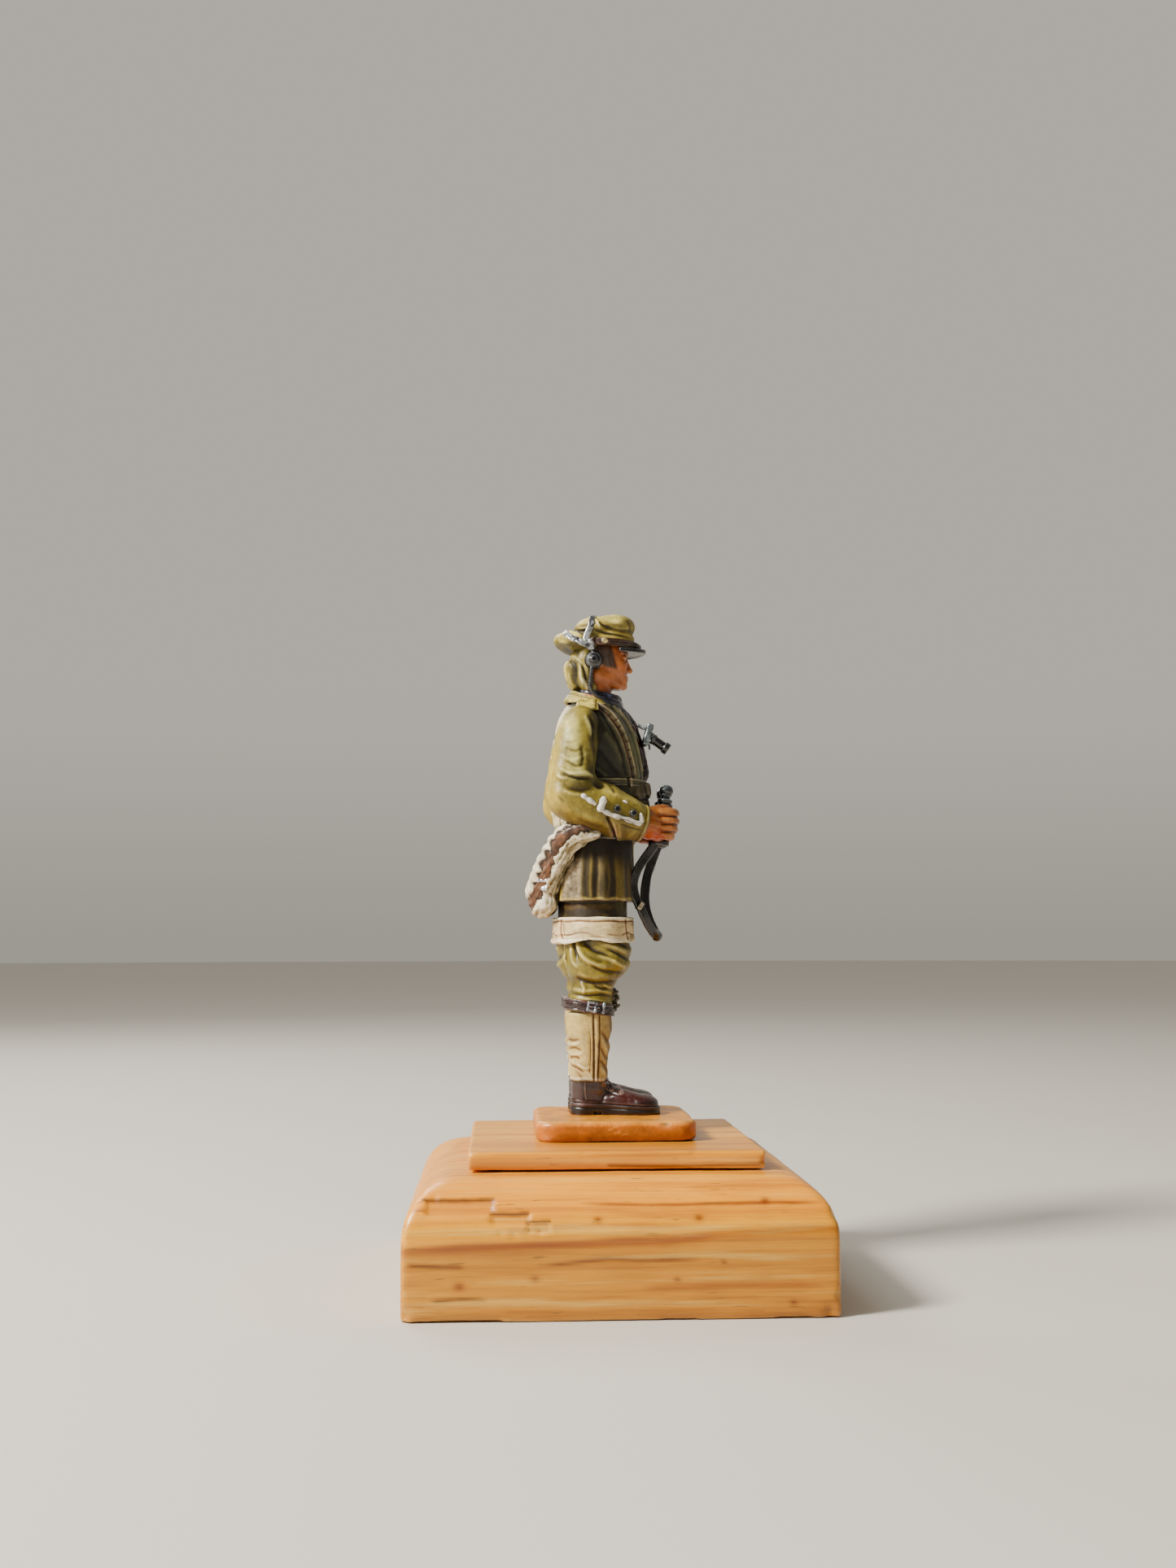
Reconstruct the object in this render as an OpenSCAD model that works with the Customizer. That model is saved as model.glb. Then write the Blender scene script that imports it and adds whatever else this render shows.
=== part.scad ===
// Painted cast-metal miniature of a standing officer in a peaked cap, with headphones
// and binoculars, on a cast base plate and a two-step wooden display plinth.
// +X is the way the figure faces, +Y is its left, +Z is up. Origin: centre of the
// plinth's underside. Millimetres.

/* [Plinth] */
// Side of the square lower plinth block
plinth_w = 50; // [44:0.5:60]
// Height of the lower plinth block
plinth_h = 15.7; // [12:0.1:22]
// Radius of the rounded top edges of the lower block
edge_r = 7; // [4:0.5:7]
// Side of the square upper plinth block
step_w = 35.3; // [28:0.1:35.5]
// Height of the upper plinth block
step_h = 2.15; // [1.6:0.05:4]
// Bevel on the top edges of the upper block
step_bevel = 0.5; // [0.2:0.1:0.8]

/* [Cast base plate] */
// Length of the cast base plate, fore and aft
base_w = 20.1; // [19:0.1:26]
// Depth of the cast base plate, from side to side
base_d = 20.6; // [19.6:0.1:26]
// Thickness of the cast base plate
base_h = 2.5; // [1.8:0.1:3.5]
// Corner radius of the cast base plate
base_r = 2.6; // [1:0.1:4]

/* [Fixings] */
// Shank radius of the countersunk mounting screw
screw_r = 1.5; // [1:0.1:1.6]
// Radius of the mounting screw's head
screw_head_r = 2.8; // [2.4:0.1:3]
// Depth that the screw head sits above the plinth's underside
screw_sink = 1; // [0.5:0.1:2]
// Radius of the wire pins through the boots
pin_r = 0.5; // [0.4:0.05:0.6]
// Depth of the wire pins in the plinth
pin_depth = 5; // [3:0.5:7]

/* [Figure] */
// How far the figure stands to the left of the plinth's centre
fig_y = 3.8; // [3:0.1:4]
// Height of the figure from soles to the top of the cap
figure_h = 65.9; // [60:0.1:70]
// Half of the distance between the two feet, centre to centre
stance = 3.3; // [3:0.1:3.6]
// Angle that each foot turns out
toe_out = 4; // [0:1:6]
// Length of a boot
boot_len = 11.1; // [10:0.1:12]
// Width of a boot at the ball of the foot
boot_w = 4.2; // [3.8:0.1:4.6]
// Thickness of the boot sole
sole_t = 0.9; // [0.6:0.1:1.2]

/* [Clothes] */
// Thickness of the jerkin over the tunic
jerkin_t = 0.6; // [0.4:0.05:0.8]
// Thickness of the waist belt over the jerkin
belt_t = 0.3; // [0.2:0.05:0.5]
// Width of the waist belt
belt_w = 0.9; // [0.6:0.1:1.6]
// Thickness of the turned hem band round the thighs
hem_t = 0.55; // [0.4:0.05:0.8]
// Thickness of the sheepskin roll behind the hips
roll_r = 1.75; // [1.2:0.05:2]

/* [Binoculars] */
// Radius of each binocular barrel
barrel_r = 1.05; // [0.8:0.05:1.2]
// Distance between the two barrel axes
barrel_gap = 4.4; // [3.6:0.1:5]
// Length of each binocular barrel
barrel_len = 5.2; // [4.5:0.1:6]

/* [Hidden] */

fig_x = 0.3;
base_y = 1.2;     // the cast plate's centre lies between the figure and the plinth's centre
screw_x = 4.6;    // the screw enters the plate ahead of the shins
base_top = plinth_h + step_h + base_h;
k = figure_h / 65.1;
e = 0.01;
fn = 16;          // facets of a hulled ball
fx = -2.3;        // where the shins stand, fore and aft

// ---------- helpers ----------
module fig() { translate([fig_x, fig_y, base_top]) scale(k) children(); }
module at_foot(s) { translate([0, s * stance, 0]) rotate([0, 0, s * toe_out]) children(); }
module ball(p, r, n = fn) { translate(p) sphere(r, $fn = n); }
module blob(p, s, n = fn) { translate(p) scale(s) sphere(1, $fn = n); }
module disc(p, a, b, h = 0.4, n = 28) { translate(p) scale([a, b, 1]) cylinder(r = 1, h = h, center = true, $fn = n); }
module both() { children(); mirror([0, 1, 0]) children(); }

// ---------- plinth ----------
module plinth_profile() {
  a = plinth_w / 2;
  polygon(concat([[-a, 0], [a, 0]],
    [for (t = [0 : 15 : 90]) [a - edge_r + edge_r * cos(t), plinth_h - edge_r + edge_r * sin(t)]],
    [for (t = [90 : 15 : 180]) [-a + edge_r + edge_r * cos(t), plinth_h - edge_r + edge_r * sin(t)]]));
}
module rounded_profile() {
  a = plinth_w / 2;
  translate([-a, 0]) square([plinth_w, plinth_h - edge_r]);
  translate([-a + edge_r, 0]) square([plinth_w - 2 * edge_r, plinth_h]);
  for (s = [-1, 1]) translate([s * (a - edge_r), plinth_h - edge_r]) circle(edge_r, $fn = 96);
}
module screw_hole(z0, z1, r) { translate([screw_x, base_y, z0]) cylinder(r = r, h = z1 - z0, $fn = 48); }
module pin_holes(z0, z1) {
  for (s = [-1, 1]) translate([fig_x + fx * k, fig_y + s * stance * k, z0]) cylinder(r = pin_r, h = z1 - z0, $fn = 24);
}
module lower_plinth() {
  color([0.76, 0.52, 0.16]) difference() {
    intersection() {
      rotate([90, 0, 0]) linear_extrude(plinth_w, center = true) rounded_profile();
      rotate([90, 0, 90]) linear_extrude(plinth_w + 2, center = true) rounded_profile();
    }
    screw_hole(-1, plinth_h + 1, screw_r);
    screw_hole(-1, screw_sink, screw_head_r);
    translate([screw_x, base_y, screw_sink - e]) cylinder(r1 = screw_head_r, r2 = screw_r, h = screw_head_r - screw_r, $fn = 48);
    pin_holes(plinth_h - pin_depth, plinth_h + 1);
  }
}
module upper_plinth() {
  a = step_w / 2; b = a - step_bevel;
  color([0.80, 0.56, 0.18]) difference() {
    union() {
      translate([-a, -a, plinth_h]) cube([step_w, step_w, step_h - step_bevel]);
      intersection() {
        translate([0, 0, plinth_h]) rotate([90, 0, 0]) linear_extrude(step_w, center = true)
          polygon([[-a, 0], [a, 0], [a, step_h - step_bevel], [b, step_h], [-b, step_h], [-a, step_h - step_bevel]]);
        translate([0, 0, plinth_h]) rotate([90, 0, 90]) linear_extrude(step_w, center = true)
          polygon([[-a, 0], [a, 0], [a, step_h - step_bevel], [b, step_h], [-b, step_h], [-a, step_h - step_bevel]]);
      }
    }
    screw_hole(plinth_h - 1, base_top, screw_r);
    pin_holes(plinth_h - 1, base_top);
  }
}
module mounting_screw() {
  c = screw_head_r - screw_r;
  color([0.6, 0.6, 0.58]) translate([screw_x, base_y, 0]) difference() {
    union() {
      translate([0, 0, screw_sink]) cylinder(r1 = screw_head_r, r2 = screw_r, h = c, $fn = 48);
      translate([0, 0, screw_sink + c]) cylinder(r = screw_r, h = plinth_h + step_h - screw_sink - c, $fn = 48);
      translate([0, 0, plinth_h + step_h]) cylinder(r = screw_r - 0.3, h = 1.5, $fn = 48);
    }
    translate([-0.3, -4, screw_sink - e]) cube([0.6, 8, 0.7]);
    translate([-4, -0.3, screw_sink - e]) cube([8, 0.6, 0.7]);
  }
}
module foot_pins() {
  color([0.78, 0.6, 0.25]) for (s = [-1, 1])
    translate([fig_x + fx * k, fig_y + s * stance * k, plinth_h - pin_depth]) cylinder(r = pin_r, h = pin_depth + step_h + base_h + 3 * k, $fn = 24);
}
module base_plate() {
  ax = base_w / 2; ay = base_d / 2; z = base_top - base_h;
  color([0.72, 0.42, 0.14]) difference() {
    translate([0.6, base_y, z]) union() {
      translate([-ax, -ay + base_r, 0]) cube([base_w, base_d - 2 * base_r, base_h]);
      translate([-ax + base_r, -ay, 0]) cube([base_w - 2 * base_r, base_d, base_h]);
      for (x = [-1, 1], y = [-1, 1]) translate([x * (ax - base_r), y * (ay - base_r), 0]) cylinder(r = base_r, h = base_h, $fn = 48);
    }
    screw_hole(z - 1, z + 1.5, screw_r - 0.3);
    pin_holes(z - 1, base_top + 1);
  }
}

// ---------- boots and legs ----------
module foot_plan(g = 0) {   // outline of a sole, toe along +X
  hull() {
    translate([-4.95 + 1.75, 0]) circle(1.75 + g, $fn = 28);
    translate([-4.95 + boot_len - boot_w / 2, 0.1]) circle(boot_w / 2 + g, $fn = 28);
  }
}
module pin_bore(s) { translate([fx, s * stance, -1]) cylinder(r = pin_r / k, h = 4, $fn = 24); }
module boot_sole(s) {
  color([0.12, 0.08, 0.08]) difference() { at_foot(s) linear_extrude(sole_t) foot_plan(0.12); pin_bore(s); }
}
module boot_form() {
  intersection() {
    translate([0, 0, sole_t]) linear_extrude(5) foot_plan();
    union() {
      hull() {
        blob([3.9, 0.1, 1.35], [2.15, boot_w / 2, 1.5], 16);
        blob([0.9, 0, 1.8], [2.4, 1.9, 1.9], 16);
        blob([-3.2, 0, 1.4], [1.75, 1.75, 2.2], 16);
      }
      hull() {
        translate([-2.4, 0, 4.35]) scale([1, 0.92, 1]) cylinder(r = 2.4, h = 0.3, center = true, $fn = 28);
        blob([-1.6, 0, 1.8], [3.1, 1.9, 1.9], 16);
      }
    }
  }
}
module boot(s) {
  color([0.24, 0.12, 0.10]) difference() { at_foot(s) boot_form(); pin_bore(s); }
}
module boot_laces() {   // three crossed laces with their eyelets on each instep
  color([0.3, 0.2, 0.18]) for (s = [-1, 1]) at_foot(s) for (i = [0 : 2])
    difference() {
      translate([0.2 + i * 0.75, 0, 4.15 - i * 0.5]) rotate([90, 0, 0]) cylinder(r = 0.32, h = 2.2, center = true, $fn = 16);
      boot_form();
    }
}
module shin(g = 0) {
  translate([fx - 0.05, 0, 0]) scale([1, 0.93, 1]) translate([0, 0, 4.5]) cylinder(r1 = 2.3 + g, r2 = 2.8 + g, h = 8.1, $fn = 40);
}
module gaiter(s) { color([0.74, 0.68, 0.52]) translate([0, s * stance, 0]) shin(); }
module garter_strap(s) {
  color([0.22, 0.09, 0.07]) translate([fx - 0.05, s * stance, 12.6]) difference() {
    scale([1, 0.95, 1]) cylinder(r = 3.05, h = 1.5, $fn = 40);
    translate([0, 0, -1]) scale([1, 0.95, 1]) cylinder(r = 2.6, h = 4, $fn = 40);
  }
}
module garter_buckles() {
  color([0.72, 0.74, 0.76]) for (s = [-1, 1]) translate([fx, s * (stance + 2.86), 13.35]) {
    difference() {
      cube([1.7, 0.5, 1.7], center = true);
      cube([0.9, 1, 0.9], center = true);
    }
  }
}
module thigh(s) {
  hull() {
    blob([s < 0 ? -1.4 : -2.2, s * (stance + 0.25), 18.6], [4.5, 3.35, 2.6], 16);
    blob([-1.9, s * (stance + 0.1), 25.5], [4.5, 3.4, 2.5], 16);
  }
}
module breeches_form() {
  for (s = [-1, 1]) {
    thigh(s);
    translate([fx - 0.05, s * stance, 12.6]) scale([1, 0.95, 1]) cylinder(r1 = 2.6, r2 = 2.9, h = 4.6, $fn = 40);
  }
  hull() { disc([-2.1, 0, 25.5], 4.5, 6.6); disc([-2, 0, 35], 4.6, 6.3); }
}
module breeches() {
  color([0.45, 0.40, 0.18]) breeches_form();
}
module knee_lacing() {
  color([0.2, 0.17, 0.1]) for (s = [-1, 1], i = [0 : 2])
    difference() {
      translate([fx + 3.0, s * stance, 14.3 + i * 0.75]) rotate([90, 0, 0]) cylinder(r = 0.3, h = 1.3, center = true, $fn = 14);
      breeches_form();
    }
}

// ---------- body ----------
module hip_form(g) {
  hull() { disc([-1.95, 0, 27.4], 4.9 + g, 6.9 + g); disc([-1.7, 0, 35], 4.75 + g, 6.4 + g); }
}
module hem_band() {
  color([0.86, 0.80, 0.66]) difference() {
    hull() {
      disc([-1.9, 0, 22], 5.6 + hem_t, 7.0 + hem_t);
      disc([-1.75, 0, 24.7], 5.0 + hem_t, 6.7 + hem_t);
    }
    breeches_form();
    hull() { disc([-2.1, 0, 21], 4.6, 3.2, 1); disc([-2.1, 0, 25], 4.6, 3.2, 1); }
  }
}
module tunic_skirt() { color([0.40, 0.36, 0.22]) difference() { hip_form(0.3); breeches_form(); } }
module body_form(g) {
  hull() {
    disc([-1.6, 0, 35.4 - (g > 0 ? 0.2 : 0)], 4.9 + g, 6.3 + g);
    disc([-1.5, 0, 41.5], 4.9 + g, 5.9 + g);
    disc([-1.1, 0, 47.5], 5.0 + g, 6.9 + g);
    blob([-1.9, 0, 50.2], [4.0 + g, 6.6 + g, 2.1 + g], 18);
  }
}
module neck_bore() { translate([neck_x, 0, 49.6]) cylinder(r = 1.5, h = 6, $fn = 40); translate([neck_x, 0, 51.8]) cylinder(r = 1.9, h = 6, $fn = 40); }
module sleeve_form(s) {
  hull() { ball([-3.7, s * 6.7, 50.0], 2.7); ball([-5.2, s * 8.0, 41.0], 2.75); }
  hull() { ball([-5.2, s * 8.0, 41.0], 2.75); ball([3.9, s * 5.2, 37.3], 2.15); }
}
module tunic_body() {
  color([0.50, 0.46, 0.22]) difference() {
    body_form(0);
    neck_bore();
    translate([0, 0, 34.6 - 4]) cube([40, 40, 8.8], center = true);
  }
}
module jerkin_form(g) { intersection() { body_form(g); translate([0, 0, 35.2 + 20]) cube([40, 40, 40], center = true); } }
module jerkin() {
  color([0.66, 0.64, 0.50]) difference() {
    jerkin_form(jerkin_t);
    body_form(0);
    neck_bore();
    translate([1.6, 0, 52]) rotate([0, 38, 0]) cube([6, 5.4, 9], center = true);
    for (s = [-1, 1]) sleeve_form(s);
  }
}
module waist_belt() {
  color([0.34, 0.33, 0.27]) difference() {
    intersection() { body_form(jerkin_t + belt_t); translate([0, 0, 42.2]) cube([40, 40, belt_w], center = true); }
    body_form(jerkin_t);
    for (s = [-1, 1]) sleeve_form(s);
  }
}
module front_pouch() {
  color([0.46, 0.44, 0.34]) difference() {
    hull() { blob([4.1, -1.9, 41.4], [1.5, 2.1, 1.2], 14); blob([4.1, -1.9, 38.3], [1.6, 2.3, 1.6], 14); }
    body_form(jerkin_t + belt_t);
  }
}
module shoulder_straps() {
  color([0.55, 0.50, 0.24]) for (s = [-1, 1]) difference() {
    hull() {
      translate([-1.9, s * 2.7, 53.1]) cube([2.2, 0.5, 0.5], center = true);
      translate([-2.6, s * 6.6, 51.9]) cube([2.4, 0.5, 0.5], center = true);
      translate([-2.2, s * 2.7, 50]) cube([1, 0.5, 0.5], center = true);
    }
    body_form(jerkin_t);
    for (t = [-1, 1]) sleeve_form(t);
    scarf_form();
  }
}

// Crescent of rolled sheepskin hung behind the hips from hip to hip. The first figure of
// each row is the angle round the body, the second the height of the roll there.
function crescent(t) = [-1.6 - 6.35 * cos(t) * (1 + 0.12 * cos(t)), 8.1 * sin(t), 34.4 - 6.8 * pow(cos(t), 2)];
module roll_form(r, r0) {
  for (i = [0 : 5]) hull() {
    ball(crescent(-82 + i * 27.33), r0 + (r - r0) * cos(-82 + i * 27.33), 14);
    ball(crescent(-82 + (i + 1) * 27.33), r0 + (r - r0) * cos(-82 + (i + 1) * 27.33), 14);
  }
}
module sheepskin_roll() {
  color([0.85, 0.80, 0.66]) difference() {
    roll_form(roll_r, 0.9);
    hip_form(0.3);
    jerkin_form(jerkin_t);
    breeches_form();
  }
}
module roll_band() {
  color([0.30, 0.19, 0.10]) difference() {
    for (i = [0 : 5]) hull() {
      ball(crescent(-68 + i * 22.67) + [-0.5, 0, 0.55], 1.35, 12);
      ball(crescent(-68 + (i + 1) * 22.67) + [-0.5, 0, 0.55], 1.35, 12);
    }
    roll_form(roll_r, 0.9);
    hip_form(0.3);
    jerkin_form(jerkin_t + belt_t);
    for (s = [-1, 1]) sleeve_form(s);
  }
}

// ---------- arms ----------
module sleeve(s) {
  color([0.56, 0.52, 0.26]) difference() {
    sleeve_form(s);
    body_form(0.02);
    translate([5.3, s * 4.7, 36.8]) rotate([0, 22, 0]) cube([1.2, 9, 9], center = true);
    hand_form(s);
  }
}
module braid_run(s, a, b, r) {
  hull() { ball(a, r, 10); ball(b, r, 10); }
}
module cuff_braid() {
  color([0.88, 0.88, 0.86]) for (s = [-1, 1]) difference() {
    union() {
      braid_run(s, [-2.4, s * 9.55, 40.2], [-0.9, s * 9.05, 39.6], 0.4);
      braid_run(s, [0.3, s * 8.75, 39.7], [0.3, s * 8.75, 38.4], 0.42);
      braid_run(s, [0.3, s * 8.75, 38.4], [4.2, s * 7.45, 37.2], 0.4);
      braid_run(s, [4.2, s * 7.45, 37.2], [4.2, s * 7.35, 38.3], 0.4);
    }
    sleeve_form(s);
  }
}
module cuff_buttons() {
  color([0.06, 0.06, 0.06]) for (s = [-1, 1], p = [[1.7, 8.05, 38.8], [3.1, 7.6, 38.2]])
    difference() { translate([p[0], s * p[1], p[2]]) sphere(0.45, $fn = 16); sleeve_form(s); }
}
module barrel_axis(s) { translate([6.7, s * barrel_gap / 2, 34.4]) rotate([0, 8, 0]) children(); }
module hand_form(s) {
  hull() {
    blob([5.0, s * 4.55, 37.1], [1.4, 1.35, 1.9], 16);
    blob([6.9, s * 3.1, 37.2], [2.0, 1.75, 2.3], 16);
  }
}
module hand(s) {
  color([0.72, 0.38, 0.18]) difference() {
    hand_form(s);
    barrel_axis(s) cylinder(r = barrel_r, h = 8, $fn = 40);
    front_pouch_space();
  }
}
module front_pouch_space() { hull() { blob([4.1, -1.9, 41.4], [1.5, 2.1, 1.2], 14); blob([4.1, -1.9, 38.3], [1.6, 2.3, 1.6], 14); } }

// ---------- binoculars ----------
module binoculars() {
  color([0.10, 0.12, 0.13]) {
    for (s = [-1, 1]) barrel_axis(s) cylinder(r = barrel_r, h = barrel_len, $fn = 40);
    difference() {
      barrel_axis(0) translate([0, 0, 0.6]) rotate([90, 0, 0]) translate([0, 0.4, 0]) linear_extrude(barrel_gap, center = true) square([0.7, 1.4], center = true);
      for (s = [-1, 1]) barrel_axis(s) cylinder(r = barrel_r, h = barrel_len, $fn = 40);
    }
  }
}
module eyepieces() {
  color([0.16, 0.20, 0.23]) for (s = [-1, 1]) barrel_axis(s) translate([0, 0, barrel_len]) {
    cylinder(r1 = 1.2, r2 = 0.95, h = 0.9, $fn = 40);
    translate([0, 0, 0.9]) cylinder(r = 0.75, h = 0.5, $fn = 40);
    translate([0, 0, 1.2]) intersection() { translate([0, 0, 0.75]) sphere(1.05, $fn = 40); cylinder(r = 2, h = 1.5, $fn = 40); }
  }
}
STRAP_A = [[6.2, 2.0, 34.2], [4.6, 2.5, 32.6], [3.4, 3.1, 30.8], [3.3, 3.1, 28.4], [4.0, 2.7, 26.0], [4.9, 2.0, 24.2], [5.7, 1.1, 22.9], [6.0, 0, 22.5]];
STRAP_B = [[6.9, 2.2, 34.0], [5.9, 2.0, 31.8], [5.1, 1.7, 29.4], [4.9, 1.4, 27.2], [5.3, 1.0, 25.2], [5.8, 0.5, 23.6], [6.0, 0, 22.5]];
module ribbon(p, s, w) {
  for (i = [0 : len(p) - 2]) hull() {
    translate([p[i][0], s * p[i][1], p[i][2]]) sphere(w, $fn = 8);
    translate([p[i + 1][0], s * p[i + 1][1], p[i + 1][2]]) sphere(w, $fn = 8);
  }
}
module binocular_strap() {
  color([0.07, 0.06, 0.06]) difference() {
    union() { ribbon(STRAP_A, -1, 0.42); ribbon(STRAP_B, 1, 0.42); }
    for (s = [-1, 1]) { barrel_axis(s) cylinder(r = barrel_r, h = barrel_len, $fn = 40); hand_form(s); }
    hip_form(0.3);
    front_pouch_space();
    body_form(jerkin_t + belt_t);
  }
}

// ---------- neck and head ----------
module scarf_form() { hull() { disc([-1.3, 0, 52.3], 3.6, 3.5, 0.4, 24); disc([-1.3, 0, 54.0], 3.2, 2.9, 0.4, 24); } }
module scarf() {
  color([0.10, 0.13, 0.22]) difference() { scarf_form(); body_form(jerkin_t); neck_form(0); }
}
module scarf_tail() {
  color([0.16, 0.09, 0.06]) difference() {
    hull() {
      blob([2.5, -0.2, 51.4], [1.2, 1.7, 1.1], 16);
      blob([3.9, -0.3, 47.5], [1.2, 1.6, 1.4], 16);
      blob([4.4, -0.3, 44.4], [0.7, 1.2, 0.9], 16);
    }
    body_form(jerkin_t);
    scarf_form();
  }
}
// The head follows the usual canon of proportions: its height is stature / 7.5, its depth
// seven eighths of that and its width two thirds.
stature = 63.4;
head_h = stature / 7.5;
head_d = head_h * 7 / 8;
head_w = head_h * 2 / 3;
head_x = -0.4;
neck_x = -1.2;
module neck_form(g) { translate([neck_x, 0, 49.6]) cylinder(r = 1.5 + g, h = 2.2, $fn = 40); translate([neck_x, 0, 51.8]) cylinder(r = 1.9 + g, h = 4.8, $fn = 40); }
module head_form() {
  hull() {
    blob([head_x, 0, stature - head_h * 0.42], [head_d / 2, head_w / 2, head_h * 0.42], 20);
    blob([head_x + head_d * 0.16, 0, stature - head_h * 0.78], [head_d * 0.31, head_w * 0.36, head_h * 0.22], 20);
  }
}
module ear_pad(s, g = 0) { translate([-1.8, s * 2.7, 58.2]) rotate([90, 0, 0]) scale([1, 1.15, 1]) cylinder(r = 1.25 + g, h = 1.3 + g, center = true, $fn = 32); }
module head() {
  color([0.62, 0.32, 0.16]) difference() {
    union() { head_form(); neck_form(0); }
    cap_inside();
    for (s = [-1, 1]) ear_pad(s);
  }
}
module neck_curtain() {
  color([0.62, 0.56, 0.27]) difference() {
    hull() { blob([-3.9, 0, 57.8], [2.1, 2.9, 1.9], 16); blob([-3.1, 0, 55.9], [1.5, 2.5, 1.3], 16); }
    head_form();
    neck_form(0);
    cap_form(0);
    for (s = [-1, 1]) ear_pad(s);
  }
}
module cap_inside() { translate([0.1, 0, 63.9]) rotate([0, 4, 0]) scale([1.16, 1, 1]) cylinder(r = 3.35, h = 6.2, center = true, $fn = 40); }
module cap_band() {
  color([0.30, 0.26, 0.13]) translate([0.1, 0, 61.3]) rotate([0, 4, 0]) scale([1.16, 1, 1]) difference() {
    translate([0, 0, -0.45]) cylinder(r = 3.4, h = 1.1, $fn = 40);
    translate([0, 0, -2]) cylinder(r = 2.9, h = 2.45, $fn = 40);
  }
}
module cap_form(g) {
  hull() {
    blob([1.3, 0, 63.3], [2.9 + g, 3.9 + g, 1.75 + g], 18);
    blob([-3.4, 0, 61.2], [3.5 + g, 4.3 + g, 1.5 + g], 18);
    blob([-1.0, 0, 63.2], [2.4 + g, 3.8 + g, 1.6 + g], 18);
  }
}
module cap_crown() {
  color([0.60, 0.55, 0.27]) difference() {
    cap_form(0);
    translate([0.1, 0, 61.3]) rotate([0, 4, 0]) scale([1.16, 1, 1]) translate([0, 0, -3]) cylinder(r = 3.4, h = 3.65, $fn = 40);
  }
}
module cap_peak() {
  color([0.14, 0.11, 0.08]) difference() {
    translate([0.9, 0, 60.75]) rotate([0, 7, 0]) scale([1.22, 1, 1]) cylinder(r = 3.5, h = 0.42, $fn = 40);
    translate([0.1, 0, 61.3]) rotate([0, 4, 0]) scale([1.16, 1, 1]) translate([0, 0, -2]) cylinder(r = 3.4, h = 4, $fn = 40);
    translate([-5, 0, 61]) cube([13, 12, 6], center = true);
    head_form();
  }
}
module headset_bands() {
  color([0.78, 0.80, 0.82]) difference() {
    union() {
      for (q = [[-1.35, 8, 0.55], [-3.4, -32, 0.5]]) translate([-1.8, 0, 59.3]) rotate([0, q[1], 0]) intersection() {
        rotate([0, 90, 0]) difference() { cylinder(r = 6.4, h = q[2] * 2, center = true, $fn = 64); cylinder(r = 3.1, h = 4, center = true, $fn = 64); }
        translate([0, 0, 5]) cube([20, 20, 10], center = true);
      }
    }
    cap_form(0);
    head_form();
    translate([0, 0, 55]) cube([30, 30, 9], center = true);
    difference() { translate([0, 0, 62]) cube([40, 40, 30], center = true); cap_form(0.35); }
  }
}
module earphones() {
  color([0.10, 0.10, 0.11]) for (s = [-1, 1]) difference() {
    union() {
      ear_pad(s);
      translate([-1.8, s * 3.75, 58.2]) rotate([90, 0, 0]) cylinder(r1 = s < 0 ? 1.15 : 0.8, r2 = s < 0 ? 0.8 : 1.15, h = 0.85, center = true, $fn = 32);
    }
    cap_form(0);
  }
}
CABLE = [[-1.6, 3.35, 57.2], [-1.4, 3.2, 55.6], [-1.2, 3.0, 54.2], [-0.6, 3.3, 53.0]];
module headset_cable() {
  color([0.06, 0.06, 0.06]) difference() {
    for (s = [-1, 1]) for (i = [0 : 2]) hull() {
      translate([CABLE[i][0], s * CABLE[i][1], CABLE[i][2]]) sphere(0.38, $fn = 8);
      translate([CABLE[i + 1][0], s * CABLE[i + 1][1], CABLE[i + 1][2]]) sphere(0.38, $fn = 8);
    }
    head_form();
    neck_form(0);
    scarf_form();
    neck_curtain_space();
    body_form(jerkin_t);
    for (s = [-1, 1]) { ear_pad(s); translate([-1.8, s * 3.75, 58.2]) rotate([90, 0, 0]) cylinder(r = 1.15, h = 0.85, center = true, $fn = 32); }
  }
}
module neck_curtain_space() { hull() { blob([-3.9, 0, 57.8], [2.1, 2.9, 1.9], 16); blob([-3.1, 0, 55.9], [1.5, 2.5, 1.3], 16); } }
module microphone_plate() {
  color([0.62, 0.66, 0.66]) difference() {
    translate([5.05, -1.2, 48.8]) rotate([0, 24, 0]) hull() {
      translate([-0.45, 0, 1.2]) cube([0.9, 1.6, 0.3], center = true);
      translate([-0.2, 0, -1.1]) cube([1.5, 2.0, 0.5], center = true);
    }
    body_form(jerkin_t);
    scarf_tail_space();
  }
}
module scarf_tail_space() {
  hull() {
    blob([2.5, -0.2, 51.4], [1.2, 1.7, 1.1], 16);
    blob([3.9, -0.3, 47.5], [1.2, 1.6, 1.4], 16);
    blob([4.4, -0.3, 44.4], [0.7, 1.2, 0.9], 16);
  }
}
module microphone() {
  color([0.07, 0.08, 0.09]) difference() {
    translate([5.05, -1.2, 48.9]) rotate([0, 129, 0]) {
      translate([0, 0, 0.5]) cylinder(r = 0.42, h = 1.4, $fn = 32);
      translate([0, 0, 1.5]) cylinder(r1 = 0.6, r2 = 0.72, h = 1.6, $fn = 32);
      translate([0, 0, 3.1]) intersection() { sphere(0.72, $fn = 32); cylinder(r = 1, h = 1, $fn = 32); }
    }
    translate([5.05, -1.2, 48.8]) rotate([0, 24, 0]) hull() {
      translate([-0.45, 0, 1.2]) cube([0.9, 1.6, 0.3], center = true);
      translate([-0.2, 0, -1.1]) cube([1.5, 2.0, 0.5], center = true);
    }
    body_form(jerkin_t);
  }
}

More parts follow.
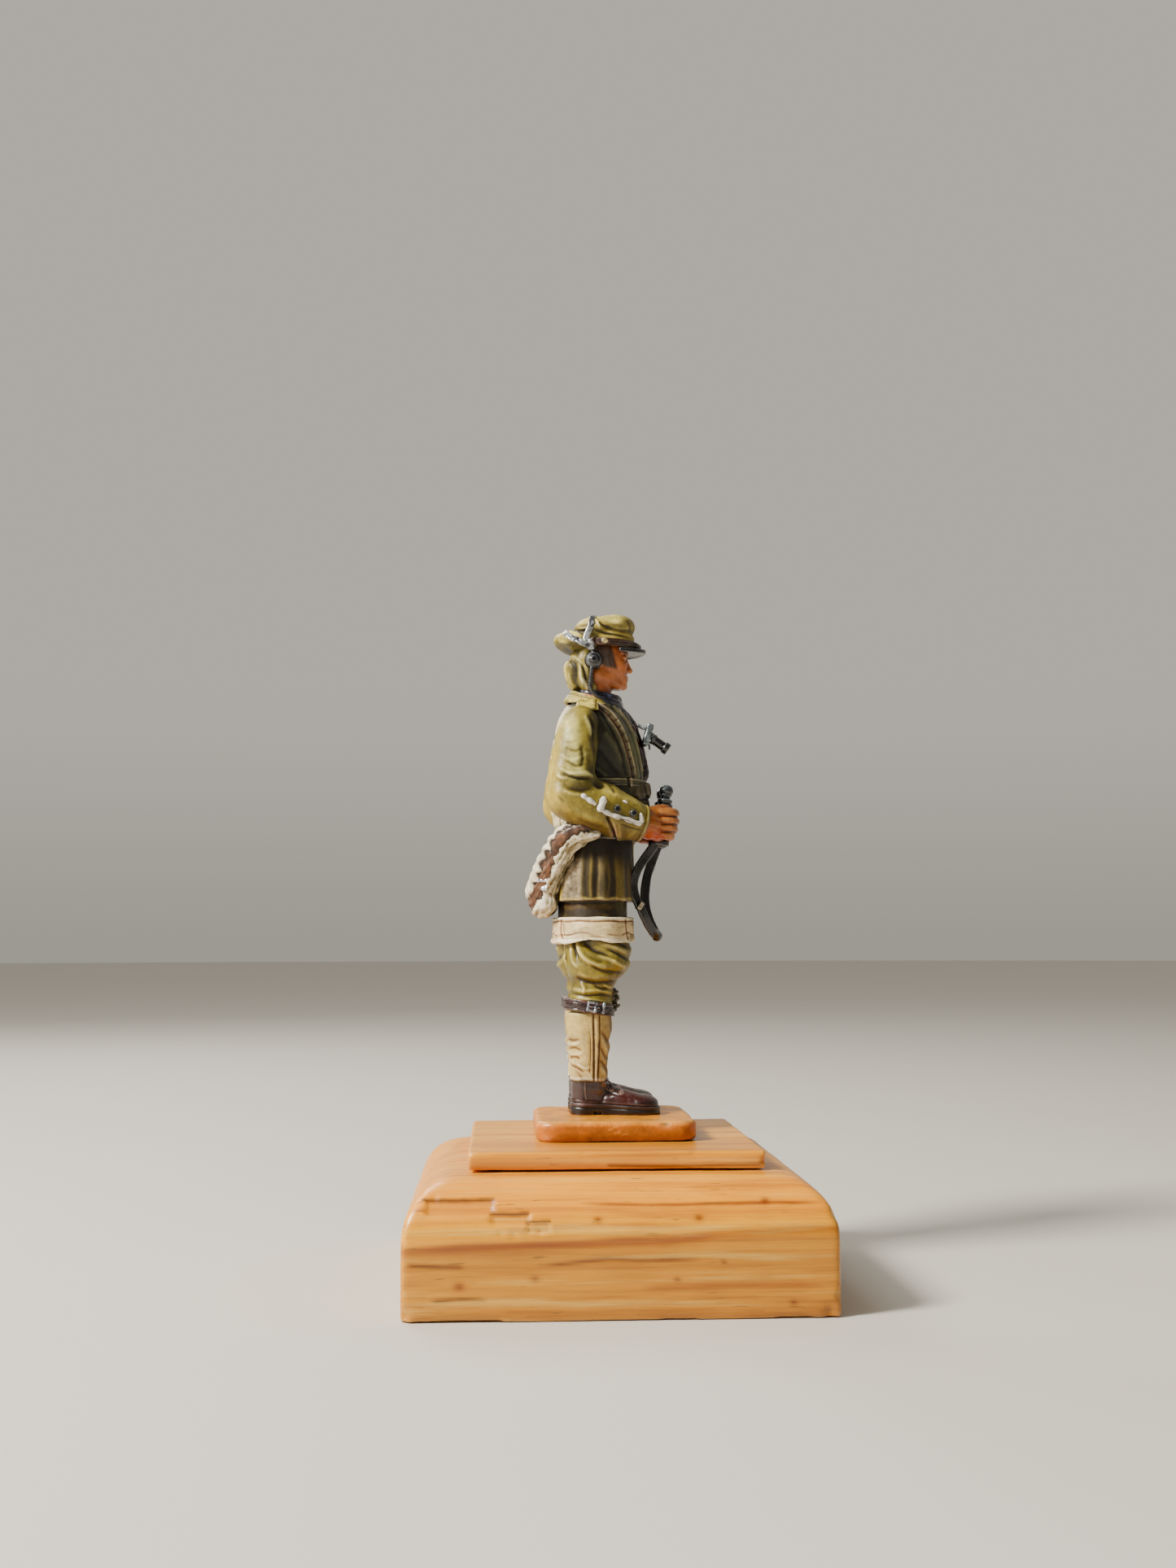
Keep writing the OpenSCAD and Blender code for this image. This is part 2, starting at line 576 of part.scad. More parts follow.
lower_plinth();
upper_plinth();
mounting_screw();
foot_pins();
base_plate();
fig() boot_sole(-1);  // right_boot_sole
fig() boot_sole(1);  // left_boot_sole
fig() boot(-1);  // right_boot
fig() boot(1);  // left_boot
fig() boot_laces();
fig() gaiter(-1);  // right_gaiter
fig() gaiter(1);  // left_gaiter
fig() garter_strap(-1);  // right_garter_strap
fig() garter_strap(1);  // left_garter_strap
fig() garter_buckles();
fig() breeches();
fig() knee_lacing();
fig() hem_band();
fig() tunic_skirt();
fig() tunic_body();
fig() jerkin();
fig() sheepskin_roll();
fig() roll_band();
fig() waist_belt();
fig() front_pouch();
fig() shoulder_straps();
fig() sleeve(-1);  // right_sleeve
fig() sleeve(1);  // left_sleeve
fig() cuff_braid();
fig() cuff_buttons();
fig() hand(-1);  // right_hand
fig() hand(1);  // left_hand
fig() binoculars();
fig() eyepieces();
fig() binocular_strap();
fig() scarf();
fig() scarf_tail();
fig() head();
fig() neck_curtain();
fig() cap_crown();
fig() cap_band();
fig() cap_peak();
fig() headset_bands();
fig() earphones();
fig() headset_cable();
fig() microphone_plate();
fig() microphone();
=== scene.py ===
import bpy, math
import numpy as np
from mathutils import Matrix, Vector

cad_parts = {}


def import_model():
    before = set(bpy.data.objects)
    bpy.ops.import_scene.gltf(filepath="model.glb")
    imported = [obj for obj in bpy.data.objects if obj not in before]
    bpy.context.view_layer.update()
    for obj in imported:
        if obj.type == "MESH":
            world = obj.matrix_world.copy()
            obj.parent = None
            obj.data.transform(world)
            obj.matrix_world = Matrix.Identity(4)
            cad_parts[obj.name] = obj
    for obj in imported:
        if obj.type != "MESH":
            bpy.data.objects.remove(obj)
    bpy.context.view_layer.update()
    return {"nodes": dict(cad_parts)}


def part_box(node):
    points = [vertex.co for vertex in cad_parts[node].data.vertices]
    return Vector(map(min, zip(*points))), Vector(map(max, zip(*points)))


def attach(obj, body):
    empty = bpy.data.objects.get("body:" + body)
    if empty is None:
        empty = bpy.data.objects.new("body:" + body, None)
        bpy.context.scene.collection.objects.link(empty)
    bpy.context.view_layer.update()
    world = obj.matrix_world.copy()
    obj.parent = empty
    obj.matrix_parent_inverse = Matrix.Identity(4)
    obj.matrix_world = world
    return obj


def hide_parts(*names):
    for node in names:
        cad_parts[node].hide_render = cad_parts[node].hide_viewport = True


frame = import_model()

HS = 1.0

# ---------------------------------------------------------------- where things are
def mm(node):
    lo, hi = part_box(node)
    return np.array(lo) * 1000, np.array(hi) * 1000
_pl, _ph = mm("foot_pins")
PIN_R = (_ph[0] - _pl[0]) / 2
KS = (_ph[1] - _pl[1] - 2 * PIN_R) / 6.6          # figure scale: the pins stand 6.6 nominal mm apart
FIG = np.array([(_ph[0] + _pl[0]) / 2 + 2.3 * KS, (_ph[1] + _pl[1]) / 2, mm("base_plate")[1][2]])
A = np.array

# ---------------------------------------------------------------- solid fields
class Grid:
    def __init__(s, lo, hi, h):
        h = h * HS
        lo = A(lo, float) - 2.5 * h; hi = A(hi, float) + 2.5 * h
        n = np.ceil((hi - lo) / h).astype(int) + 1
        s.o = lo; s.h = h
        ax = [(lo[i] + h * np.arange(n[i])).astype(np.float32) for i in range(3)]
        s.P = (ax[0][:, None, None], ax[1][None, :, None], ax[2][None, None, :])

def smin(a, b, k):
    h = np.clip(0.5 + 0.5 * (b - a) / k, 0, 1)
    return b + (a - b) * h - k * h * (1 - h)
def smax(a, b, k): return -smin(-a, -b, k)
def rotm(rx=0, ry=0, rz=0):
    rx, ry, rz = [math.radians(v) for v in (rx, ry, rz)]
    X = A([[1, 0, 0], [0, math.cos(rx), -math.sin(rx)], [0, math.sin(rx), math.cos(rx)]])
    Y = A([[math.cos(ry), 0, math.sin(ry)], [0, 1, 0], [-math.sin(ry), 0, math.cos(ry)]])
    Z = A([[math.cos(rz), -math.sin(rz), 0], [math.sin(rz), math.cos(rz), 0], [0, 0, 1]])
    return Z @ Y @ X
def into(P, c, R=None):
    x, y, z = P[0] - c[0], P[1] - c[1], P[2] - c[2]
    if R is None: return x, y, z
    return tuple(x * R[0, i] + y * R[1, i] + z * R[2, i] for i in range(3))
def ell(P, c, r, R=None):
    x, y, z = into(P, c, R)
    k0 = np.sqrt((x / r[0]) ** 2 + (y / r[1]) ** 2 + (z / r[2]) ** 2) + 1e-6
    k1 = np.sqrt((x / r[0] ** 2) ** 2 + (y / r[1] ** 2) ** 2 + (z / r[2] ** 2) ** 2) + 1e-6
    return k0 * (k0 - 1) / k1
def rbox(P, c, h, r, R=None):
    q = [np.abs(v) - (hh - r) for v, hh in zip(into(P, c, R), h)]
    o = np.sqrt(sum(np.maximum(v, 0) ** 2 for v in q))
    return o + np.minimum(np.maximum(np.maximum(q[0], q[1]), q[2]), 0) - r
def cap(P, a, b, ra, rb=None):
    rb = ra if rb is None else rb
    a = A(a, float); b = A(b, float); d = b - a
    x, y, z = P[0] - a[0], P[1] - a[1], P[2] - a[2]
    t = np.clip((x * d[0] + y * d[1] + z * d[2]) / (d @ d + 1e-9), 0, 1)
    return np.sqrt((x - t * d[0]) ** 2 + (y - t * d[1]) ** 2 + (z - t * d[2]) ** 2) - (ra + (rb - ra) * t)
def cyl(P, c, r, h, R=None, e=0.1):
    x, y, z = into(P, c, R)
    a = np.sqrt(x * x + y * y) - (r - e); b = np.abs(z) - (h / 2 - e)
    return np.minimum(np.maximum(a, b), 0) + np.sqrt(np.maximum(a, 0) ** 2 + np.maximum(b, 0) ** 2) - e
def torus(P, c, r1, r2, R=None, sx=1.0, sy=1.0):
    x, y, z = into(P, c, R)
    q = np.sqrt((x / sx) ** 2 + (y / sy) ** 2) - r1
    return np.sqrt(q * q + z * z) - r2
def spline(pts, n):
    p = A(pts, float); m = len(p)
    t = np.linspace(0, m - 1, n); i = np.clip(t.astype(int), 0, m - 2); f = (t - i)[:, None]
    g = lambda j: p[np.clip(j, 0, m - 1)]
    a, b, c, d = g(i - 1), g(i), g(i + 1), g(i + 2)
    return 0.5 * ((2 * b) + (c - a) * f + (2 * a - 5 * b + 4 * c - d) * f ** 2 + (3 * b - a - 3 * c + d) * f ** 3)
def tube(P, pts, rad, k=0.0):
    F = None
    for i in range(len(pts) - 1):
        ra = rad if np.isscalar(rad) else rad[i]; rb = rad if np.isscalar(rad) else rad[i + 1]
        d = cap(P, pts[i], pts[i + 1], ra, rb)
        F = d if F is None else (smin(F, d, k) if k else np.minimum(F, d))
    return F
def ribbon(P, pts, side, hw, ht, r=0.08):
    """A flat strap along pts: half width hw along side, half thickness ht."""
    F = None; p = A(pts, float)
    for i in range(len(p) - 1):
        t = p[i + 1] - p[i]; L = np.linalg.norm(t); t = t / L
        s = A(side if np.ndim(side) == 1 else side[i], float); s = s - (s @ t) * t; s = s / np.linalg.norm(s); n = np.cross(t, s)
        R = np.stack([t, s, n], 1)
        d = rbox(P, (p[i] + p[i + 1]) / 2, (L / 2 + ht, hw, ht), r, R)
        F = d if F is None else np.minimum(F, d)
    return F
def loft(P, st, n=2.0, k=0.3, cut=True):
    """Stacked ovals: each row is z, centre x, centre y, half length, half width."""
    s = spline(st, 90); s = s[np.argsort(s[:, 0])]
    z = P[2]; g = [np.interp(z, s[:, 0], s[:, j]).astype(np.float32) for j in range(1, 5)]
    x = P[0] - g[0]; y = P[1] - g[1]
    rho = ((np.abs(x) / g[2]) ** n + (np.abs(y) / g[3]) ** n + 1e-9) ** (1.0 / n)
    d = np.sqrt(x * x + y * y + 1e-8) * (1 - 1 / rho)
    d = np.maximum(d, -np.minimum(g[2], g[3]))
    if not cut: return d
    return smax(smax(d, z - st[-1][0] if st[-1][0] > st[0][0] else z - st[0][0], k), min(st[0][0], st[-1][0]) - z, k)

# ---------------------------------------------------------------- noise on points
def _hash(i, j, k, s):
    h = (i.astype(np.int64) * 374761393 + j.astype(np.int64) * 668265263 + k.astype(np.int64) * 2147483647 + s * 974634777) & 0xffffffff
    h = ((h ^ (h >> 13)) * 1274126177) & 0xffffffff
    return ((h ^ (h >> 16)) & 0xffff) / 32767.5 - 1
def vnoise(V, size, seed=0):
    p = V / A(size, float); i = np.floor(p); f = p - i; f = f * f * (3 - 2 * f); i = i.astype(np.int64)
    out = 0
    for a in (0, 1):
        for b in (0, 1):
            for c in (0, 1):
                w = (f[:, 0] if a else 1 - f[:, 0]) * (f[:, 1] if b else 1 - f[:, 1]) * (f[:, 2] if c else 1 - f[:, 2])
                out = out + w * _hash(i[:, 0] + a, i[:, 1] + b, i[:, 2] + c, seed)
    return out
def fbm(V, size, seed=0, oct=3):
    return sum(vnoise(V, A(size, float) / 2 ** o, seed + o * 17) * 0.5 ** o for o in range(oct)) / (2 - 0.5 ** (oct - 1))
def ss(a, b, x):
    t = np.clip((x - a) / (b - a), 0, 1); return t * t * (3 - 2 * t)

# ---------------------------------------------------------------- surface of a field
def nets(F, o, h):
    ins = F < 0; sh = F.shape
    tot = np.zeros(tuple(n - 1 for n in sh), np.int8)
    for a in (0, 1):
        for b in (0, 1):
            for c in (0, 1): tot += ins[a:sh[0] - 1 + a, b:sh[1] - 1 + b, c:sh[2] - 1 + c]
    act = (tot > 0) & (tot < 8); ci = np.argwhere(act)
    idx = np.full(act.shape, -1, np.int64); idx[act] = np.arange(len(ci))
    acc = np.zeros((len(ci), 3)); cnt = np.zeros(len(ci))
    ks = [(a, b, c) for a in (0, 1) for b in (0, 1) for c in (0, 1)]
    vals = {k: F[ci[:, 0] + k[0], ci[:, 1] + k[1], ci[:, 2] + k[2]] for k in ks}
    for k in ks:
        for ax in range(3):
            if k[ax] == 0:
                k2 = list(k); k2[ax] = 1; a, b = vals[k], vals[tuple(k2)]
                m = (a < 0) != (b < 0); p = np.tile(A(k, float), (int(m.sum()), 1)); p[:, ax] = a[m] / (a[m] - b[m])
                acc[m] += p; cnt[m] += 1
    V = (ci + acc / cnt[:, None]) * h + o
    Q = []
    for ax in range(3):
        a = [slice(1, n - 1) for n in sh]; b = list(a); a[ax] = slice(0, sh[ax] - 1); b[ax] = slice(1, sh[ax])
        IA, IB = ins[tuple(a)], ins[tuple(b)]
        e = np.argwhere(IA != IB); s = IA[tuple(e.T)]
        off = np.ones(3, int); off[ax] = 0; e = e + off; u, v = (ax + 1) % 3, (ax + 2) % 3
        def cell(du, dv):
            q = e.copy(); q[:, u] -= du; q[:, v] -= dv; return idx[q[:, 0], q[:, 1], q[:, 2]]
        q = np.stack([cell(1, 1), cell(0, 1), cell(0, 0), cell(1, 0)], 1)
        q[~s] = q[~s][:, ::-1]; Q.append(q)
    return V, np.concatenate(Q)
def avg(V, Q):
    n = len(V); i = np.concatenate([Q[:, 0], Q[:, 1], Q[:, 2], Q[:, 3]]); j = np.concatenate([Q[:, 1], Q[:, 2], Q[:, 3], Q[:, 0]])
    c = np.bincount(i, minlength=n) + 1e-9
    return np.stack([np.bincount(i, V[j, k], minlength=n) / c for k in range(V.shape[1])], 1)
def norms(V, Q):
    f = np.cross(V[Q[:, 2]] - V[Q[:, 0]], V[Q[:, 3]] - V[Q[:, 1]]); N = np.zeros_like(V)
    for c in range(4):
        for k in range(3): N[:, k] += np.bincount(Q[:, c], f[:, k], minlength=len(V))
    return N / (np.linalg.norm(N, axis=1)[:, None] + 1e-12)
def seg_dist(V, pts, dims=(0, 1, 2)):
    p = A(pts, float); X = V[:, dims]; best = np.full(len(V), 1e9); par = np.zeros(len(V))
    for i in range(len(p) - 1):
        d = p[i + 1] - p[i]; w = X - p[i]; t = np.clip(w @ d / (d @ d + 1e-12), 0, 1)
        r = np.linalg.norm(w - t[:, None] * d, axis=1); m = r < best
        best[m] = r[m]; par[m] = (i + t[m]) / (len(p) - 1)
    return best, par

class Sculpt:
    """A meshed field that can be carved, folded and painted before it becomes a piece."""
    def __init__(s, F, g, relax=2):
        F = np.asarray(F); s.V, s.Q = nets(F, g.o, g.h); s.F, s.g = F, g
        for _ in range(relax):
            s.V += 0.5 * (avg(s.V, s.Q) - s.V); s.V -= 0.52 * (avg(s.V, s.Q) - s.V)
        s.N = norms(s.V, s.Q); s.h = g.h
        s.col = np.ones((len(s.V), 3)); s.x, s.y, s.z = s.V.T
    def push(s, d):
        s.V = s.V + s.N * np.asarray(d)[:, None]; s.N = norms(s.V, s.Q); s.x, s.y, s.z = s.V.T
    def rough(s, amp, size, seed=0, oct=3): s.push(amp * fbm(s.V, size, seed, oct))
    def near(s, pts, side=None, dims=(0, 2)):
        """Distance from a stroke drawn in side view (x, z), on one side, or in space if points have 3 numbers."""
        p = A(pts, float)
        if p.shape[1] == 3: d, t = seg_dist(s.V, spline(p, 4 * len(p)), (0, 1, 2))
        else: d, t = seg_dist(s.V, spline(p, 4 * len(p)), dims)
        if side is not None: d = np.where(s.N[:, 1] * side > -0.25, d, 9.0)
        return d, t
    def stroke(s, pts, w, amp, side=None, taper=True, col=None, cw=None, dims=(0, 2), op=0.9):
        d, t = s.near(pts, side, dims)
        tp = np.sin(np.pi * np.clip(t * 0.96 + 0.02, 0, 1)) ** 0.6 if taper else 1.0
        g = np.exp(-(d / w) ** 2) * tp
        if amp: s._acc = getattr(s, "_acc", 0) + amp * g
        if col is not None: s.paint(np.exp(-(d / (cw or w * 0.6)) ** 2) * tp * op, col)
    def flush(s):
        if np.ndim(getattr(s, "_acc", 0)): s.push(s._acc)
        s._acc = 0
    def paint(s, m, c):
        m = np.clip(np.asarray(m, float), 0, 1)[:, None]; s.col = s.col * (1 - m) + A(c, float) * m
    def fill(s, c): s.col[:] = c
    def cav(s):
        V = s.V; W = V.copy(); out = []
        sc = s.h
        for n in range(1, 25):
            W = W + 0.5 * (avg(W, s.Q) - W)
            if n in (3, 24): out.append(np.einsum("ij,ij->i", W - V, s.N) / sc)
        c = np.clip(out[0] * 2.2, -1, 1) * 0.5 + np.clip(out[1] * 0.55, -1, 1) * 0.6
        return c

def lin(c):
    c = A(c, float) / 255.0
    return np.where(c <= 0.04045, c / 12.92, ((c + 0.055) / 1.055) ** 2.4)

def world(V):
    return (FIG + KS * V) * 0.001
OO, OH, ON = A([-12.6, -13.2, -3.0]), 0.3, (84, 88, 236)
OCC = np.zeros(ON, np.float32); MADE = []
def occupy(s, space):
    """Notes where a piece is solid, so that paint can be shaded where pieces meet."""
    k = max(1, int(0.3 / s.g.h)); i = np.argwhere(s.F[::k, ::k, ::k] < 0) * k; p = i * s.g.h + s.g.o
    if space != "fig": p = (p - FIG) / KS
    q = np.floor((p - OO) / OH).astype(int); q = q[((q >= 0) & (q < A(ON))).all(1)]; OCC[q[:, 0], q[:, 1], q[:, 2]] = 1
def shade_all():
    B = OCC.copy()
    for _ in range(2):
        for ax in range(3): B = sum(np.roll(B, d, ax) for d in (-2, -1, 0, 1, 2)) / 5
    for o, V, N in MADE:
        p = (V + N * 0.75 - OO) / OH - 0.5; p = np.clip(p, 0, A(ON) - 2.001); i = p.astype(int); f = p - i; d = 0
        for a in (0, 1):
            for b in (0, 1):
                for c in (0, 1): d = d + B[i[:, 0] + a, i[:, 1] + b, i[:, 2] + c] * np.abs(1 - a - f[:, 0]) * np.abs(1 - b - f[:, 1]) * np.abs(1 - c - f[:, 2])
        t = o.data.attributes.new("occ", "FLOAT", "POINT"); t.data.foreach_set("value", ss(0.27, 0.62, d).astype(np.float32))
def piece(name, s, nodes, material, space="fig", smooth=True, sat=1.04, gam=1.42):
    V = world(s.V) if space == "fig" else s.V * 0.001
    occupy(s, space); s.F = None
    me = bpy.data.meshes.new(name); Q = s.Q
    me.vertices.add(len(V)); me.vertices.foreach_set("co", V.astype(np.float32).ravel())
    me.loops.add(len(Q) * 4); me.loops.foreach_set("vertex_index", Q.astype(np.int32).ravel())
    me.polygons.add(len(Q)); me.polygons.foreach_set("loop_start", np.arange(0, len(Q) * 4, 4, dtype=np.int32))
    me.update(calc_edges=True)
    me.polygons.foreach_set("use_smooth", np.full(len(Q), smooth))
    a = me.attributes.new("cav", "FLOAT", "POINT"); a.data.foreach_set("value", s.cav().astype(np.float32))
    lum = s.col @ A([.25, .6, .15]); s.col = np.clip(lum[:, None] + (s.col - lum[:, None]) * sat, 0.002, 1) ** gam
    a = me.attributes.new("paint", "FLOAT_COLOR", "POINT")
    a.data.foreach_set("color", np.concatenate([s.col, np.ones((len(V), 1))], 1).astype(np.float32).ravel())
    me.validate()
    o = bpy.data.objects.new(name, me); bpy.context.collection.objects.link(o)
    me.materials.append(material)
    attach(o, "root")
    if nodes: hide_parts(*nodes)
    MADE.append((o, s.V if space == "fig" else (s.V - FIG) / KS, s.N))
    return o

# ---------------------------------------------------------------- materials
class NT:
    def __init__(s, name):
        s.m = bpy.data.materials.new(name); s.m.use_nodes = True; s.t = s.m.node_tree; s.t.nodes.clear()
        s.out = s.t.nodes.new("ShaderNodeOutputMaterial"); s.b = s.t.nodes.new("ShaderNodeBsdfPrincipled")
        s.t.links.new(s.b.outputs[0], s.out.inputs[0]); s.co = s.t.nodes.new("ShaderNodeTexCoord").outputs["Object"]
    def link(s, a, b): s.t.links.new(a, b)
    def put(s, sock, v):
        if hasattr(v, "is_output"): s.link(v, sock)
        else: sock.default_value = v
    def attr(s, n, fac=False):
        a = s.t.nodes.new("ShaderNodeAttribute"); a.attribute_name = n; return a.outputs["Fac" if fac else "Color"]
    def noise(s, scale, detail=4, rough=0.55, stretch=None, dist=0.0, loc=(0, 0, 0)):
        v = s.co
        if stretch or any(loc):
            mp = s.t.nodes.new("ShaderNodeMapping"); mp.inputs["Scale"].default_value = stretch or (1, 1, 1); mp.inputs["Location"].default_value = loc; s.link(v, mp.inputs[0]); v = mp.outputs[0]
        n = s.t.nodes.new("ShaderNodeTexNoise"); s.link(v, n.inputs["Vector"])
        n.inputs["Scale"].default_value = scale; n.inputs["Detail"].default_value = detail; n.inputs["Roughness"].default_value = rough; n.inputs["Distortion"].default_value = dist
        return n.outputs["Fac"]
    def rng(s, v, a, b, c, d):
        n = s.t.nodes.new("ShaderNodeMapRange"); s.put(n.inputs[0], v)
        for i, q in enumerate((a, b, c, d)): n.inputs[i + 1].default_value = q
        return n.outputs[0]
    def math(s, op, a, b=0.0):
        n = s.t.nodes.new("ShaderNodeMath"); n.operation = op; s.put(n.inputs[0], a); s.put(n.inputs[1], b); return n.outputs[0]
    def mix(s, f, a, b, mode="MIX"):
        n = s.t.nodes.new("ShaderNodeMix"); n.data_type = "RGBA"; n.blend_type = mode
        s.put(n.inputs[0], f)
        for sock, v in ((n.inputs[6], a), (n.inputs[7], b)): s.put(sock, v if hasattr(v, "is_output") else (*v, 1.0))
        return n.outputs[2]
    def grey(s, v):
        n = s.t.nodes.new("ShaderNodeCombineColor"); [s.put(n.inputs[i], v) for i in range(3)]; return n.outputs[0]
    def bump(s, h, strength, dist, chain=None):
        n = s.t.nodes.new("ShaderNodeBump"); n.inputs["Strength"].default_value = strength; n.inputs["Distance"].default_value = dist
        s.put(n.inputs["Height"], h)
        if chain is not None: s.link(chain, n.inputs["Normal"])
        return n.outputs[0]
def enamel(name, rough=0.5, spec=0.45, coat=0.0, metal=0.0, wash_and_shade=(0.32, 0.24, 0.16), wash_and_shade_k=0.9, edge=0.35, edgec=(1, 0.96, 0.82), streak=(500, 500, 160), sk=0.16, mott=0.22, bump=0.35, attr=True, base=(0.5, 0.5, 0.5)):
    """Hand-laid enamel: thin brush strokes, a wash pooled in the hollows that is also painted shade, painted shade
    where pieces meet, and dry-brushed edges that are also painted highlights.
    """
    n = NT(name)
    c = n.attr("paint") if attr else None
    big, fine, mid = n.noise(420, 4), n.noise(3600, 3), n.noise(1500, 5, 0.65, None, 1.2)
    st = n.noise(1.0, 5, 0.6, streak, 0.6)
    if c is None: c = n.mix(big, base, tuple(min(1, v * 1.3) for v in base))
    v = n.math("ADD", n.rng(big, 0.3, 0.7, 1 - mott, 1 + mott * 0.7), n.rng(st, 0.35, 0.65, -sk, sk))
    v = n.math("ADD", v, n.rng(mid, 0.34, 0.66, -mott * 0.85, mott * 0.85))
    c = n.mix(1.0, c, n.grey(v), "MULTIPLY")
    if attr:
        # painted shade: the wash colour darkens the hollows found from the cavity attribute
        cv = n.attr("cav", True)
        w = n.math("MULTIPLY", n.rng(cv, 0.0, 0.34, 0.0, wash_and_shade_k), n.rng(fine, 0.3, 0.6, 0.75, 1.0))
        c = n.mix(w, c, n.mix(1.0, c, wash_and_shade, "MULTIPLY"))
        # painted shade where pieces meet, from the occ attribute
        oc = n.math("MULTIPLY", n.attr("occ", True), n.rng(big, 0.3, 0.7, 0.75, 1.05))
        c = n.mix(n.math("MULTIPLY", oc, 0.92), c, n.mix(1.0, c, tuple(v * 0.55 for v in wash_and_shade), "MULTIPLY"))
        # painted highlight: the dry-brush colour edgec lightens raised edges
        e = n.math("MULTIPLY", n.rng(cv, -0.10, -0.62, 0.0, edge), n.rng(st, 0.4, 0.6, 0.35, 1.0))
        c = n.mix(e, c, edgec, "SOFT_LIGHT"); c = n.mix(n.math("MULTIPLY", e, 0.35), c, edgec)
    n.link(c, n.b.inputs["Base Color"])
    n.link(n.math("ADD", n.rng(fine, 0.3, 0.7, rough - 0.09, rough + 0.09), n.rng(big, 0.3, 0.7, -0.05, 0.07)), n.b.inputs["Roughness"])
    n.b.inputs["Metallic"].default_value = metal; n.b.inputs["Specular IOR Level"].default_value = spec
    n.b.inputs["Coat Weight"].default_value = coat; n.b.inputs["Coat Roughness"].default_value = 0.22
    b = n.bump(st, bump, 0.00010); b = n.bump(mid, bump * 0.8, 0.00008, b); b = n.bump(fine, bump * 0.7, 0.00004, b); n.link(b, n.b.inputs["Normal"])
    return n.m

# ================================================================ plinth
def wood_mat(name):
    n = NT(name)
    c = n.attr("paint")
    grain = n.noise(1.0, 6, 0.62, (24, 760, 760), 0.15)         # long fibres along X
    fibre = n.noise(1.0, 4, 0.6, (90, 3200, 3200), 0.3)
    cloud = n.noise(95, 4, 0.6)
    pore = n.noise(1.0, 3, 0.5, (240, 2600, 2600), 0.2)
    nt = n.m.node_tree; tc = nt.nodes.new("ShaderNodeTexCoord"); sx = nt.nodes.new("ShaderNodeSeparateXYZ"); nt.links.new(tc.outputs["Normal"], sx.inputs[0])
    side = n.rng(n.math("ABSOLUTE", sx.outputs[0], 0.0), 0.35, 0.8, 1.0, 0.12)         # the fibres show on the faces along the board, hardly on its ends
    c = n.mix(n.math("MULTIPLY", n.rng(grain, 0.50, 0.63, 0.0, 0.62), side), c, n.mix(1.0, c, (0.60, 0.46, 0.24), "MULTIPLY"))
    c = n.mix(n.math("MULTIPLY", n.rng(grain, 0.46, 0.36, 0.0, 0.35), side), c, (0.86, 0.63, 0.17))
    c = n.mix(n.rng(fibre, 0.52, 0.68, 0.0, 0.30), c, n.mix(1.0, c, (0.55, 0.42, 0.20), "MULTIPLY"))
    c = n.mix(n.rng(pore, 0.66, 0.72, 0.0, 0.65), c, (0.16, 0.075, 0.016))
    c = n.mix(n.rng(cloud, 0.42, 0.66, 0.0, 0.26), c, n.mix(1.0, c, (0.72, 0.58, 0.33), "MULTIPLY"))
    # painted shade in the hollows and painted highlight on the raised edges of the wood
    cv = n.attr("cav", True)
    c = n.mix(n.rng(cv, 0.08, 0.7, 0.0, 0.75), c, (0.15, 0.07, 0.018))
    c = n.mix(n.rng(cv, -0.25, -0.95, 0.0, 0.35), c, (0.92, 0.68, 0.26))
    n.link(c, n.b.inputs["Base Color"])
    n.link(n.math("ADD", n.rng(fibre, 0.35, 0.65, 0.30, 0.42), n.rng(cloud, 0.3, 0.7, -0.05, 0.10)), n.b.inputs["Roughness"])
    n.b.inputs["Specular IOR Level"].default_value = 0.5
    n.b.inputs["Coat Weight"].default_value = 0.28; n.b.inputs["Coat Roughness"].default_value = 0.18
    b = n.bump(grain, 0.35, 0.00012); b = n.bump(fibre, 0.4, 0.00005, b); n.link(b, n.b.inputs["Normal"])
    return n.m
PINE, PINE2 = wood_mat("pine_varnished"), wood_mat("pine_step_varnished")
LO, HI = mm("lower_plinth"); W2, PH = HI[0], HI[2]
ULO, UHI = mm("upper_plinth"); BLO, BHI = mm("base_plate")

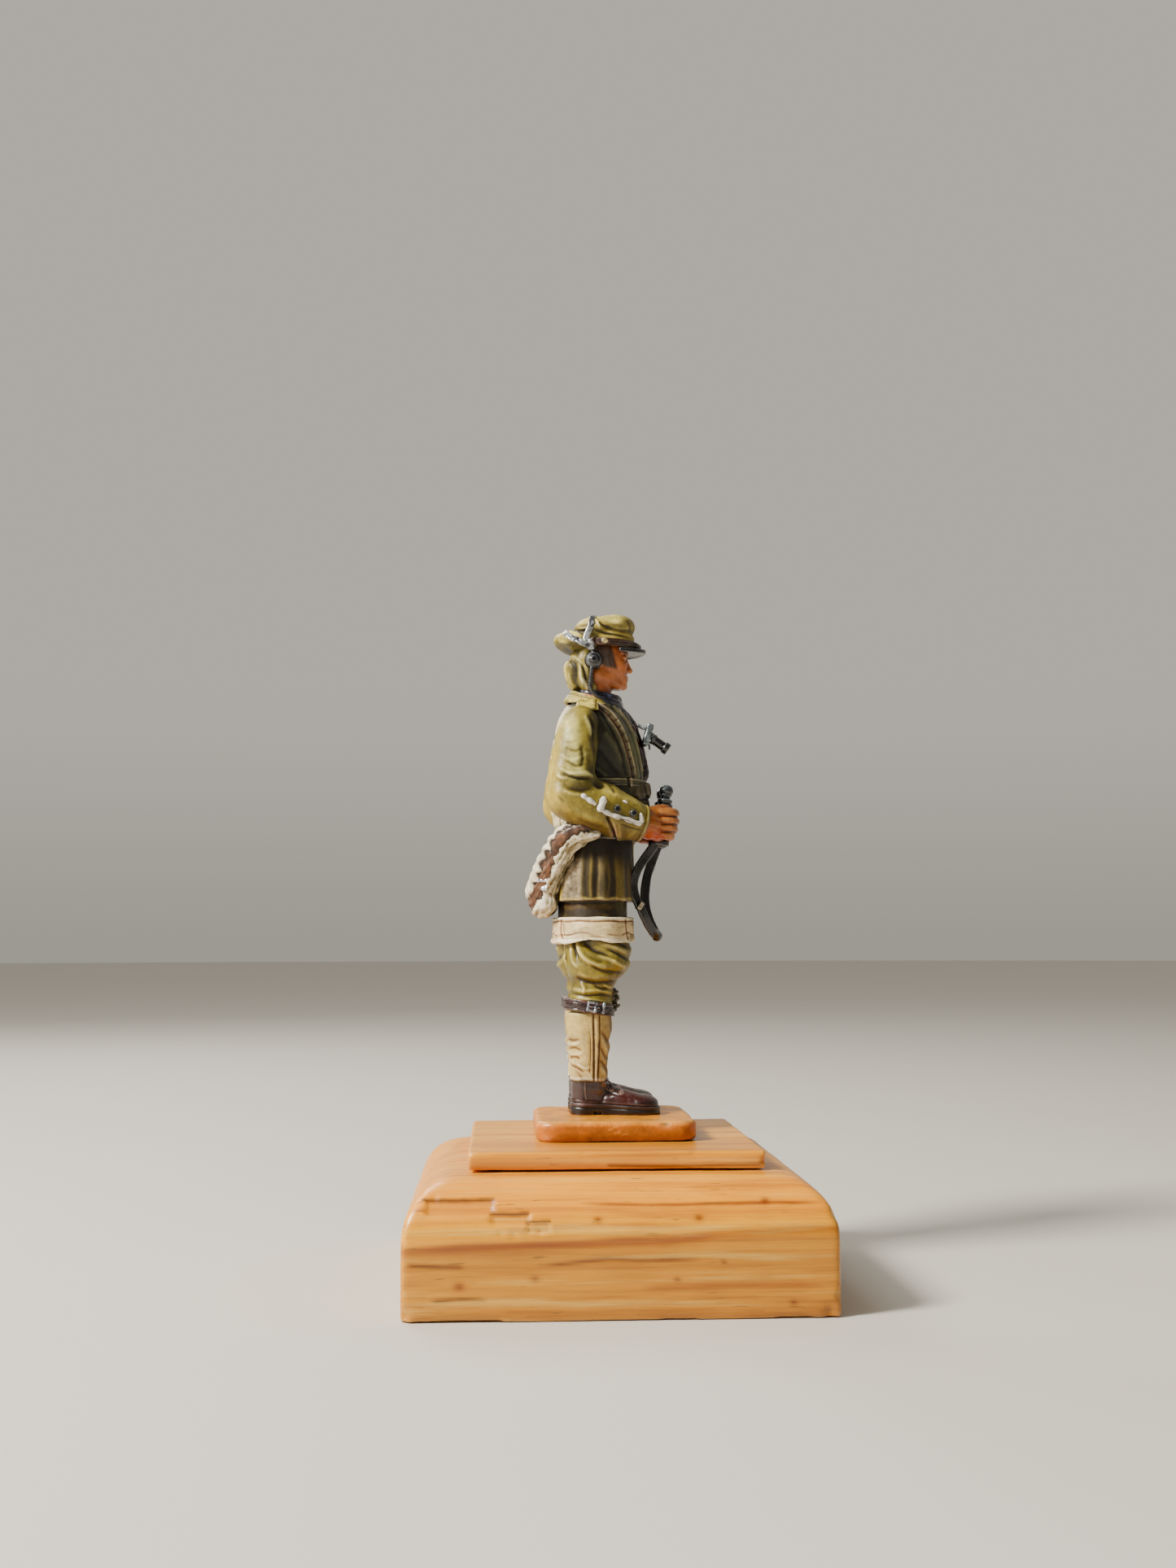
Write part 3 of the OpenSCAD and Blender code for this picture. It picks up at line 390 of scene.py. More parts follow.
def rings(V, y0, z0, seed):
    """Growth rings about a pith that runs along X, closer together further out."""
    r = np.hypot(V[:, 1] - y0 - .02 * V[:, 0], V[:, 2] - z0) + .8 * fbm(V, (34, 10, 10), seed) + .12 * fbm(V, (9, 1.5, 1.5), seed + 1)
    f = (r / (1.9 + .5 * np.sin(r * .21))) % 1.0; return ss(.35, .92, f) * ss(1.0, .94, f) * (.6 + .4 * np.sin(r * 1.3))
def lower_plinth():
    R = 7.0; g = Grid(LO, HI, 0.30); P = g.P
    def d2(a, z):
        qx, qz = np.abs(a) - (W2 - R), z - (PH - R)
        return np.sqrt(np.maximum(qx, 0) ** 2 + np.maximum(qz, 0) ** 2) - R + np.minimum(np.maximum(qx, qz), 0)
    F = smax(smax(d2(P[0], P[2]), d2(P[1], P[2]), 0.9), -P[2], 0.35) + 0.04
    slo, shi = mm("mounting_screw"); sx, sy = (slo[0] + shi[0]) / 2, (slo[1] + shi[1]) / 2; sr = (shi[0] - slo[0]) / 2
    F = np.maximum(F, -cyl(P, (sx, sy, 0), sr + 0.12, 2 * slo[2] + 0.1))
    s = Sculpt(F, g, 1); x, y, z = s.x, s.y, s.z
    s.fill(lin((228, 188, 62)))
    # growth rings: the board's bands run along X and drift in height
    u = rings(s.V, 11.0, -33.0, 3)
    s.paint(0.38 * u, lin((168, 120, 38))); s.paint(0.25 * ss(.5, .0, u) * (.5 + .5 * fbm(s.V, (20, 3, 3), 8)), lin((244, 192, 84)))
    # painted highlight on the bright rounded top, and painted shade on the darker lower band, along the edge of the
    # rounding and near the foot
    edge = 8.9 + 0.045 * x + 0.5 * fbm(s.V, (7, 7, 2), 9)
    low = ss(0.5, -0.7, z - edge)
    s.paint(0.50 * low * ss(17, 24, np.maximum(np.abs(y), np.abs(x))), lin((176, 138, 54)))
    s.paint(0.55 * np.exp(-((z - edge) / 0.5) ** 2) * (np.abs(y) > 23), lin((150, 100, 34)))
    s.paint(0.40 * ss(10.2, 12.6, z) * ss(15.9, 14.6, z), lin((240, 184, 80)))
    s.paint(0.4 * ss(3.4, 0.4, z) * (0.5 + 0.5 * fbm(s.V, (6, 6, 2), 21)), lin((150, 108, 42)))
    for sgn in (-1, 1):      # marks on the two long faces; the back ones lie differently
        f = s.y * sgn > 20; k = 1 if sgn < 0 else -1
        for pts, w, c, o in (([(-24.4, 6.4), (-21, 6.2), (-17.6, 6.1)], 0.22, (96, 56, 20), .8), ([(-9.8, 6.1), (-5, 6.5), (-1.5, 6.8), (3, 6.7), (9, 6.8)], 0.20, (110, 64, 22), .8),
                             ([(-21.6, 2.4), (-18, 2.6), (-15.2, 2.5)], 0.17, (84, 48, 18), .8), ([(-4.6, 12.8), (5, 12.6), (14, 12.7), (23.4, 12.6)], 0.16, (150, 98, 34), .8),
                             ([(-14, 10.0), (-2, 10.4), (8, 10.1)], 0.25, (176, 122, 50), .6), ([(2, 3.6), (12, 3.9), (23, 3.7)], 0.35, (160, 108, 40), .5),
                             ([(-24, 8.1), (-10, 8.5), (4, 8.6), (12, 9.6)], 0.4, (156, 104, 38), .6)):
            d, t = seg_dist(s.V, spline([(p[0] * k, p[1]) for p in pts], 30), (0, 2))
            d = d + 0.12 * fbm(s.V, (3, 3, 1), 5); s.paint(np.exp(-(d / w) ** 2) * f * np.clip(np.sin(np.pi * t) * 2.2, 0, 1) * o, lin(c))
            s._acc = getattr(s, "_acc", 0) - 0.035 * np.exp(-(d / (w * 0.8)) ** 2) * f * np.clip(np.sin(np.pi * t) * 2, 0, 1)
        for kx, kz, r in ((16.5, 12.9, .35), (-2.7, 11.1, .32), (-9.8, 4.7, .34), (8.8, 11.2, .32), (6.2, 4.5, .26), (-18.3, 4.0, .45), (19.4, 1.8, .3), (11.5, 6.4, .22)):
            d = np.hypot((s.x - kx * k) / 1.5, s.z - kz); s.paint(np.exp(-(d / r) ** 2) * f * 0.75, lin((120, 66, 20)))
            s._acc = s._acc - 0.05 * np.exp(-(d / (r * .7)) ** 2) * f
    # torn grain near the upper left of the front, and small dents
    f = s.y < -19
    def step(x0, x1, z0, z1, d):
        wob = 0.15 * fbm(s.V, (1.2, 1.2, .5), 31)
        m = ss(x0 - .1, x0 + .1, s.x + wob) * ss(x1 + .25, x1 - .1, s.x + wob) * ss(z0 - .35, z0, s.z + wob * .6) * ss(z1 + .07, z1 - .05, s.z + wob * .4) * f
        s._acc = s._acc - d * m; return m
    m1 = step(-22.2, -14.6, 11.9, 13.25, 0.22); m2 = step(-14.8, -10.5, 10.9, 11.8, 0.26); m3 = step(-10.7, -8.2, 10.0, 10.95, 0.18)
    s.paint(0.35 * (m1 + m2 + m3), lin((196, 150, 82)))
    # painted shadow: a dark line under the upper edge of each torn step and down its side
    for x0, x1, zz in ((-22.5, -14.6, 13.3), (-14.7, -10.6, 11.85), (-10.8, -8.2, 11.0)):
        d, t = seg_dist(s.V, [(x0, zz), ((x0 + x1) / 2, zz - .05), (x1, zz)], (0, 2)); d = d + .06 * fbm(s.V, (1, 1, .4), 77)
        s.paint(np.exp(-(d / .15) ** 2) * f * .8, lin((92, 56, 20)))
    d, t = seg_dist(s.V, [(-14.6, 13.2), (-14.65, 11.9)], (0, 2)); s.paint(np.exp(-(d / .13) ** 2) * f * .8, lin((110, 66, 24)))
    for px, py, pz, r, dp in ((-22.9, -22.0, 13.3, .5, .2), (-21.2, -23, 13.5, .4, .15), (-13.7, -24.9, 9.8, .3, .12), (-12.2, -24.9, 9.6, .3, .14), (-9.3, -24.9, 9.9, .35, .16), (24.6, -24.0, 11.5, .6, .35),
                              (23.6, -25, .6, .7, .35), (24.8, -25, 2.4, .5, .3), (-24.8, -25, .6, .9, .5), (-24.9, -24.9, 8.6, .4, .25), (24.9, 24.9, 1.0, .9, .45), (-24.9, 24.9, 5.0, .5, .3), (25, -6, 13.2, .4, .2), (-25, 12, 4, .5, .2)):
        d = np.sqrt((s.x - px) ** 2 + (s.y - py) ** 2 + (s.z - pz) ** 2); s._acc = s._acc - dp * np.exp(-(d / r) ** 2)
    # painted highlight on the dent in the right front edge
    d = np.sqrt((s.x - 24.7) ** 2 + (s.y + 23.6) ** 2 + (s.z - 11.4) ** 2); s.paint(np.exp(-(d / .45) ** 2) * .95, lin((246, 238, 218)))
    for x0, x1, dp in ((-24, -13, .18), (4, 9, .1), (17, 22, .12)):
        s._acc = s._acc - dp * ss(x0, x0 + 1, s.x) * ss(x1, x1 - 1, s.x) * ss(.9, .1, s.z) * (s.y < -24)
    s.flush(); s.rough(0.07, (9, 5, 3), 11, 2); s.rough(0.03, (2.2, 1.2, .7), 12, 2)
    s.V[:, 2] = np.clip(s.V[:, 2], 0.0, PH); s.V[:, 0] = np.clip(s.V[:, 0], LO[0], HI[0]); s.V[:, 1] = np.clip(s.V[:, 1], LO[1], HI[1])
    piece("plinth_lower_block", s, ["lower_plinth"], PINE, "world", sat=1.5, gam=1.38)

def upper_plinth():
    c = (ULO + UHI) / 2; h = (UHI - ULO) / 2; g = Grid(ULO, UHI, 0.22); P = g.P
    F = rbox(P, c, h - 0.02, 0.42)
    s = Sculpt(F, g, 1); s.fill(lin((226, 186, 66)))
    s.paint(.38 * rings(s.V, -15.0, -8.0, 44), lin((168, 120, 40)))
    # painted shade down the sides below the top, and a painted highlight just under the top edge
    s.paint(.25 * ss(.2, -1.2, s.z - UHI[2]) , lin((176, 118, 44)))
    s.paint(.35 * np.exp(-((s.z - UHI[2] + .3) / .25) ** 2), lin((246, 196, 100)))
    d, t = seg_dist(s.V, [(-1, ULO[2] + .5), (6, ULO[2] + .35), (17, ULO[2] + .55)], (0, 2)); s.paint(np.exp(-(d / .18) ** 2) * (s.y < -16) * .8, lin((110, 66, 24)))
    for px, py, pz, r, dp in ((17.5, -17.5, 16.6, .5, .3), (-17.6, -17.4, 17.8, .5, .15), (9, -17.6, 17.8, .5, .10), (-4, -17.6, 17.9, .5, .08), (17.6, 10, 17.8, .6, .2), (-17.6, -3, 17.8, .4, .15)):
        d = np.sqrt((s.x - px) ** 2 + (s.y - py) ** 2 + (s.z - pz) ** 2); s._acc = getattr(s, "_acc", 0) - dp * np.exp(-(d / r) ** 2)
    s.flush(); s.rough(.05, (8, 3, 2), 51, 2); s.rough(.02, (2, 1, .7), 52, 2)
    for i in range(3): s.V[:, i] = np.clip(s.V[:, i], ULO[i], UHI[i])
    piece("plinth_step", s, ["upper_plinth"], PINE2, "world", sat=1.5, gam=1.38)

OCHRE = enamel("base_ochre_enamel", rough=0.36, spec=0.42, coat=0.12, wash_and_shade=(0.5, 0.3, 0.14), edge=0.30, streak=(300, 300, 700), sk=0.12, mott=0.22, bump=0.4)
def base_plate():
    c = (BLO + BHI) / 2; h = (BHI - BLO) / 2; g = Grid(BLO, BHI, 0.16); P = g.P
    qx, qy = np.abs(P[0] - c[0]) - (h[0] - 2.6), np.abs(P[1] - c[1]) - (h[1] - 2.6)
    a = np.sqrt(np.maximum(qx, 0) ** 2 + np.maximum(qy, 0) ** 2) + np.minimum(np.maximum(qx, qy), 0) - 2.6
    b = np.abs(P[2] - c[2]) - h[2]
    F = smax(a, b, 0.75) + 0.02
    s = Sculpt(F, g, 1)
    top = ss(-.55, -.12, s.z - BHI[2])
    s.fill(lin((194, 134, 44)))
    # painted highlight: the top is painted lighter than the sides, and a bright line runs just under its rounded edge
    s.paint(top * .95, lin((216, 164, 80)))
    s.paint(.5 * ss(.1, .6, fbm(s.V, (5, 5, 3), 61)) * top, lin((230, 174, 96)))
    s.paint(.4 * ss(.0, .6, fbm(s.V, (3, 3, 1.5), 62)) * (1 - top), lin((206, 132, 50)))
    s.paint(.55 * np.exp(-((s.z - BHI[2] + .42) / .16) ** 2), lin((236, 168, 96)))
    # thin bare-paint rim of filler round the soles
    for sg in (-1, 1):
        cy = FIG[1] + sg * 3.3 * KS; d, t = seg_dist(s.V, [(FIG[0] - 3.0, cy - .1 * sg), (FIG[0] + 4.1, cy + .4 * sg)], (0, 1))
        rr = np.interp(t, [0, .5, 1], [1.75, 1.75, 2.15]); e = np.exp(-((d - rr - .25 - .12 * fbm(s.V, (1.2, 1.2, 1), 63)) / .20) ** 2) * (s.z > BHI[2] - .3)
        s.paint(e * .75, lin((222, 150, 104))); s._acc = getattr(s, "_acc", 0) + .07 * e
    d = np.sqrt((s.x - 6.6) ** 2 / 1.6 + (s.y - BLO[1]) ** 2 + ((s.z - BHI[2] + .25) * 1.3) ** 2); s._acc = s._acc - .30 * np.exp(-(d / .55) ** 2); s.paint(np.exp(-(d / .5) ** 2) * .9, lin((150, 132, 112)))
    for px, pz, ln in ((.2, 19.6, .5), (.3, 18.9, .7), (1.1, 18.7, .8), (-.4, 19.3, .4)):
        d, t = seg_dist(s.V, [(px, pz), (px + ln, pz + .15)], (0, 2)); s._acc = s._acc + .06 * np.exp(-(d / .12) ** 2) * (s.y < c[1]); s.paint(.5 * np.exp(-(d / .12) ** 2) * (s.y < c[1]), lin((236, 176, 104)))
    s.flush(); s.rough(.12, (4, 4, 2.2), 65, 2); s.rough(.035, (.9, .9, .7), 66, 2)
    for i in range(3): s.V[:, i] = np.clip(s.V[:, i], BLO[i] - .1, BHI[i])
    piece("cast_base_plate", s, ["base_plate"], OCHRE, "world", sat=1.16, gam=1.38)

# ================================================================ legs
BOOT = enamel("boot_burgundy_enamel", rough=0.30, spec=0.55, coat=0.55, wash_and_shade=(0.22, 0.16, 0.16), edge=0.30, edgec=(0.55, 0.33, 0.28), sk=0.10, mott=0.16, bump=0.22)
SOLE = enamel("sole_enamel", rough=0.36, spec=0.5, coat=0.35, wash_and_shade=(0.2, 0.15, 0.15), edge=0.35, edgec=(0.42, 0.30, 0.28), sk=0.1)
GAIT = enamel("gaiter_cream_enamel", rough=0.55, spec=0.35, wash_and_shade=(0.40, 0.26, 0.13), wash_and_shade_k=0.95, edge=0.45, edgec=(1, 0.94, 0.76), streak=(700, 700, 200), sk=0.12)
STRAP = enamel("strap_leather_enamel", rough=0.32, spec=0.55, coat=0.4, wash_and_shade=(0.25, 0.15, 0.12), edge=0.45, edgec=(0.62, 0.34, 0.30), sk=0.12)
SILV = enamel("silver_enamel", rough=0.28, spec=0.6, metal=0.75, wash_and_shade=(0.25, 0.25, 0.27), edge=0.5, edgec=(1, 1, 1), sk=0.1)
BREECH = enamel("breeches_khaki_enamel", rough=0.42, spec=0.45, coat=0.12, wash_and_shade=(0.26, 0.20, 0.10), wash_and_shade_k=1.0, edge=0.5, edgec=(1.0, 0.93, 0.66), sk=0.16)
TH = math.radians(4)
def foot_place(V, sg):
    """Boots are made toe-forward on the right foot; the left one is mirrored."""
    x, y, z = V.T; y = y * (1 if sg < 0 else -1); a = TH * sg
    return np.stack([x * math.cos(a) - y * math.sin(a), x * math.sin(a) + y * math.cos(a) + sg * 3.3, z], 1)
def plan(P, grow=0):
    ax, bx = -3.2, 4.05; t = np.clip((P[0] - ax) / (bx - ax), 0, 1); r = 1.75 - .28 * np.sin(np.pi * np.clip(t * 1.35, 0, 1)) + .38 * ss(.35, 1, t)
    return np.sqrt((P[0] - ax - t * (bx - ax)) ** 2 + (P[1] - .1 * t) ** 2) - r - grow
def finish_side(s, sg, name, nodes, mat):
    s.V = foot_place(s.V, sg)
    if sg > 0: s.Q = s.Q[:, ::-1]
    s.N = norms(s.V, s.Q); piece(name, s, nodes, mat)
def boot(sg):
    # painted shade: every colour of the left boot, which stands behind, is darkened by this factor
    nm = "right" if sg < 0 else "left"; far_boot_shade = 1.0 if sg < 0 else .72
    g = Grid((-5.4, -2.8, 0.5), (6.6, 2.8, 5.4), 0.105); P = g.P
    upper = smin(ell(P, (3.75, .1, 1.3), (2.42, 2.12, 1.24)), ell(P, (1.2, 0, 1.6), (2.9, 1.86, 1.42)), .5)
    upper = smin(upper, cap(P, (-1.4, 0, 3.1), (3.0, .05, 1.75), 1.05, .62), .5)
    upper = smin(upper, ell(P, (-3.1, 0, 1.9), (2.1, 1.78, 2.6)), .6)
    ank = loft(P, [(1.4, -2.9, 0, 2.2, 1.7), (2.6, -2.85, 0, 2.3, 1.85), (3.6, -2.8, 0, 2.4, 2.1), (4.55, -2.75, 0, 2.6, 2.4)], k=.3)
    upper = smin(upper, ank, .5)
    upper = smax(upper, plan(P, .05), .3)
    solez = 1.55 - .055 * (P[0] + 5)
    F = smax(upper, -(P[2] - solez), .10)
    s = Sculpt(F, g); s.fill(lin((82, 44, 38)) * far_boot_shade)
    # heel seam, toe-cap welt, lace flap, creases over the ball, ankle trim
    for side in (-1, 1):
        s.stroke([(-3.3, 4.3), (-3.35, 3.2), (-3.2, 2.0)], .12, -.09, side, False); s.stroke([(-3.08, 4.3), (-3.12, 3.2), (-2.98, 2.0)], .11, .07, side, False)
        s.stroke([(-1.0, 4.4), (-.4, 3.4), (.9, 2.75), (2.3, 2.35)], .16, .07, side, False); s.stroke([(-1.2, 4.2), (-.6, 3.15), (.8, 2.5), (2.3, 2.1)], .13, -.06, side, False)
        s.stroke([(2.6, 2.7), (2.9, 2.1), (3.2, 1.5)], .25, -.05, side); s.stroke([(1.9, 2.6), (2.1, 2.0), (2.3, 1.6)], .25, -.05, side)
        s.stroke([(-.2, 2.9), (.1, 2.2)], .3, -.06, side)
    s.stroke([(-5.3, 4.35), (-3, 4.3), (-1, 4.45), (0, 4.3)], .16, .10, None, False)
    d = np.abs(s.z - (1.55 - .055 * (s.x + 5)) - .22); s._acc = s._acc + .08 * np.exp(-(d / .12) ** 2)
    s.flush(); s.rough(.05, (1.6, 1.6, 1.1), 71 + sg, 2)
    s.paint(.55 * ss(.2, .9, fbm(s.V, (2.4, 2.4, 1.4), 73)), lin((104, 58, 50)) * far_boot_shade)
    # painted shade along the welt above the sole and a painted highlight on the ball of the foot
    s.paint(.5 * np.exp(-((s.z - 1.45) / .3) ** 2), lin((52, 26, 24)) * far_boot_shade)
    s.paint(.5 * np.exp(-(np.hypot(s.x - 2.2, s.z - 1.9) / 1.1) ** 2), lin((118, 68, 60)) * far_boot_shade)
    for side in (-1, 1):
        for ex, ez in ((-.75, 3.75), (.25, 3.15), (1.45, 2.78), (-1.35, 2.9)):
            r = np.hypot(s.x - ex, s.z - ez); m = np.exp(-((r - .17) / .09) ** 2) * (s.N[:, 1] * side > .1) * (1 if ex > -1 else .4)
            s.paint(m * .8, lin((188, 164, 156)) * far_boot_shade); s._acc = s._acc + .05 * m; s.paint(np.exp(-(r / .09) ** 2) * (s.N[:, 1] * side > .1) * .8, lin((40, 22, 20)))
    s.flush()
    finish_side(s, sg, nm + "_boot_upper", [nm + "_boot"], BOOT)
    g = Grid((-5.6, -2.8, 0), (6.8, 2.8, 2.0), 0.10); P = g.P
    solez = 1.60 - .055 * (P[0] + 5)
    F = smax(smax(plan(P, .22), P[2] - solez, .22), -P[2], .12)
    arch = smax(np.abs(P[0] + 1.55) - .5, P[2] - .42, .2); F = smax(F, -arch, .15)
    s = Sculpt(F, g); s.fill(lin((46, 26, 26)) * far_boot_shade)
    d = np.abs(s.z - (1.0 - .035 * (s.x + 5))); s._acc = -.10 * np.exp(-(d / .09) ** 2); s.flush(); s.rough(.04, (1.4, 1.4, .8), 75, 2)
    # painted highlights along the top edge of the sole and on the heel
    s.paint(.5 * np.exp(-((s.z - 1.42 + .055 * (s.x + 5)) / .14) ** 2), lin((92, 62, 58)) * far_boot_shade)
    s.paint(.6 * np.exp(-(np.hypot((s.x + 3.6) / 1.4, (s.z - 1.35) / .2)) ** 2), lin((150, 128, 130)))
    s.V[:, 2] = np.maximum(s.V[:, 2], 0); finish_side(s, sg, nm + "_boot_sole_sculpt", [nm + "_boot_sole"], SOLE)
def laces():
    for sg in (-1, 1):
        g = Grid((-2.2, -1.6, 2.0), (3.2, 1.6, 5.2), 0.09); P = g.P; F = None
        for i in range(4):
            x0 = -1.35 + i * .95; z0 = 4.25 - i * .52 - .03 * i
            for a, b in (((x0, -.72, z0), (x0 + .75, .72, z0 - .33)), ((x0, .72, z0), (x0 + .75, -.72, z0 - .33))):
                m = ((a[0] + b[0]) / 2, 0, (a[2] + b[2]) / 2 + .20); d = smin(cap(P, a, m, .17), cap(P, m, b, .17), .1); F = d if F is None else np.minimum(F, d)
        F = smin(F, ell(P, (-1.55, 0, 4.35), (.28, .5, .3)), .1)
        # painted highlight on the upward-facing tops of the laces
        s = Sculpt(F, g, 1); s.fill(lin((58, 34, 30))); s.rough(.03, .5, 77, 2); s.paint(.5 * ss(0, .6, s.N[:, 2]), lin((120, 88, 76)))
        finish_side(s, sg, ("right" if sg < 0 else "left") + "_boot_laces", ["boot_laces"], SOLE)
def gaiter(sg):
    nm = "right" if sg < 0 else "left"; yc = sg * 3.3
    g = Grid((-6.2, yc - 3.4, 4.0), (1.2, yc + 3.4, 13.2), 0.12); P = g.P
    F = loft(P, [(4.1, -2.72, yc, 2.42, 2.28), (5.0, -2.7, yc, 2.38, 2.22), (6.5, -2.68, yc, 2.42, 2.25), (8.5, -2.7, yc, 2.62, 2.42), (10.8, -2.7, yc, 2.82, 2.62), (12.9, -2.68, yc, 2.86, 2.68)], n=2.15, k=.35)
    s = Sculpt(F, g); s.fill(lin((204, 186, 132)))
    a = 1 if sg < 0 else -1
    for side in (-1, 1):
        o = 0 if side == sg else .9
        if side == sg or True:      # buttoned seam down the outer side, plain seam inside
            xs = -2.25 + o; k = 1.0 if side == sg else .5
            s.stroke([(xs, 12.6), (xs + .08, 9), (xs + .1, 4.4)], .13, -.12 * k, side, False, lin((112, 74, 44)), .11)
            s.stroke([(xs + .42, 12.6), (xs + .50, 9), (xs + .38, 4.4)], .15, .11 * k, side, False)
            s.stroke([(xs + .80, 12.6), (xs + .84, 9), (xs + .62, 4.4)], .12, -.11 * k, side, False, lin((126, 86, 52)), .09)
            s.stroke([(xs - .22, 12.6), (xs - .14, 9), (xs - .1, 4.4)], .12, .06 * k, side, False)
            s.stroke([(xs - .45, 10.5), (xs - .32, 8), (xs - .5, 5.0)], .09, -.06 * k, side, True, lin((150, 112, 70)), .07)
        # creases that gather at the ankle and behind the knee, with painted shade in each crease and painted highlight
        # on each ridge
        for p, w, am, c in (([(-5.7, 9.7), (-4.9, 9.35), (-4.0, 9.5)], .22, -.16, 1), ([(-5.7, 9.1), (-4.9, 8.85), (-3.9, 9.05)], .25, .12, 0), ([(-5.5, 8.2), (-4.6, 8.45), (-3.7, 8.1)], .22, -.14, 1),
                            ([(-5.4, 7.7), (-4.4, 7.55), (-3.6, 7.8)], .26, .12, 0), ([(-5.4, 7.1), (-4.5, 7.3), (-3.9, 7.0)], .2, -.15, 1), ([(-5.3, 6.9), (-4.2, 6.35), (-3.3, 5.85), (-2.6, 6.0)], .20, .17, 0),
                            ([(-5.2, 6.3), (-4.3, 5.9), (-3.5, 5.4)], .2, -.14, 1), ([(-4.4, 5.6), (-3.9, 4.9), (-3.5, 4.4)], .22, -.10, 1), ([(-3.2, 5.6), (-2.6, 4.9), (-2.4, 4.4)], .2, .10, 0),
                            ([(-1.3, 10.6), (-.5, 9.6), (-.1, 8.9)], .28, -.14, 1), ([(-1.1, 9.6), (-.6, 8.4), (-.2, 7.6)], .25, .10, 0), ([(-1.4, 8.7), (-.8, 7.6), (-.4, 6.9)], .22, -.12, 1),
                            ([(-1.5, 7.0), (-.8, 6.3), (-.4, 5.4)], .24, -.12, 1), ([(-1.4, 6.0), (-.8, 5.3), (-.4, 4.7)], .22, .10, 0), ([(-.5, 12), (-.15, 10.8), (0, 9.8)], .3, .10, 0)):
            p = [(x + (0 if side == sg else .35), z + (0 if side == sg else .3)) for x, z in p]
            s.stroke(p, w, am * 1.05, side, True, lin((150, 112, 66)) if c else lin((232, 222, 186)), w * .8, op=.75 if c else .6)
    s.flush(); s.rough(.06, (1.4, 1.4, 1.1), 81 + sg, 3)
    s.paint(.35 * ss(-.1, .7, fbm(s.V, (2.2, 2.2, 2.8), 83 + sg)), lin((228, 216, 178)))
    s.paint(.45 * ss(.05, .7, fbm(s.V, (1.8, 1.8, 3.2), 85 + sg)), lin((172, 150, 98)))
    # painted shade on the front faces, a painted highlight along the lower edge and painted shade below it
    s.paint(.6 * ss(.7, 1.0, s.N[:, 0]) , lin((118, 98, 58)))
    edge = 4.35 + .22 * fbm(s.V, (1.1, 1.1, 5), 87); s.paint(.8 * np.exp(-((s.z - edge - .2) / .16) ** 2), lin((230, 220, 200))); s.paint(.9 * ss(edge + .12, edge - .1, s.z), lin((70, 42, 34)))
    piece(nm + "_gaiter_sculpt", s, [nm + "_gaiter"], GAIT)
def garter(sg):
    nm = "right" if sg < 0 else "left"; yc = sg * 3.3
    g = Grid((-6.4, yc - 3.6, 11.8), (1.4, yc + 3.6, 15.4), 0.11); P = g.P
    tilt = .16 * (P[0] + 2.7); z = P[2] + tilt - 13.55
    a = np.sqrt(((P[0] + 2.68) / 1.03) ** 2 + ((P[1] - yc) / .96) ** 2) - 2.95
    F = smax(np.abs(a) - .27, np.abs(z) - .74, .22)
    s = Sculpt(F, g); s.fill(lin((66, 28, 27)))
    zz = s.z + .16 * (s.x + 2.7) - 13.55
    s._acc = -.07 * np.exp(-((np.abs(zz) - .42) / .10) ** 2) + .05 * np.exp(-((np.abs(zz) - .62) / .10) ** 2); s.flush()
    s.rough(.10, (1.0, 1.0, .7), 91 + sg, 3)
    s.paint(.5 * ss(.1, .6, fbm(s.V, (.9, .9, .35), 93)), lin((140, 78, 72))); s.paint(.6 * ss(.15, .7, -fbm(s.V, (1.4, 1.4, .4), 95)), lin((44, 18, 18)))
    piece(nm + "_garter_sculpt", s, [nm + "_garter_strap"], STRAP)
    # buckle: a bent frame with its tongue and keeper
    yo = yc + sg * 2.92; R = rotm(0, 9, 0)
    g = Grid((-4.0, yo - .9, 12.2), (.6, yo + .9, 15.0), 0.075); P = g.P; c = (-2.45, yo, 13.62)
    F = smax(rbox(P, c, (.70, .32, .74), .22, R), -rbox(P, c, (.34, .6, .36), .12, R), .1)
    F = np.minimum(F, rbox(P, (-2.2, yo + sg * .12, 13.6), (.75, .14, .10), .08, R))
    F = np.minimum(F, rbox(P, (-.95, yo - sg * .20, 13.45), (.18, .30, .74), .14, R))
    s = Sculpt(F, g, 1); s.rough(.12, .6, 97, 2); s.fill(lin((186, 194, 204))); s.paint(.8 * ss(.0, .4, fbm(s.V, .5, 98)), lin((84, 72, 76)))
    piece(nm + "_garter_buckle", s, ["garter_buckles"], SILV)
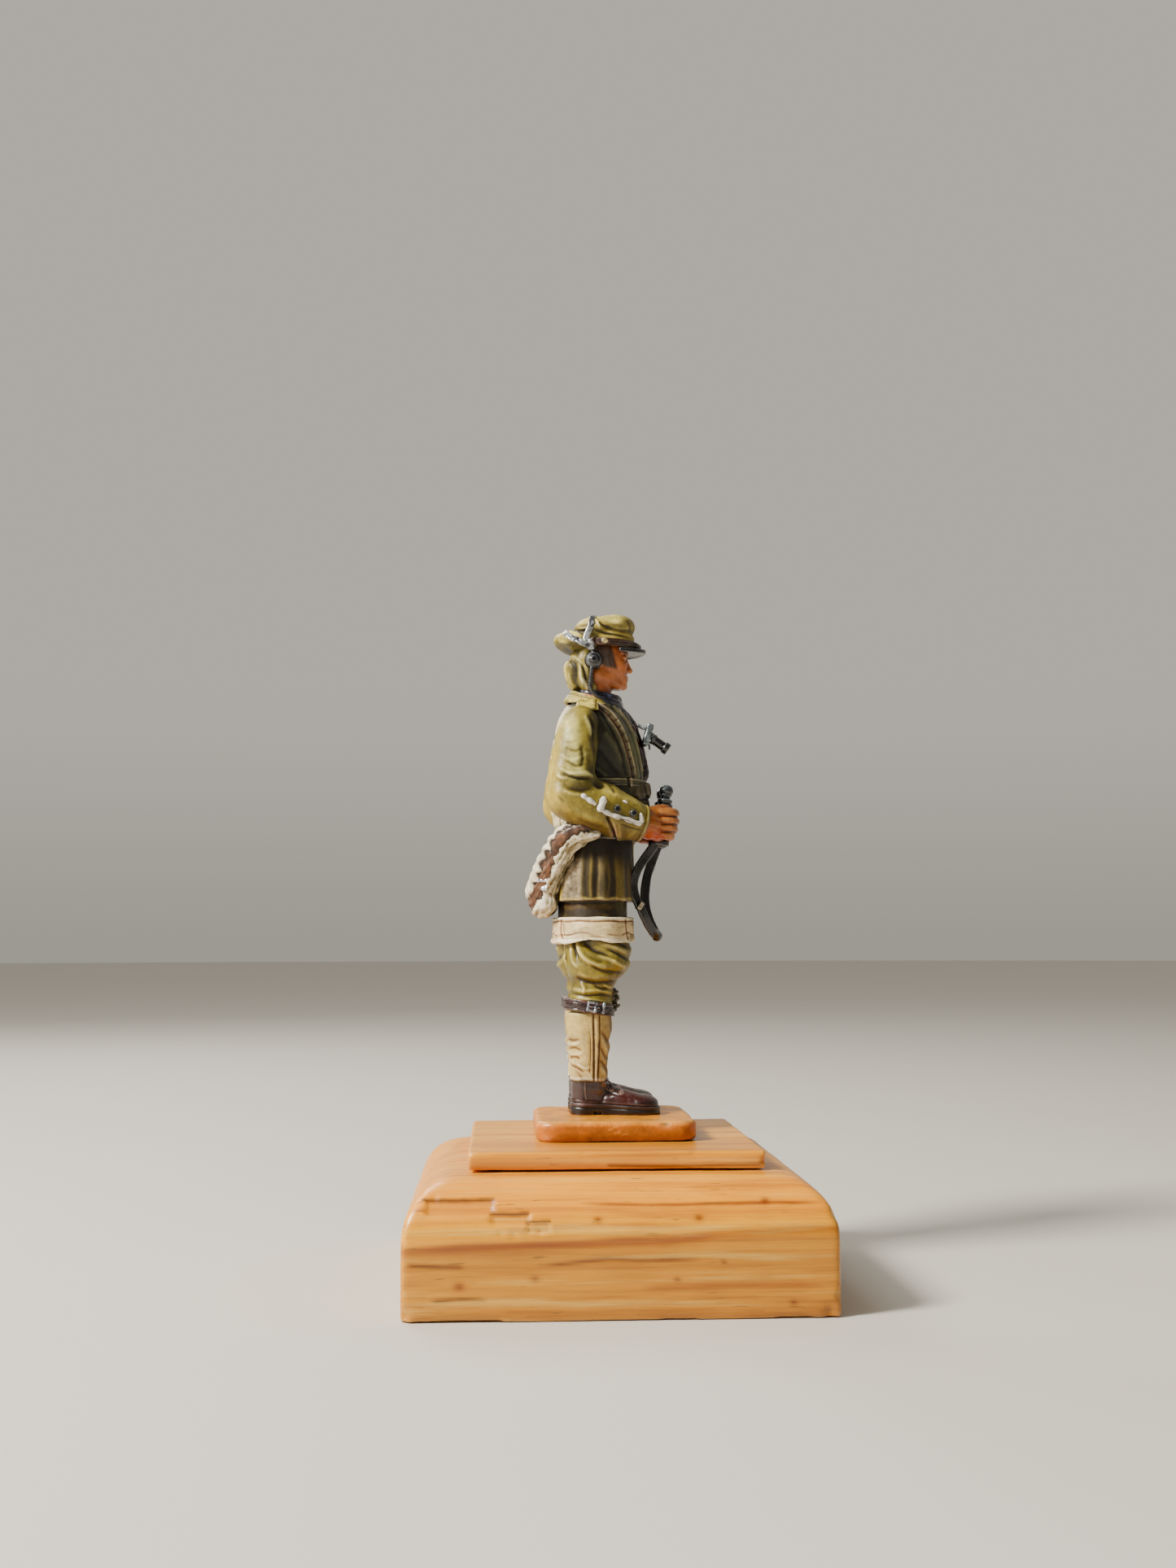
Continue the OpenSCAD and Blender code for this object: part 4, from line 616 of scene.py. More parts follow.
def breeches():
    g = Grid((-8.2, -8.0, 12.6), (4.4, 8.0, 29.0), 0.155); P = g.P; F = None
    for sg in (-1, 1):
        y = sg * 3.35; xo = 0.0 if sg < 0 else -.75
        leg = loft(P, [(12.7, -2.55, y, 2.50, 2.35), (14.4, -2.4, y, 2.72, 2.55), (15.8, -2.3 + xo * .2, y, 2.78, 2.72), (16.9, -2.0 + xo * .4, y * 1.02, 3.05, 3.0), (17.7, -1.75 + xo * .7, y * 1.04, 3.65, 3.35),
                       (18.9, -1.55 + xo, y * 1.06, 4.10, 3.62), (20.4, -1.5 + xo, y * 1.04, 4.25, 3.6), (21.8, -1.65 + xo * .8, y * .97, 4.15, 3.3), (23.0, -1.8, y * .90, 4.1, 3.0), (26, -1.8, y * .88, 4.1, 2.95), (28.8, -1.8, y * .88, 4.1, 2.95)], n=2.1, k=.4)
        F = leg if F is None else smin(F, leg, .5)
    s = Sculpt(F, g); s.fill(lin((150, 138, 62)))
    # D is painted shade for fold hollows and L a painted highlight for fold ridges, here and in the swags below
    D, L = lin((66, 56, 26)), lin((214, 202, 138))
    near = [([(-5.0, 22), (-4.95, 20.6), (-4.75, 19.3), (-4.1, 18.5)], .30, .34, L), ([(-4.3, 22), (-4.1, 20.8), (-3.3, 19.7), (-1.9, 18.9), (-.6, 18.7)], .42, .42, L),
            ([(-4.7, 22), (-4.55, 20.8), (-4.3, 19.8)], .28, -.34, D), ([(-3.4, 21.8), (-2.4, 20.9), (-.9, 20.2), (.3, 19.3)], .50, -.42, D), ([(-2.6, 22), (-1.0, 21.5), (.8, 20.9), (2.0, 20.4)], .38, .26, L),
            ([(-1.6, 20.1), (-.2, 19.6), (.9, 19.0), (1.9, 18.6)], .34, .34, L), ([(-.6, 21.0), (1.0, 20.3), (2.3, 19.5)], .36, -.34, D), ([(.8, 21.7), (2.0, 21.3), (2.6, 20.9)], .3, -.24, D),
            ([(-2.6, 19.0), (-1.3, 18.2), (.4, 17.9), (1.7, 17.8)], .36, -.30, D), ([(-4.2, 18.0), (-3.2, 17.5), (-1.8, 17.3), (.4, 17.2)], .38, .22, lin((176, 160, 70))), ([(-4.4, 17.3), (-3.0, 16.7), (-1.2, 16.6), (.6, 16.8)], .26, -.26, D),
            ([(-4.9, 15.9), (-3.4, 15.6), (-1.6, 15.7), (.2, 15.3)], .26, .20, lin((196, 184, 100))), ([(-4.9, 15.3), (-3.2, 15.0), (-1.2, 15.15), (.3, 14.8)], .20, -.18, D), ([(-3.8, 16.7), (-3.4, 15.9), (-3.5, 15.2)], .24, .18, L),
            ([(-2.2, 16.4), (-1.4, 15.9), (-.4, 15.9)], .24, -.18, D), ([(-1.0, 16.5), (-.3, 16.1), (.3, 16.2)], .22, .16, L), ([(-4.6, 14.7), (-2.6, 14.55), (-.6, 14.3)], .20, .16, lin((190, 178, 96)))]
    for p, w, am, c in near:
        s.stroke(p, w * .85, am, -1, True, c, w * .62, op=.85)
        s.stroke([(x * 1.0 - .75 + .25 * math.sin(z * 3), z + .25 * math.cos(x * 2)) for x, z in p], w, am, 1, True, c, w * .75, op=.62)
    for i, (zz, am) in enumerate(((21, .3), (19.8, -.32), (18.9, .3), (17.6, -.25), (16.2, .2), (15.2, -.2))):     # front and back swags
        for sg in (-1, 1):
            for fx_, xs in ((1, 2.4), (-1, -6.0)):
                pts = [(xs, sg * 1.2, zz + .5), (xs + .6 * fx_, sg * 3.3, zz - .3 * math.sin(i)), (xs, sg * 5.4, zz + .45)]
                s.stroke(pts, .38, am, None, True, L if am > 0 else D, .3, op=.4)
    s.stroke([(2.2, 0, 28), (2.0, 0, 22), (.5, 0, 18)], .35, -.3, None, False)
    s.flush(); s.rough(.10, (1.7, 1.7, 1.3), 101, 3)
    s.paint(.40 * ss(-.05, .6, fbm(s.V, (2.2, 2.2, 1.6), 103)), lin((186, 172, 84))); s.paint(.4 * ss(.1, .7, -fbm(s.V, (2.4, 2.4, 1.8), 104)), lin((98, 84, 36)))
    # painted shade under the hem band and along the fold round z 17
    s.paint(.75 * ss(21.0, 22.2, s.z), lin((50, 42, 22)))
    s.paint(.45 * np.exp(-((s.z - 17.0) / .5) ** 2), lin((96, 76, 30)))
    piece("breeches_sculpt", s, ["breeches"], BREECH)
    g = Grid((-.2, -5.2, 12.8), (2.0, 5.2, 16.8), 0.09); P = g.P; F = None      # knotted lace ends in front of each knee
    rng = np.random.default_rng(5)
    for sg in (-1, 1):
        for i in range(7):
            z = 13.2 + i * .42; x = .62 + .42 * math.sin(i * 1.9) * .5 + .12 * i * (1 if i < 4 else .2); d = ell(P, (x, sg * 3.3 + .32 * (-1) ** i, z), (.36 + .1 * (i % 2), .40, .24), rotm(0, 25 * (-1) ** i, 0))
            F = d if F is None else smin(F, d, .12)
    # painted highlight on the upward-facing tops of the lace knots
    s = Sculpt(F, g, 1); s.rough(.06, .5, 107, 2); s.fill(lin((58, 50, 28))); s.paint(.5 * ss(.2, .8, s.N[:, 2]), lin((128, 116, 66)))
    piece("knee_lacing_sculpt", s, ["knee_lacing"], BREECH)

# ================================================================ hips, body, belt
HEM = enamel("hem_cream_enamel", rough=0.5, spec=0.4, wash_and_shade=(0.52, 0.33, 0.20), wash_and_shade_k=0.95, edge=0.5, edgec=(1, 0.98, 0.9), streak=(260, 260, 700), sk=0.10)
KHAKI = enamel("tunic_khaki_enamel", rough=0.5, spec=0.4, coat=0.06, wash_and_shade=(0.30, 0.24, 0.12), wash_and_shade_k=0.95, edge=0.45, edgec=(1, 0.95, 0.70), streak=(650, 650, 130), sk=0.20, mott=0.24)
JERK = enamel("jerkin_enamel", rough=0.5, spec=0.4, wash_and_shade=(0.26, 0.20, 0.12), wash_and_shade_k=1.0, edge=0.4, edgec=(0.94, 0.90, 0.74), streak=(700, 700, 120), sk=0.16)
FLEECE = enamel("sheepskin_enamel", rough=0.58, spec=0.35, wash_and_shade=(0.36, 0.25, 0.15), wash_and_shade_k=1.0, edge=0.55, edgec=(1, 0.98, 0.92), streak=(420, 420, 420), sk=0.10, bump=0.6)
LEATH = enamel("band_leather_enamel", rough=0.42, spec=0.45, coat=0.15, wash_and_shade=(0.25, 0.16, 0.10), edge=0.5, edgec=(0.80, 0.62, 0.44), sk=0.16)
BELT = enamel("belt_grey_enamel", rough=0.45, spec=0.42, coat=0.1, wash_and_shade=(0.25, 0.20, 0.14), wash_and_shade_k=1.0, edge=0.5, edgec=(0.86, 0.82, 0.70), sk=0.14)
def hem_band():
    g = Grid((-8.4, -8.2, 21.2), (4.6, 8.2, 25.4), 0.14); P = g.P
    outer = loft(P, [(21.8, -2.05, 0, 5.65, 7.5), (22.3, -2.0, 0, 5.35, 7.3), (23.0, -1.98, 0, 5.30, 7.2), (24.0, -1.95, 0, 5.30, 7.15), (24.9, -1.95, 0, 5.25, 7.1)], n=2.3, k=.25)
    inner = loft(P, [(21, -1.95, 0, 4.75, 6.6), (22.5, -1.95, 0, 4.6, 6.4), (24.0, -1.95, 0, 4.5, 6.2)], n=2.3, k=.2)
    F = smax(outer, -inner, .2)
    s = Sculpt(F, g); s.fill(lin((232, 216, 178)))
    a = np.arctan2(s.y, s.x + 2) ; lo = ss(23.2, 22.0, s.z)
    wv = .35 * np.sin(a * 5 + 1.1) + .9 * fbm(s.V, (1.9, 1.9, 6), 110)
    s._acc = .22 * lo * wv; s.flush(); s.V[:, 2] += .26 * lo * (.4 * np.sin(a * 4 + 2) + 1.2 * fbm(s.V, (1.7, 1.7, 9), 119)); s.N = norms(s.V, s.Q); s.x, s.y, s.z = s.V.T
    B = lin((122, 72, 48)); W = lin((246, 238, 214))
    zt = 24.9
    s._acc = .12 * np.exp(-((s.z - zt + .12) / .14) ** 2) - .12 * np.exp(-((s.z - zt + .48 + .05 * np.sin(a * 11)) / .11) ** 2); s.flush()
    # painted highlight on the ridge along the top and painted shade in the groove under it
    s.paint(.9 * np.exp(-((s.z - zt + .16) / .16) ** 2), W); s.paint(.8 * np.exp(-((s.z - zt + .50 + .06 * np.sin(a * 11) + .05 * fbm(s.V, (1, 1, 3), 112)) / .10) ** 2), B)
    z2 = 22.75 + .14 * np.sin(a * 6) + .08 * np.sin(a * 13); s._acc = -.10 * np.exp(-((s.z - z2) / .12) ** 2) * ss(-.7, .2, fbm(s.V, (2.5, 2.5, 9), 113)); s.flush()
    s.paint(.8 * np.exp(-((s.z - z2) / .09) ** 2) * ss(-.6, .3, fbm(s.V, (2.5, 2.5, 9), 113)), B)
    z3 = 22.35 + .16 * np.sin(a * 7 + .6); s.paint(.8 * np.exp(-((s.z - z3) / .08) ** 2) * ss(-.3, .3, fbm(s.V, (2, 2, 9), 114)), B)
    z4 = 23.55 + .22 * np.sin(a * 5 + 2) + .1 * np.sin(a * 17); s.paint(.45 * np.exp(-((s.z - z4) / .07) ** 2) * ss(-.1, .4, fbm(s.V, (1.6, 1.6, 9), 115)), B)
    s.paint(.8 * ss(22.4, 22.0, s.z), W)
    for side in (-1, 1):
        s.stroke([(-6.25, 24.6), (-6.35, 23.4), (-6.2, 22.4)], .12, -.16, side, False, B, .10); s.stroke([(-5.9, 24.2), (-5.9, 23.4), (-5.8, 22.7)], .10, .08, side, False, B, .06)
        s.stroke([(2.0, 24.6), (2.1, 23.4), (2.3, 22.2)], .14, -.16, side, False, B, .10); s.stroke([(2.9, 24.4), (2.9, 23.3), (3.0, 22.2)], .16, .12, side, False)
        s.stroke([(-4.5, 23.6), (-2.5, 23.35), (-.5, 23.5), (1.2, 23.3)], .3, .05, side)
    # painted shade on the front of the band
    s.paint(.6 * ss(2.1, 2.8, s.x) * ss(.2, -.6, fbm(s.V, (1.4, 1.4, .8), 115)), lin((112, 92, 52)))
    s.paint(.45 * ss(-6.3, -6.9, s.x) * (.5 + .5 * fbm(s.V, (1, 1, 1), 116)), lin((150, 110, 82)))
    s.flush(); s.rough(.06, (1.6, 1.6, 1.0), 117, 3); s.paint(.25 * ss(.1, .6, fbm(s.V, (2, 2, 1), 118)), lin((206, 176, 130)))
    piece("hem_band_sculpt", s, ["hem_band"], HEM)
def skirt():
    g = Grid((-7.6, -7.6, 24.4), (3.9, 7.6, 35.9), 0.145); P = g.P
    F = loft(P, [(27.0, -1.95, 0, 5.35, 7.2), (28.5, -1.95, 0, 5.3, 7.15), (31, -1.9, 0, 5.22, 7.0), (33.5, -1.8, 0, 5.05, 6.8), (35.8, -1.7, 0, 4.95, 6.6)], n=2.25, k=.22)
    under = loft(P, [(24.5, -2.0, 0, 4.55, 6.5), (26, -2.0, 0, 4.5, 6.4), (27.4, -2.0, 0, 4.5, 6.3)], n=2.2, k=.2)
    F = np.minimum(F, under)
    s = Sculpt(F, g); s.fill(lin((100, 88, 48))); a = np.arctan2(s.y / 7.1, (s.x + 1.95) / 5.3); body = ss(26.9, 27.2, s.z)
    # hanging pleats, with painted shade in their hollows and painted highlight on their ridges
    pl = (.55 * np.sin(a * 13 + .6) + .35 * np.sin(a * 23 + 2.1 + .4 * np.sin(s.z * .5)) + .3 * fbm(s.V, (1.1, 1.1, 12), 120)); s._acc = .17 * pl * body * ss(35.5, 30, s.z) ; s.flush()
    D = lin((44, 34, 18)); G = lin((164, 150, 126)); Y = lin((202, 184, 108)); O = lin((152, 136, 74))
    s.paint(.75 * ss(.25, -.6, pl) * body, lin((70, 58, 34))); s.paint(.6 * ss(.2, .9, pl) * body, lin((158, 142, 88)))
    for side in (-1, 1):
        f = (s.N[:, 1] * side > -.3) * body; xo = s.x + (0 if side < 0 else -.3)
        m = ss(-6.3, -6.0, xo) * ss(-3.6, -4.2, xo) * f * ss(34.0, 32.2, s.z - .4 * (xo + 5)); s.paint(.92 * m, G)
        sp = fbm(s.V, (.36, .36, .26), 122, 2); s.paint(.5 * m * ss(.12, .42, sp), lin((204, 190, 160))); s.paint(.5 * m * ss(.15, .45, -fbm(s.V, (.5, .5, .5), 123, 2)), lin((112, 96, 74)))
        s._acc = .05 * m * sp; s.flush()
        # painted highlight: a yellow strip down the lit back edge
        s.paint(.95 * ss(-6.1, -6.35, xo) * ss(-7.3, -7.0, xo) * f * ss(32.6, 31.6, s.z), Y)
        # vertical stripes: painted shade in the dark ones, painted highlights in the light ones
        for xc, w, c, o in ((-3.3, .28, D, .7), (-2.6, .16, lin((190, 170, 110)), .8), (-2.1, .2, D, .6), (-1.55, .18, lin((176, 156, 98)), .75), (-1.0, .3, lin((60, 50, 28)), .8), (-.35, .15, lin((164, 150, 92)), .6), (.1, .35, D, .75), (.75, .2, lin((170, 150, 80)), .8), (1.15, .35, O, .8), (1.9, .3, lin((90, 78, 40)), .7), (2.4, .2, O, .5)):
            wob = .10 * np.sin(s.z * .9 + xc) + .06 * fbm(s.V, (1, 1, 3), 124); s.paint(o * .72 * np.exp(-((xo - xc - wob) / w) ** 2) * f * ss(34.2, 32.0, s.z), c)
    # painted shade on the upper skirt under the jerkin, a painted highlight along the hem edge, painted shade under it
    # and on the lining below, with a few lighter patches
    s.paint(.9 * ss(31.0, 33.4, s.z + .10 * s.x), D)
    s.paint(.85 * np.exp(-((s.z - 27.25 - .08 * np.sin(s.x * 3)) / .16) ** 2), lin((196, 180, 116)))
    s.paint(.9 * np.exp(-((s.z - 27.0) / .11) ** 2), lin((92, 64, 30)))
    lowp = ss(27.0, 26.7, s.z); s.paint(lowp, lin((66, 54, 26))); s.paint(lowp * .7 * np.exp(-((s.z - 26.3 - .2 * fbm(s.V, (2, 2, 1), 125)) / .3) ** 2), lin((112, 88, 36))); s.paint(lowp * .5 * ss(.1, .6, fbm(s.V, (1.6, 1.6, .4), 126)), lin((124, 114, 62)))
    # open front edges, with painted shade in the gap and painted highlights along its lips
    for yy, c, w, am in ((-.35, D, .16, -.28), (.35, O, .2, .15), (-1.0, lin((206, 194, 150)), .16, .18), (-1.55, D, .14, -.14), (1.2, lin((190, 176, 130)), .16, .15), (1.75, D, .14, -.14), (-2.3, lin((176, 164, 110)), .2, .12), (2.5, lin((176, 164, 110)), .2, .12)):
        d = np.abs(s.y - yy - .1 * np.sin(s.z * .6)); m = np.exp(-(d / w) ** 2) * (s.N[:, 0] > .2) * body; s.paint(.85 * m, c); s._acc = getattr(s, "_acc", 0) + am * m
    s.flush(); s.rough(.06, (1.3, 1.3, 2.2), 127, 3)
    piece("tunic_skirt_sculpt", s, ["tunic_skirt"], KHAKI)
def torso():
    g = Grid((-8.2, -8.0, 34.4), (5.4, 8.0, 54.2), 0.165); P = g.P
    F = loft(P, [(34.9, -1.65, 0, 5.35, 6.95), (36.2, -1.65, 0, 5.3, 6.7), (39, -1.55, 0, 5.55, 6.4), (41.2, -1.35, 0, 5.95, 6.3), (42.2, -1.25, 0, 5.95, 6.3), (43.2, -1.25, 0, 5.95, 6.4), (45.5, -1.3, 0, 5.85, 6.75), (47.6, -1.5, 0, 5.6, 7.05),
                 (49.4, -1.75, 0, 5.0, 7.0), (51.0, -2.0, 0, 4.35, 6.2), (52.2, -2.1, 0, 3.6, 4.7), (53.0, -2.1, 0, 3.1, 3.6)], n=2.2, k=.3)
    s = Sculpt(F, g); s.fill(lin((112, 110, 80)))
    D = lin((38, 34, 20)); PK = lin((206, 184, 156)); BR = lin((156, 92, 58)); GN = lin((134, 138, 106))
    for side in (-1, 1):
        f = s.N[:, 1] * side > -.25
        # painted shadow of the sleeve on the side of the jerkin, painted lighter towards the front
        s.paint(.85 * f * ss(2.6, -.2, s.x + .22 * (s.z - 47)) * ss(35, 37, s.z), lin((48, 50, 30)))
        s.paint(.6 * f * ss(1.9, 3.4, s.x + .25 * (s.z - 47)) * ss(42, 43, s.z), GN)
        # brown and pink piping along the front edge, with painted shade (D) in the hollows and painted highlights on
        # the raised folds
        for pts, w, am, c, cw in (([(-2.2, 52.9), (-.6, 51.6), (.75, 49.9), (1.6, 48.2), (2.25, 46.2), (2.85, 44.3), (3.05, 42.8)], .14, -.20, BR, .10), ([(-1.9, 53.1), (-.1, 51.8), (1.2, 50.0), (2.05, 48.2), (2.65, 46.3), (3.2, 44.4), (3.4, 42.8)], .15, .14, PK, .09),
                                  ([(-2.3, 52.4), (-.9, 51.2), (.4, 49.6), (1.25, 48.0), (1.9, 46.1), (2.5, 44.2), (2.7, 42.8)], .13, .10, lin((134, 112, 80)), .07), ([(-1.2, 51.2), (.0, 49.3), (.9, 47.4), (1.6, 45.4), (2.1, 43.4)], .22, -.12, D, .2),
                                  ([(.4, 52.4), (1.9, 50.6), (2.9, 48.6), (3.55, 46.4), (4.0, 44.2), (4.2, 42.9)], .14, -.18, D, .12), ([(.7, 52.7), (2.2, 50.7), (3.2, 48.6), (3.85, 46.4), (4.3, 44.2)], .18, .16, lin((178, 168, 138)), .12),
                                  ([(3.0, 48.6), (3.45, 46.8), (3.7, 45), (3.85, 43.2)], .3, .12, lin((150, 152, 122)), .2), ([(-.6, 48.3), (.5, 46.8), (1.3, 45.2)], .5, .12, lin((92, 92, 60)), .3), ([(-1.4, 46.4), (-.2, 44.9), (.9, 43.6)], .4, -.12, D, .3), ([(-1.8, 44), (-.6, 43.1)], .35, .10, lin((88, 88, 58)), .25)):
            s.stroke(pts, w, am, side, False, c, cw, op=.9)
        for i in range(11):      # rolled piping is broken into stitches
            t = i / 10.; x0, z0 = np.interp(t, [0, .3, .6, 1], [-1.5, .85, 2.2, 3.25]), np.interp(t, [0, .3, .6, 1], [52.6, 50.3, 47.6, 43.2])
            d = np.hypot(s.x - x0, s.z - z0); s._acc = s._acc - .12 * np.exp(-(d / .16) ** 2) * f; s.paint(.8 * np.exp(-(d / .15) ** 2) * f, lin((60, 40, 26)))
        # below the belt: creases with painted shade and highlight, and painted shade on the lower back of the hip
        for pts, w, am, c in (([(-1.5, 41), (.2, 40.2), (1.4, 39)], .3, -.15, D), ([(2.6, 41.5), (2.5, 39.5), (2.2, 37)], .14, -.22, D), ([(3.5, 41.2), (3.4, 39), (3.2, 37)], .2, .15, GN), ([(0, 36.2), (1.5, 35.7), (3, 35.4)], .2, .16, lin((150, 122, 82))),
                              ([(-.5, 35.6), (1.4, 35.2), (3.1, 35.0)], .16, -.15, D), ([(2.6, 36.2), (3.2, 35.6), (3.5, 35.0)], .2, .15, PK)):
            s.stroke(pts, w, am, side, True, c, w * .7)
    s.paint(.8 * ss(37.5, 35.2, s.z) * ss(-3.5, -1.5, s.x), D)
    # fleece-lined back: cream with a centre seam and broad folds, with painted shade in the hollows of the folds
    bk = ss(-4.6, -5.6, s.x) ; s.paint(.95 * bk, lin((222, 212, 182)))
    for yy, am in ((0, -.26), (-.5, .12), (.5, .12), (-3.2, -.15), (3.2, -.15)):
        d = np.abs(s.y - yy - .12 * np.sin(s.z * .8)); m = np.exp(-(d / .2) ** 2) * (s.N[:, 0] < -.3); s._acc = s._acc + am * m; s.paint(.7 * m * (am < 0), lin((138, 108, 70)))
    for i, (z0, y0, y1) in enumerate(((49.2, -5, 5), (46.4, -4.8, 4.0), (44.6, -4.2, 4.8), (43.3, -4, 4), (40.9, -4.6, 4.2), (39.2, -4, 4.6), (37.2, -4.8, 4.8))):
        pts = [(y0, z0), (y0 * .4, z0 - .5 + .3 * math.sin(i * 2)), (y1 * .4, z0 - .35), (y1, z0 + .1 * i % .4)]
        d, t = s.near(pts, None, (1, 2)); m = np.exp(-(d / .32) ** 2) * (s.N[:, 0] < -.2) * np.sin(np.pi * np.clip(t, 0, 1)); s._acc = s._acc + (.22 if i % 2 else -.22) * m; s.paint(.5 * m * (i % 2 == 0), lin((160, 136, 96)))
    s.flush(); s.rough(.08, (1.6, 1.6, 2.2), 131, 3)
    s.paint(.4 * ss(.1, .7, fbm(s.V, (1.5, 1.5, 3), 132)) * (s.x > -4.6), lin((132, 130, 98)))
    # collar of the coat, khaki outside with a tan leather facing
    piece("jerkin_sculpt", s, ["jerkin", "tunic_body"], JERK)
def collar():
    g = Grid((-6.4, -5.4, 50.2), (3.6, 5.4, 55.6), 0.12); P = g.P
    x, y, z = P; zc = 53.1 - .28 * (x + 1.5) - .05 * np.maximum(x + 1, 0) ** 2 + .14 * np.maximum(-x - 3.5, 0)
    q = np.sqrt(((x + 1.5) / 1.0) ** 2 + (y / .98) ** 2) - (2.95 + .10 * (z - zc)) ; F = smax(np.abs(q) - .42, np.abs(z - zc) - .72, .3)
    F = smax(F, .55 - np.abs(y) - .25 * (1.5 - x).clip(0, 9), .2)
    out = np.sqrt(((x + 1.6) / 1.0) ** 2 + (y / 1.0) ** 2) - (3.45 - .45 * (z - zc)); fall = smax(np.abs(out) - .28, np.abs(z - zc + .55) - .62, .25); fall = smax(fall, x + .2 - .0 * z, .3)
    F = smin(F, fall, .12)
    s = Sculpt(F, g); zc = 53.1 - .28 * (s.x + 1.5) - .05 * np.maximum(s.x + 1, 0) ** 2 + .14 * np.maximum(-s.x - 3.5, 0); r = np.hypot(s.x + 1.5, s.y)
    s.fill(lin((182, 170, 92))); s.paint(.95 * ss(.25, .6, s.z - zc) * ss(-3.6, -2.9, s.x), lin((176, 92, 54)))
    s.paint(.8 * ss(-.9, -.3, s.x) * ss(.1, .4, s.z - zc), lin((186, 112, 78)))
    s.paint(.5 * ss(.1, .6, fbm(s.V, (.9, .9, .5), 141)), lin((214, 204, 134))); s.paint(.6 * ss(.25, .7, -fbm(s.V, (1.3, 1.3, .5), 142)), lin((74, 62, 28)))
    for sd in (-1, 1):
        # painted shade in the nook where the collar turns down
        s.stroke([(-4.6, 52.7), (-3.4, 53.2), (-2.2, 52.6)], .16, -.14, sd, True, lin((60, 48, 22)), .1); s.stroke([(-2.3, 53.0), (-1.9, 52.5), (-2.1, 51.9)], .3, -.3, sd, True, lin((26, 20, 16)), .28)
        s.stroke([(-1.4, 53.7), (.1, 52.9), (1.2, 51.9)], .12, -.10, sd, True, lin((110, 50, 30)), .1)
    s.flush(); s.rough(.08, (1.1, 1.1, .8), 143, 3)
    piece("coat_collar", s, None, KHAKI)
    g = Grid((-6.0, -7.4, 50.2), (-.4, 7.4, 54.6), 0.12); P = g.P; F = None
    for sg in (-1, 1):
        m = A([-3.0, sg * 5.0, 52.35]); d = rbox(P, m, (1.25, 2.1, .26), .2, rotm(sg * -22, -8, sg * 6)); d = smin(d, rbox(P, m + [0.1, -sg * .1, -.25], (1.5, 1.7, .22), .2, rotm(sg * -22, -8, sg * 6)), .1); F = d if F is None else np.minimum(F, d)
    s = Sculpt(F, g); s.fill(lin((202, 190, 108))); s.rough(.10, (1, 1, .8), 144, 3); s.paint(.6 * ss(.0, .5, fbm(s.V, (.8, .8, .6), 145)), lin((226, 216, 146)))
    for sg in (-1, 1):
        d = np.sqrt((s.x + 3.0) ** 2 + (s.y - sg * 3.7) ** 2 + (s.z - 53.1) ** 2); s._acc = getattr(s, "_acc", 0) + .10 * np.exp(-(d / .3) ** 2); s.paint(.8 * np.exp(-((d - .35) / .1) ** 2), lin((70, 58, 26)))
        q = np.abs(np.abs(s.x + 3.0) - 1.0); s.paint(.55 * np.exp(-(q / .08) ** 2) * (s.N[:, 2] > .5), lin((120, 104, 52)))
    s.flush(); piece("shoulder_straps_sculpt", s, ["shoulder_straps"], KHAKI)
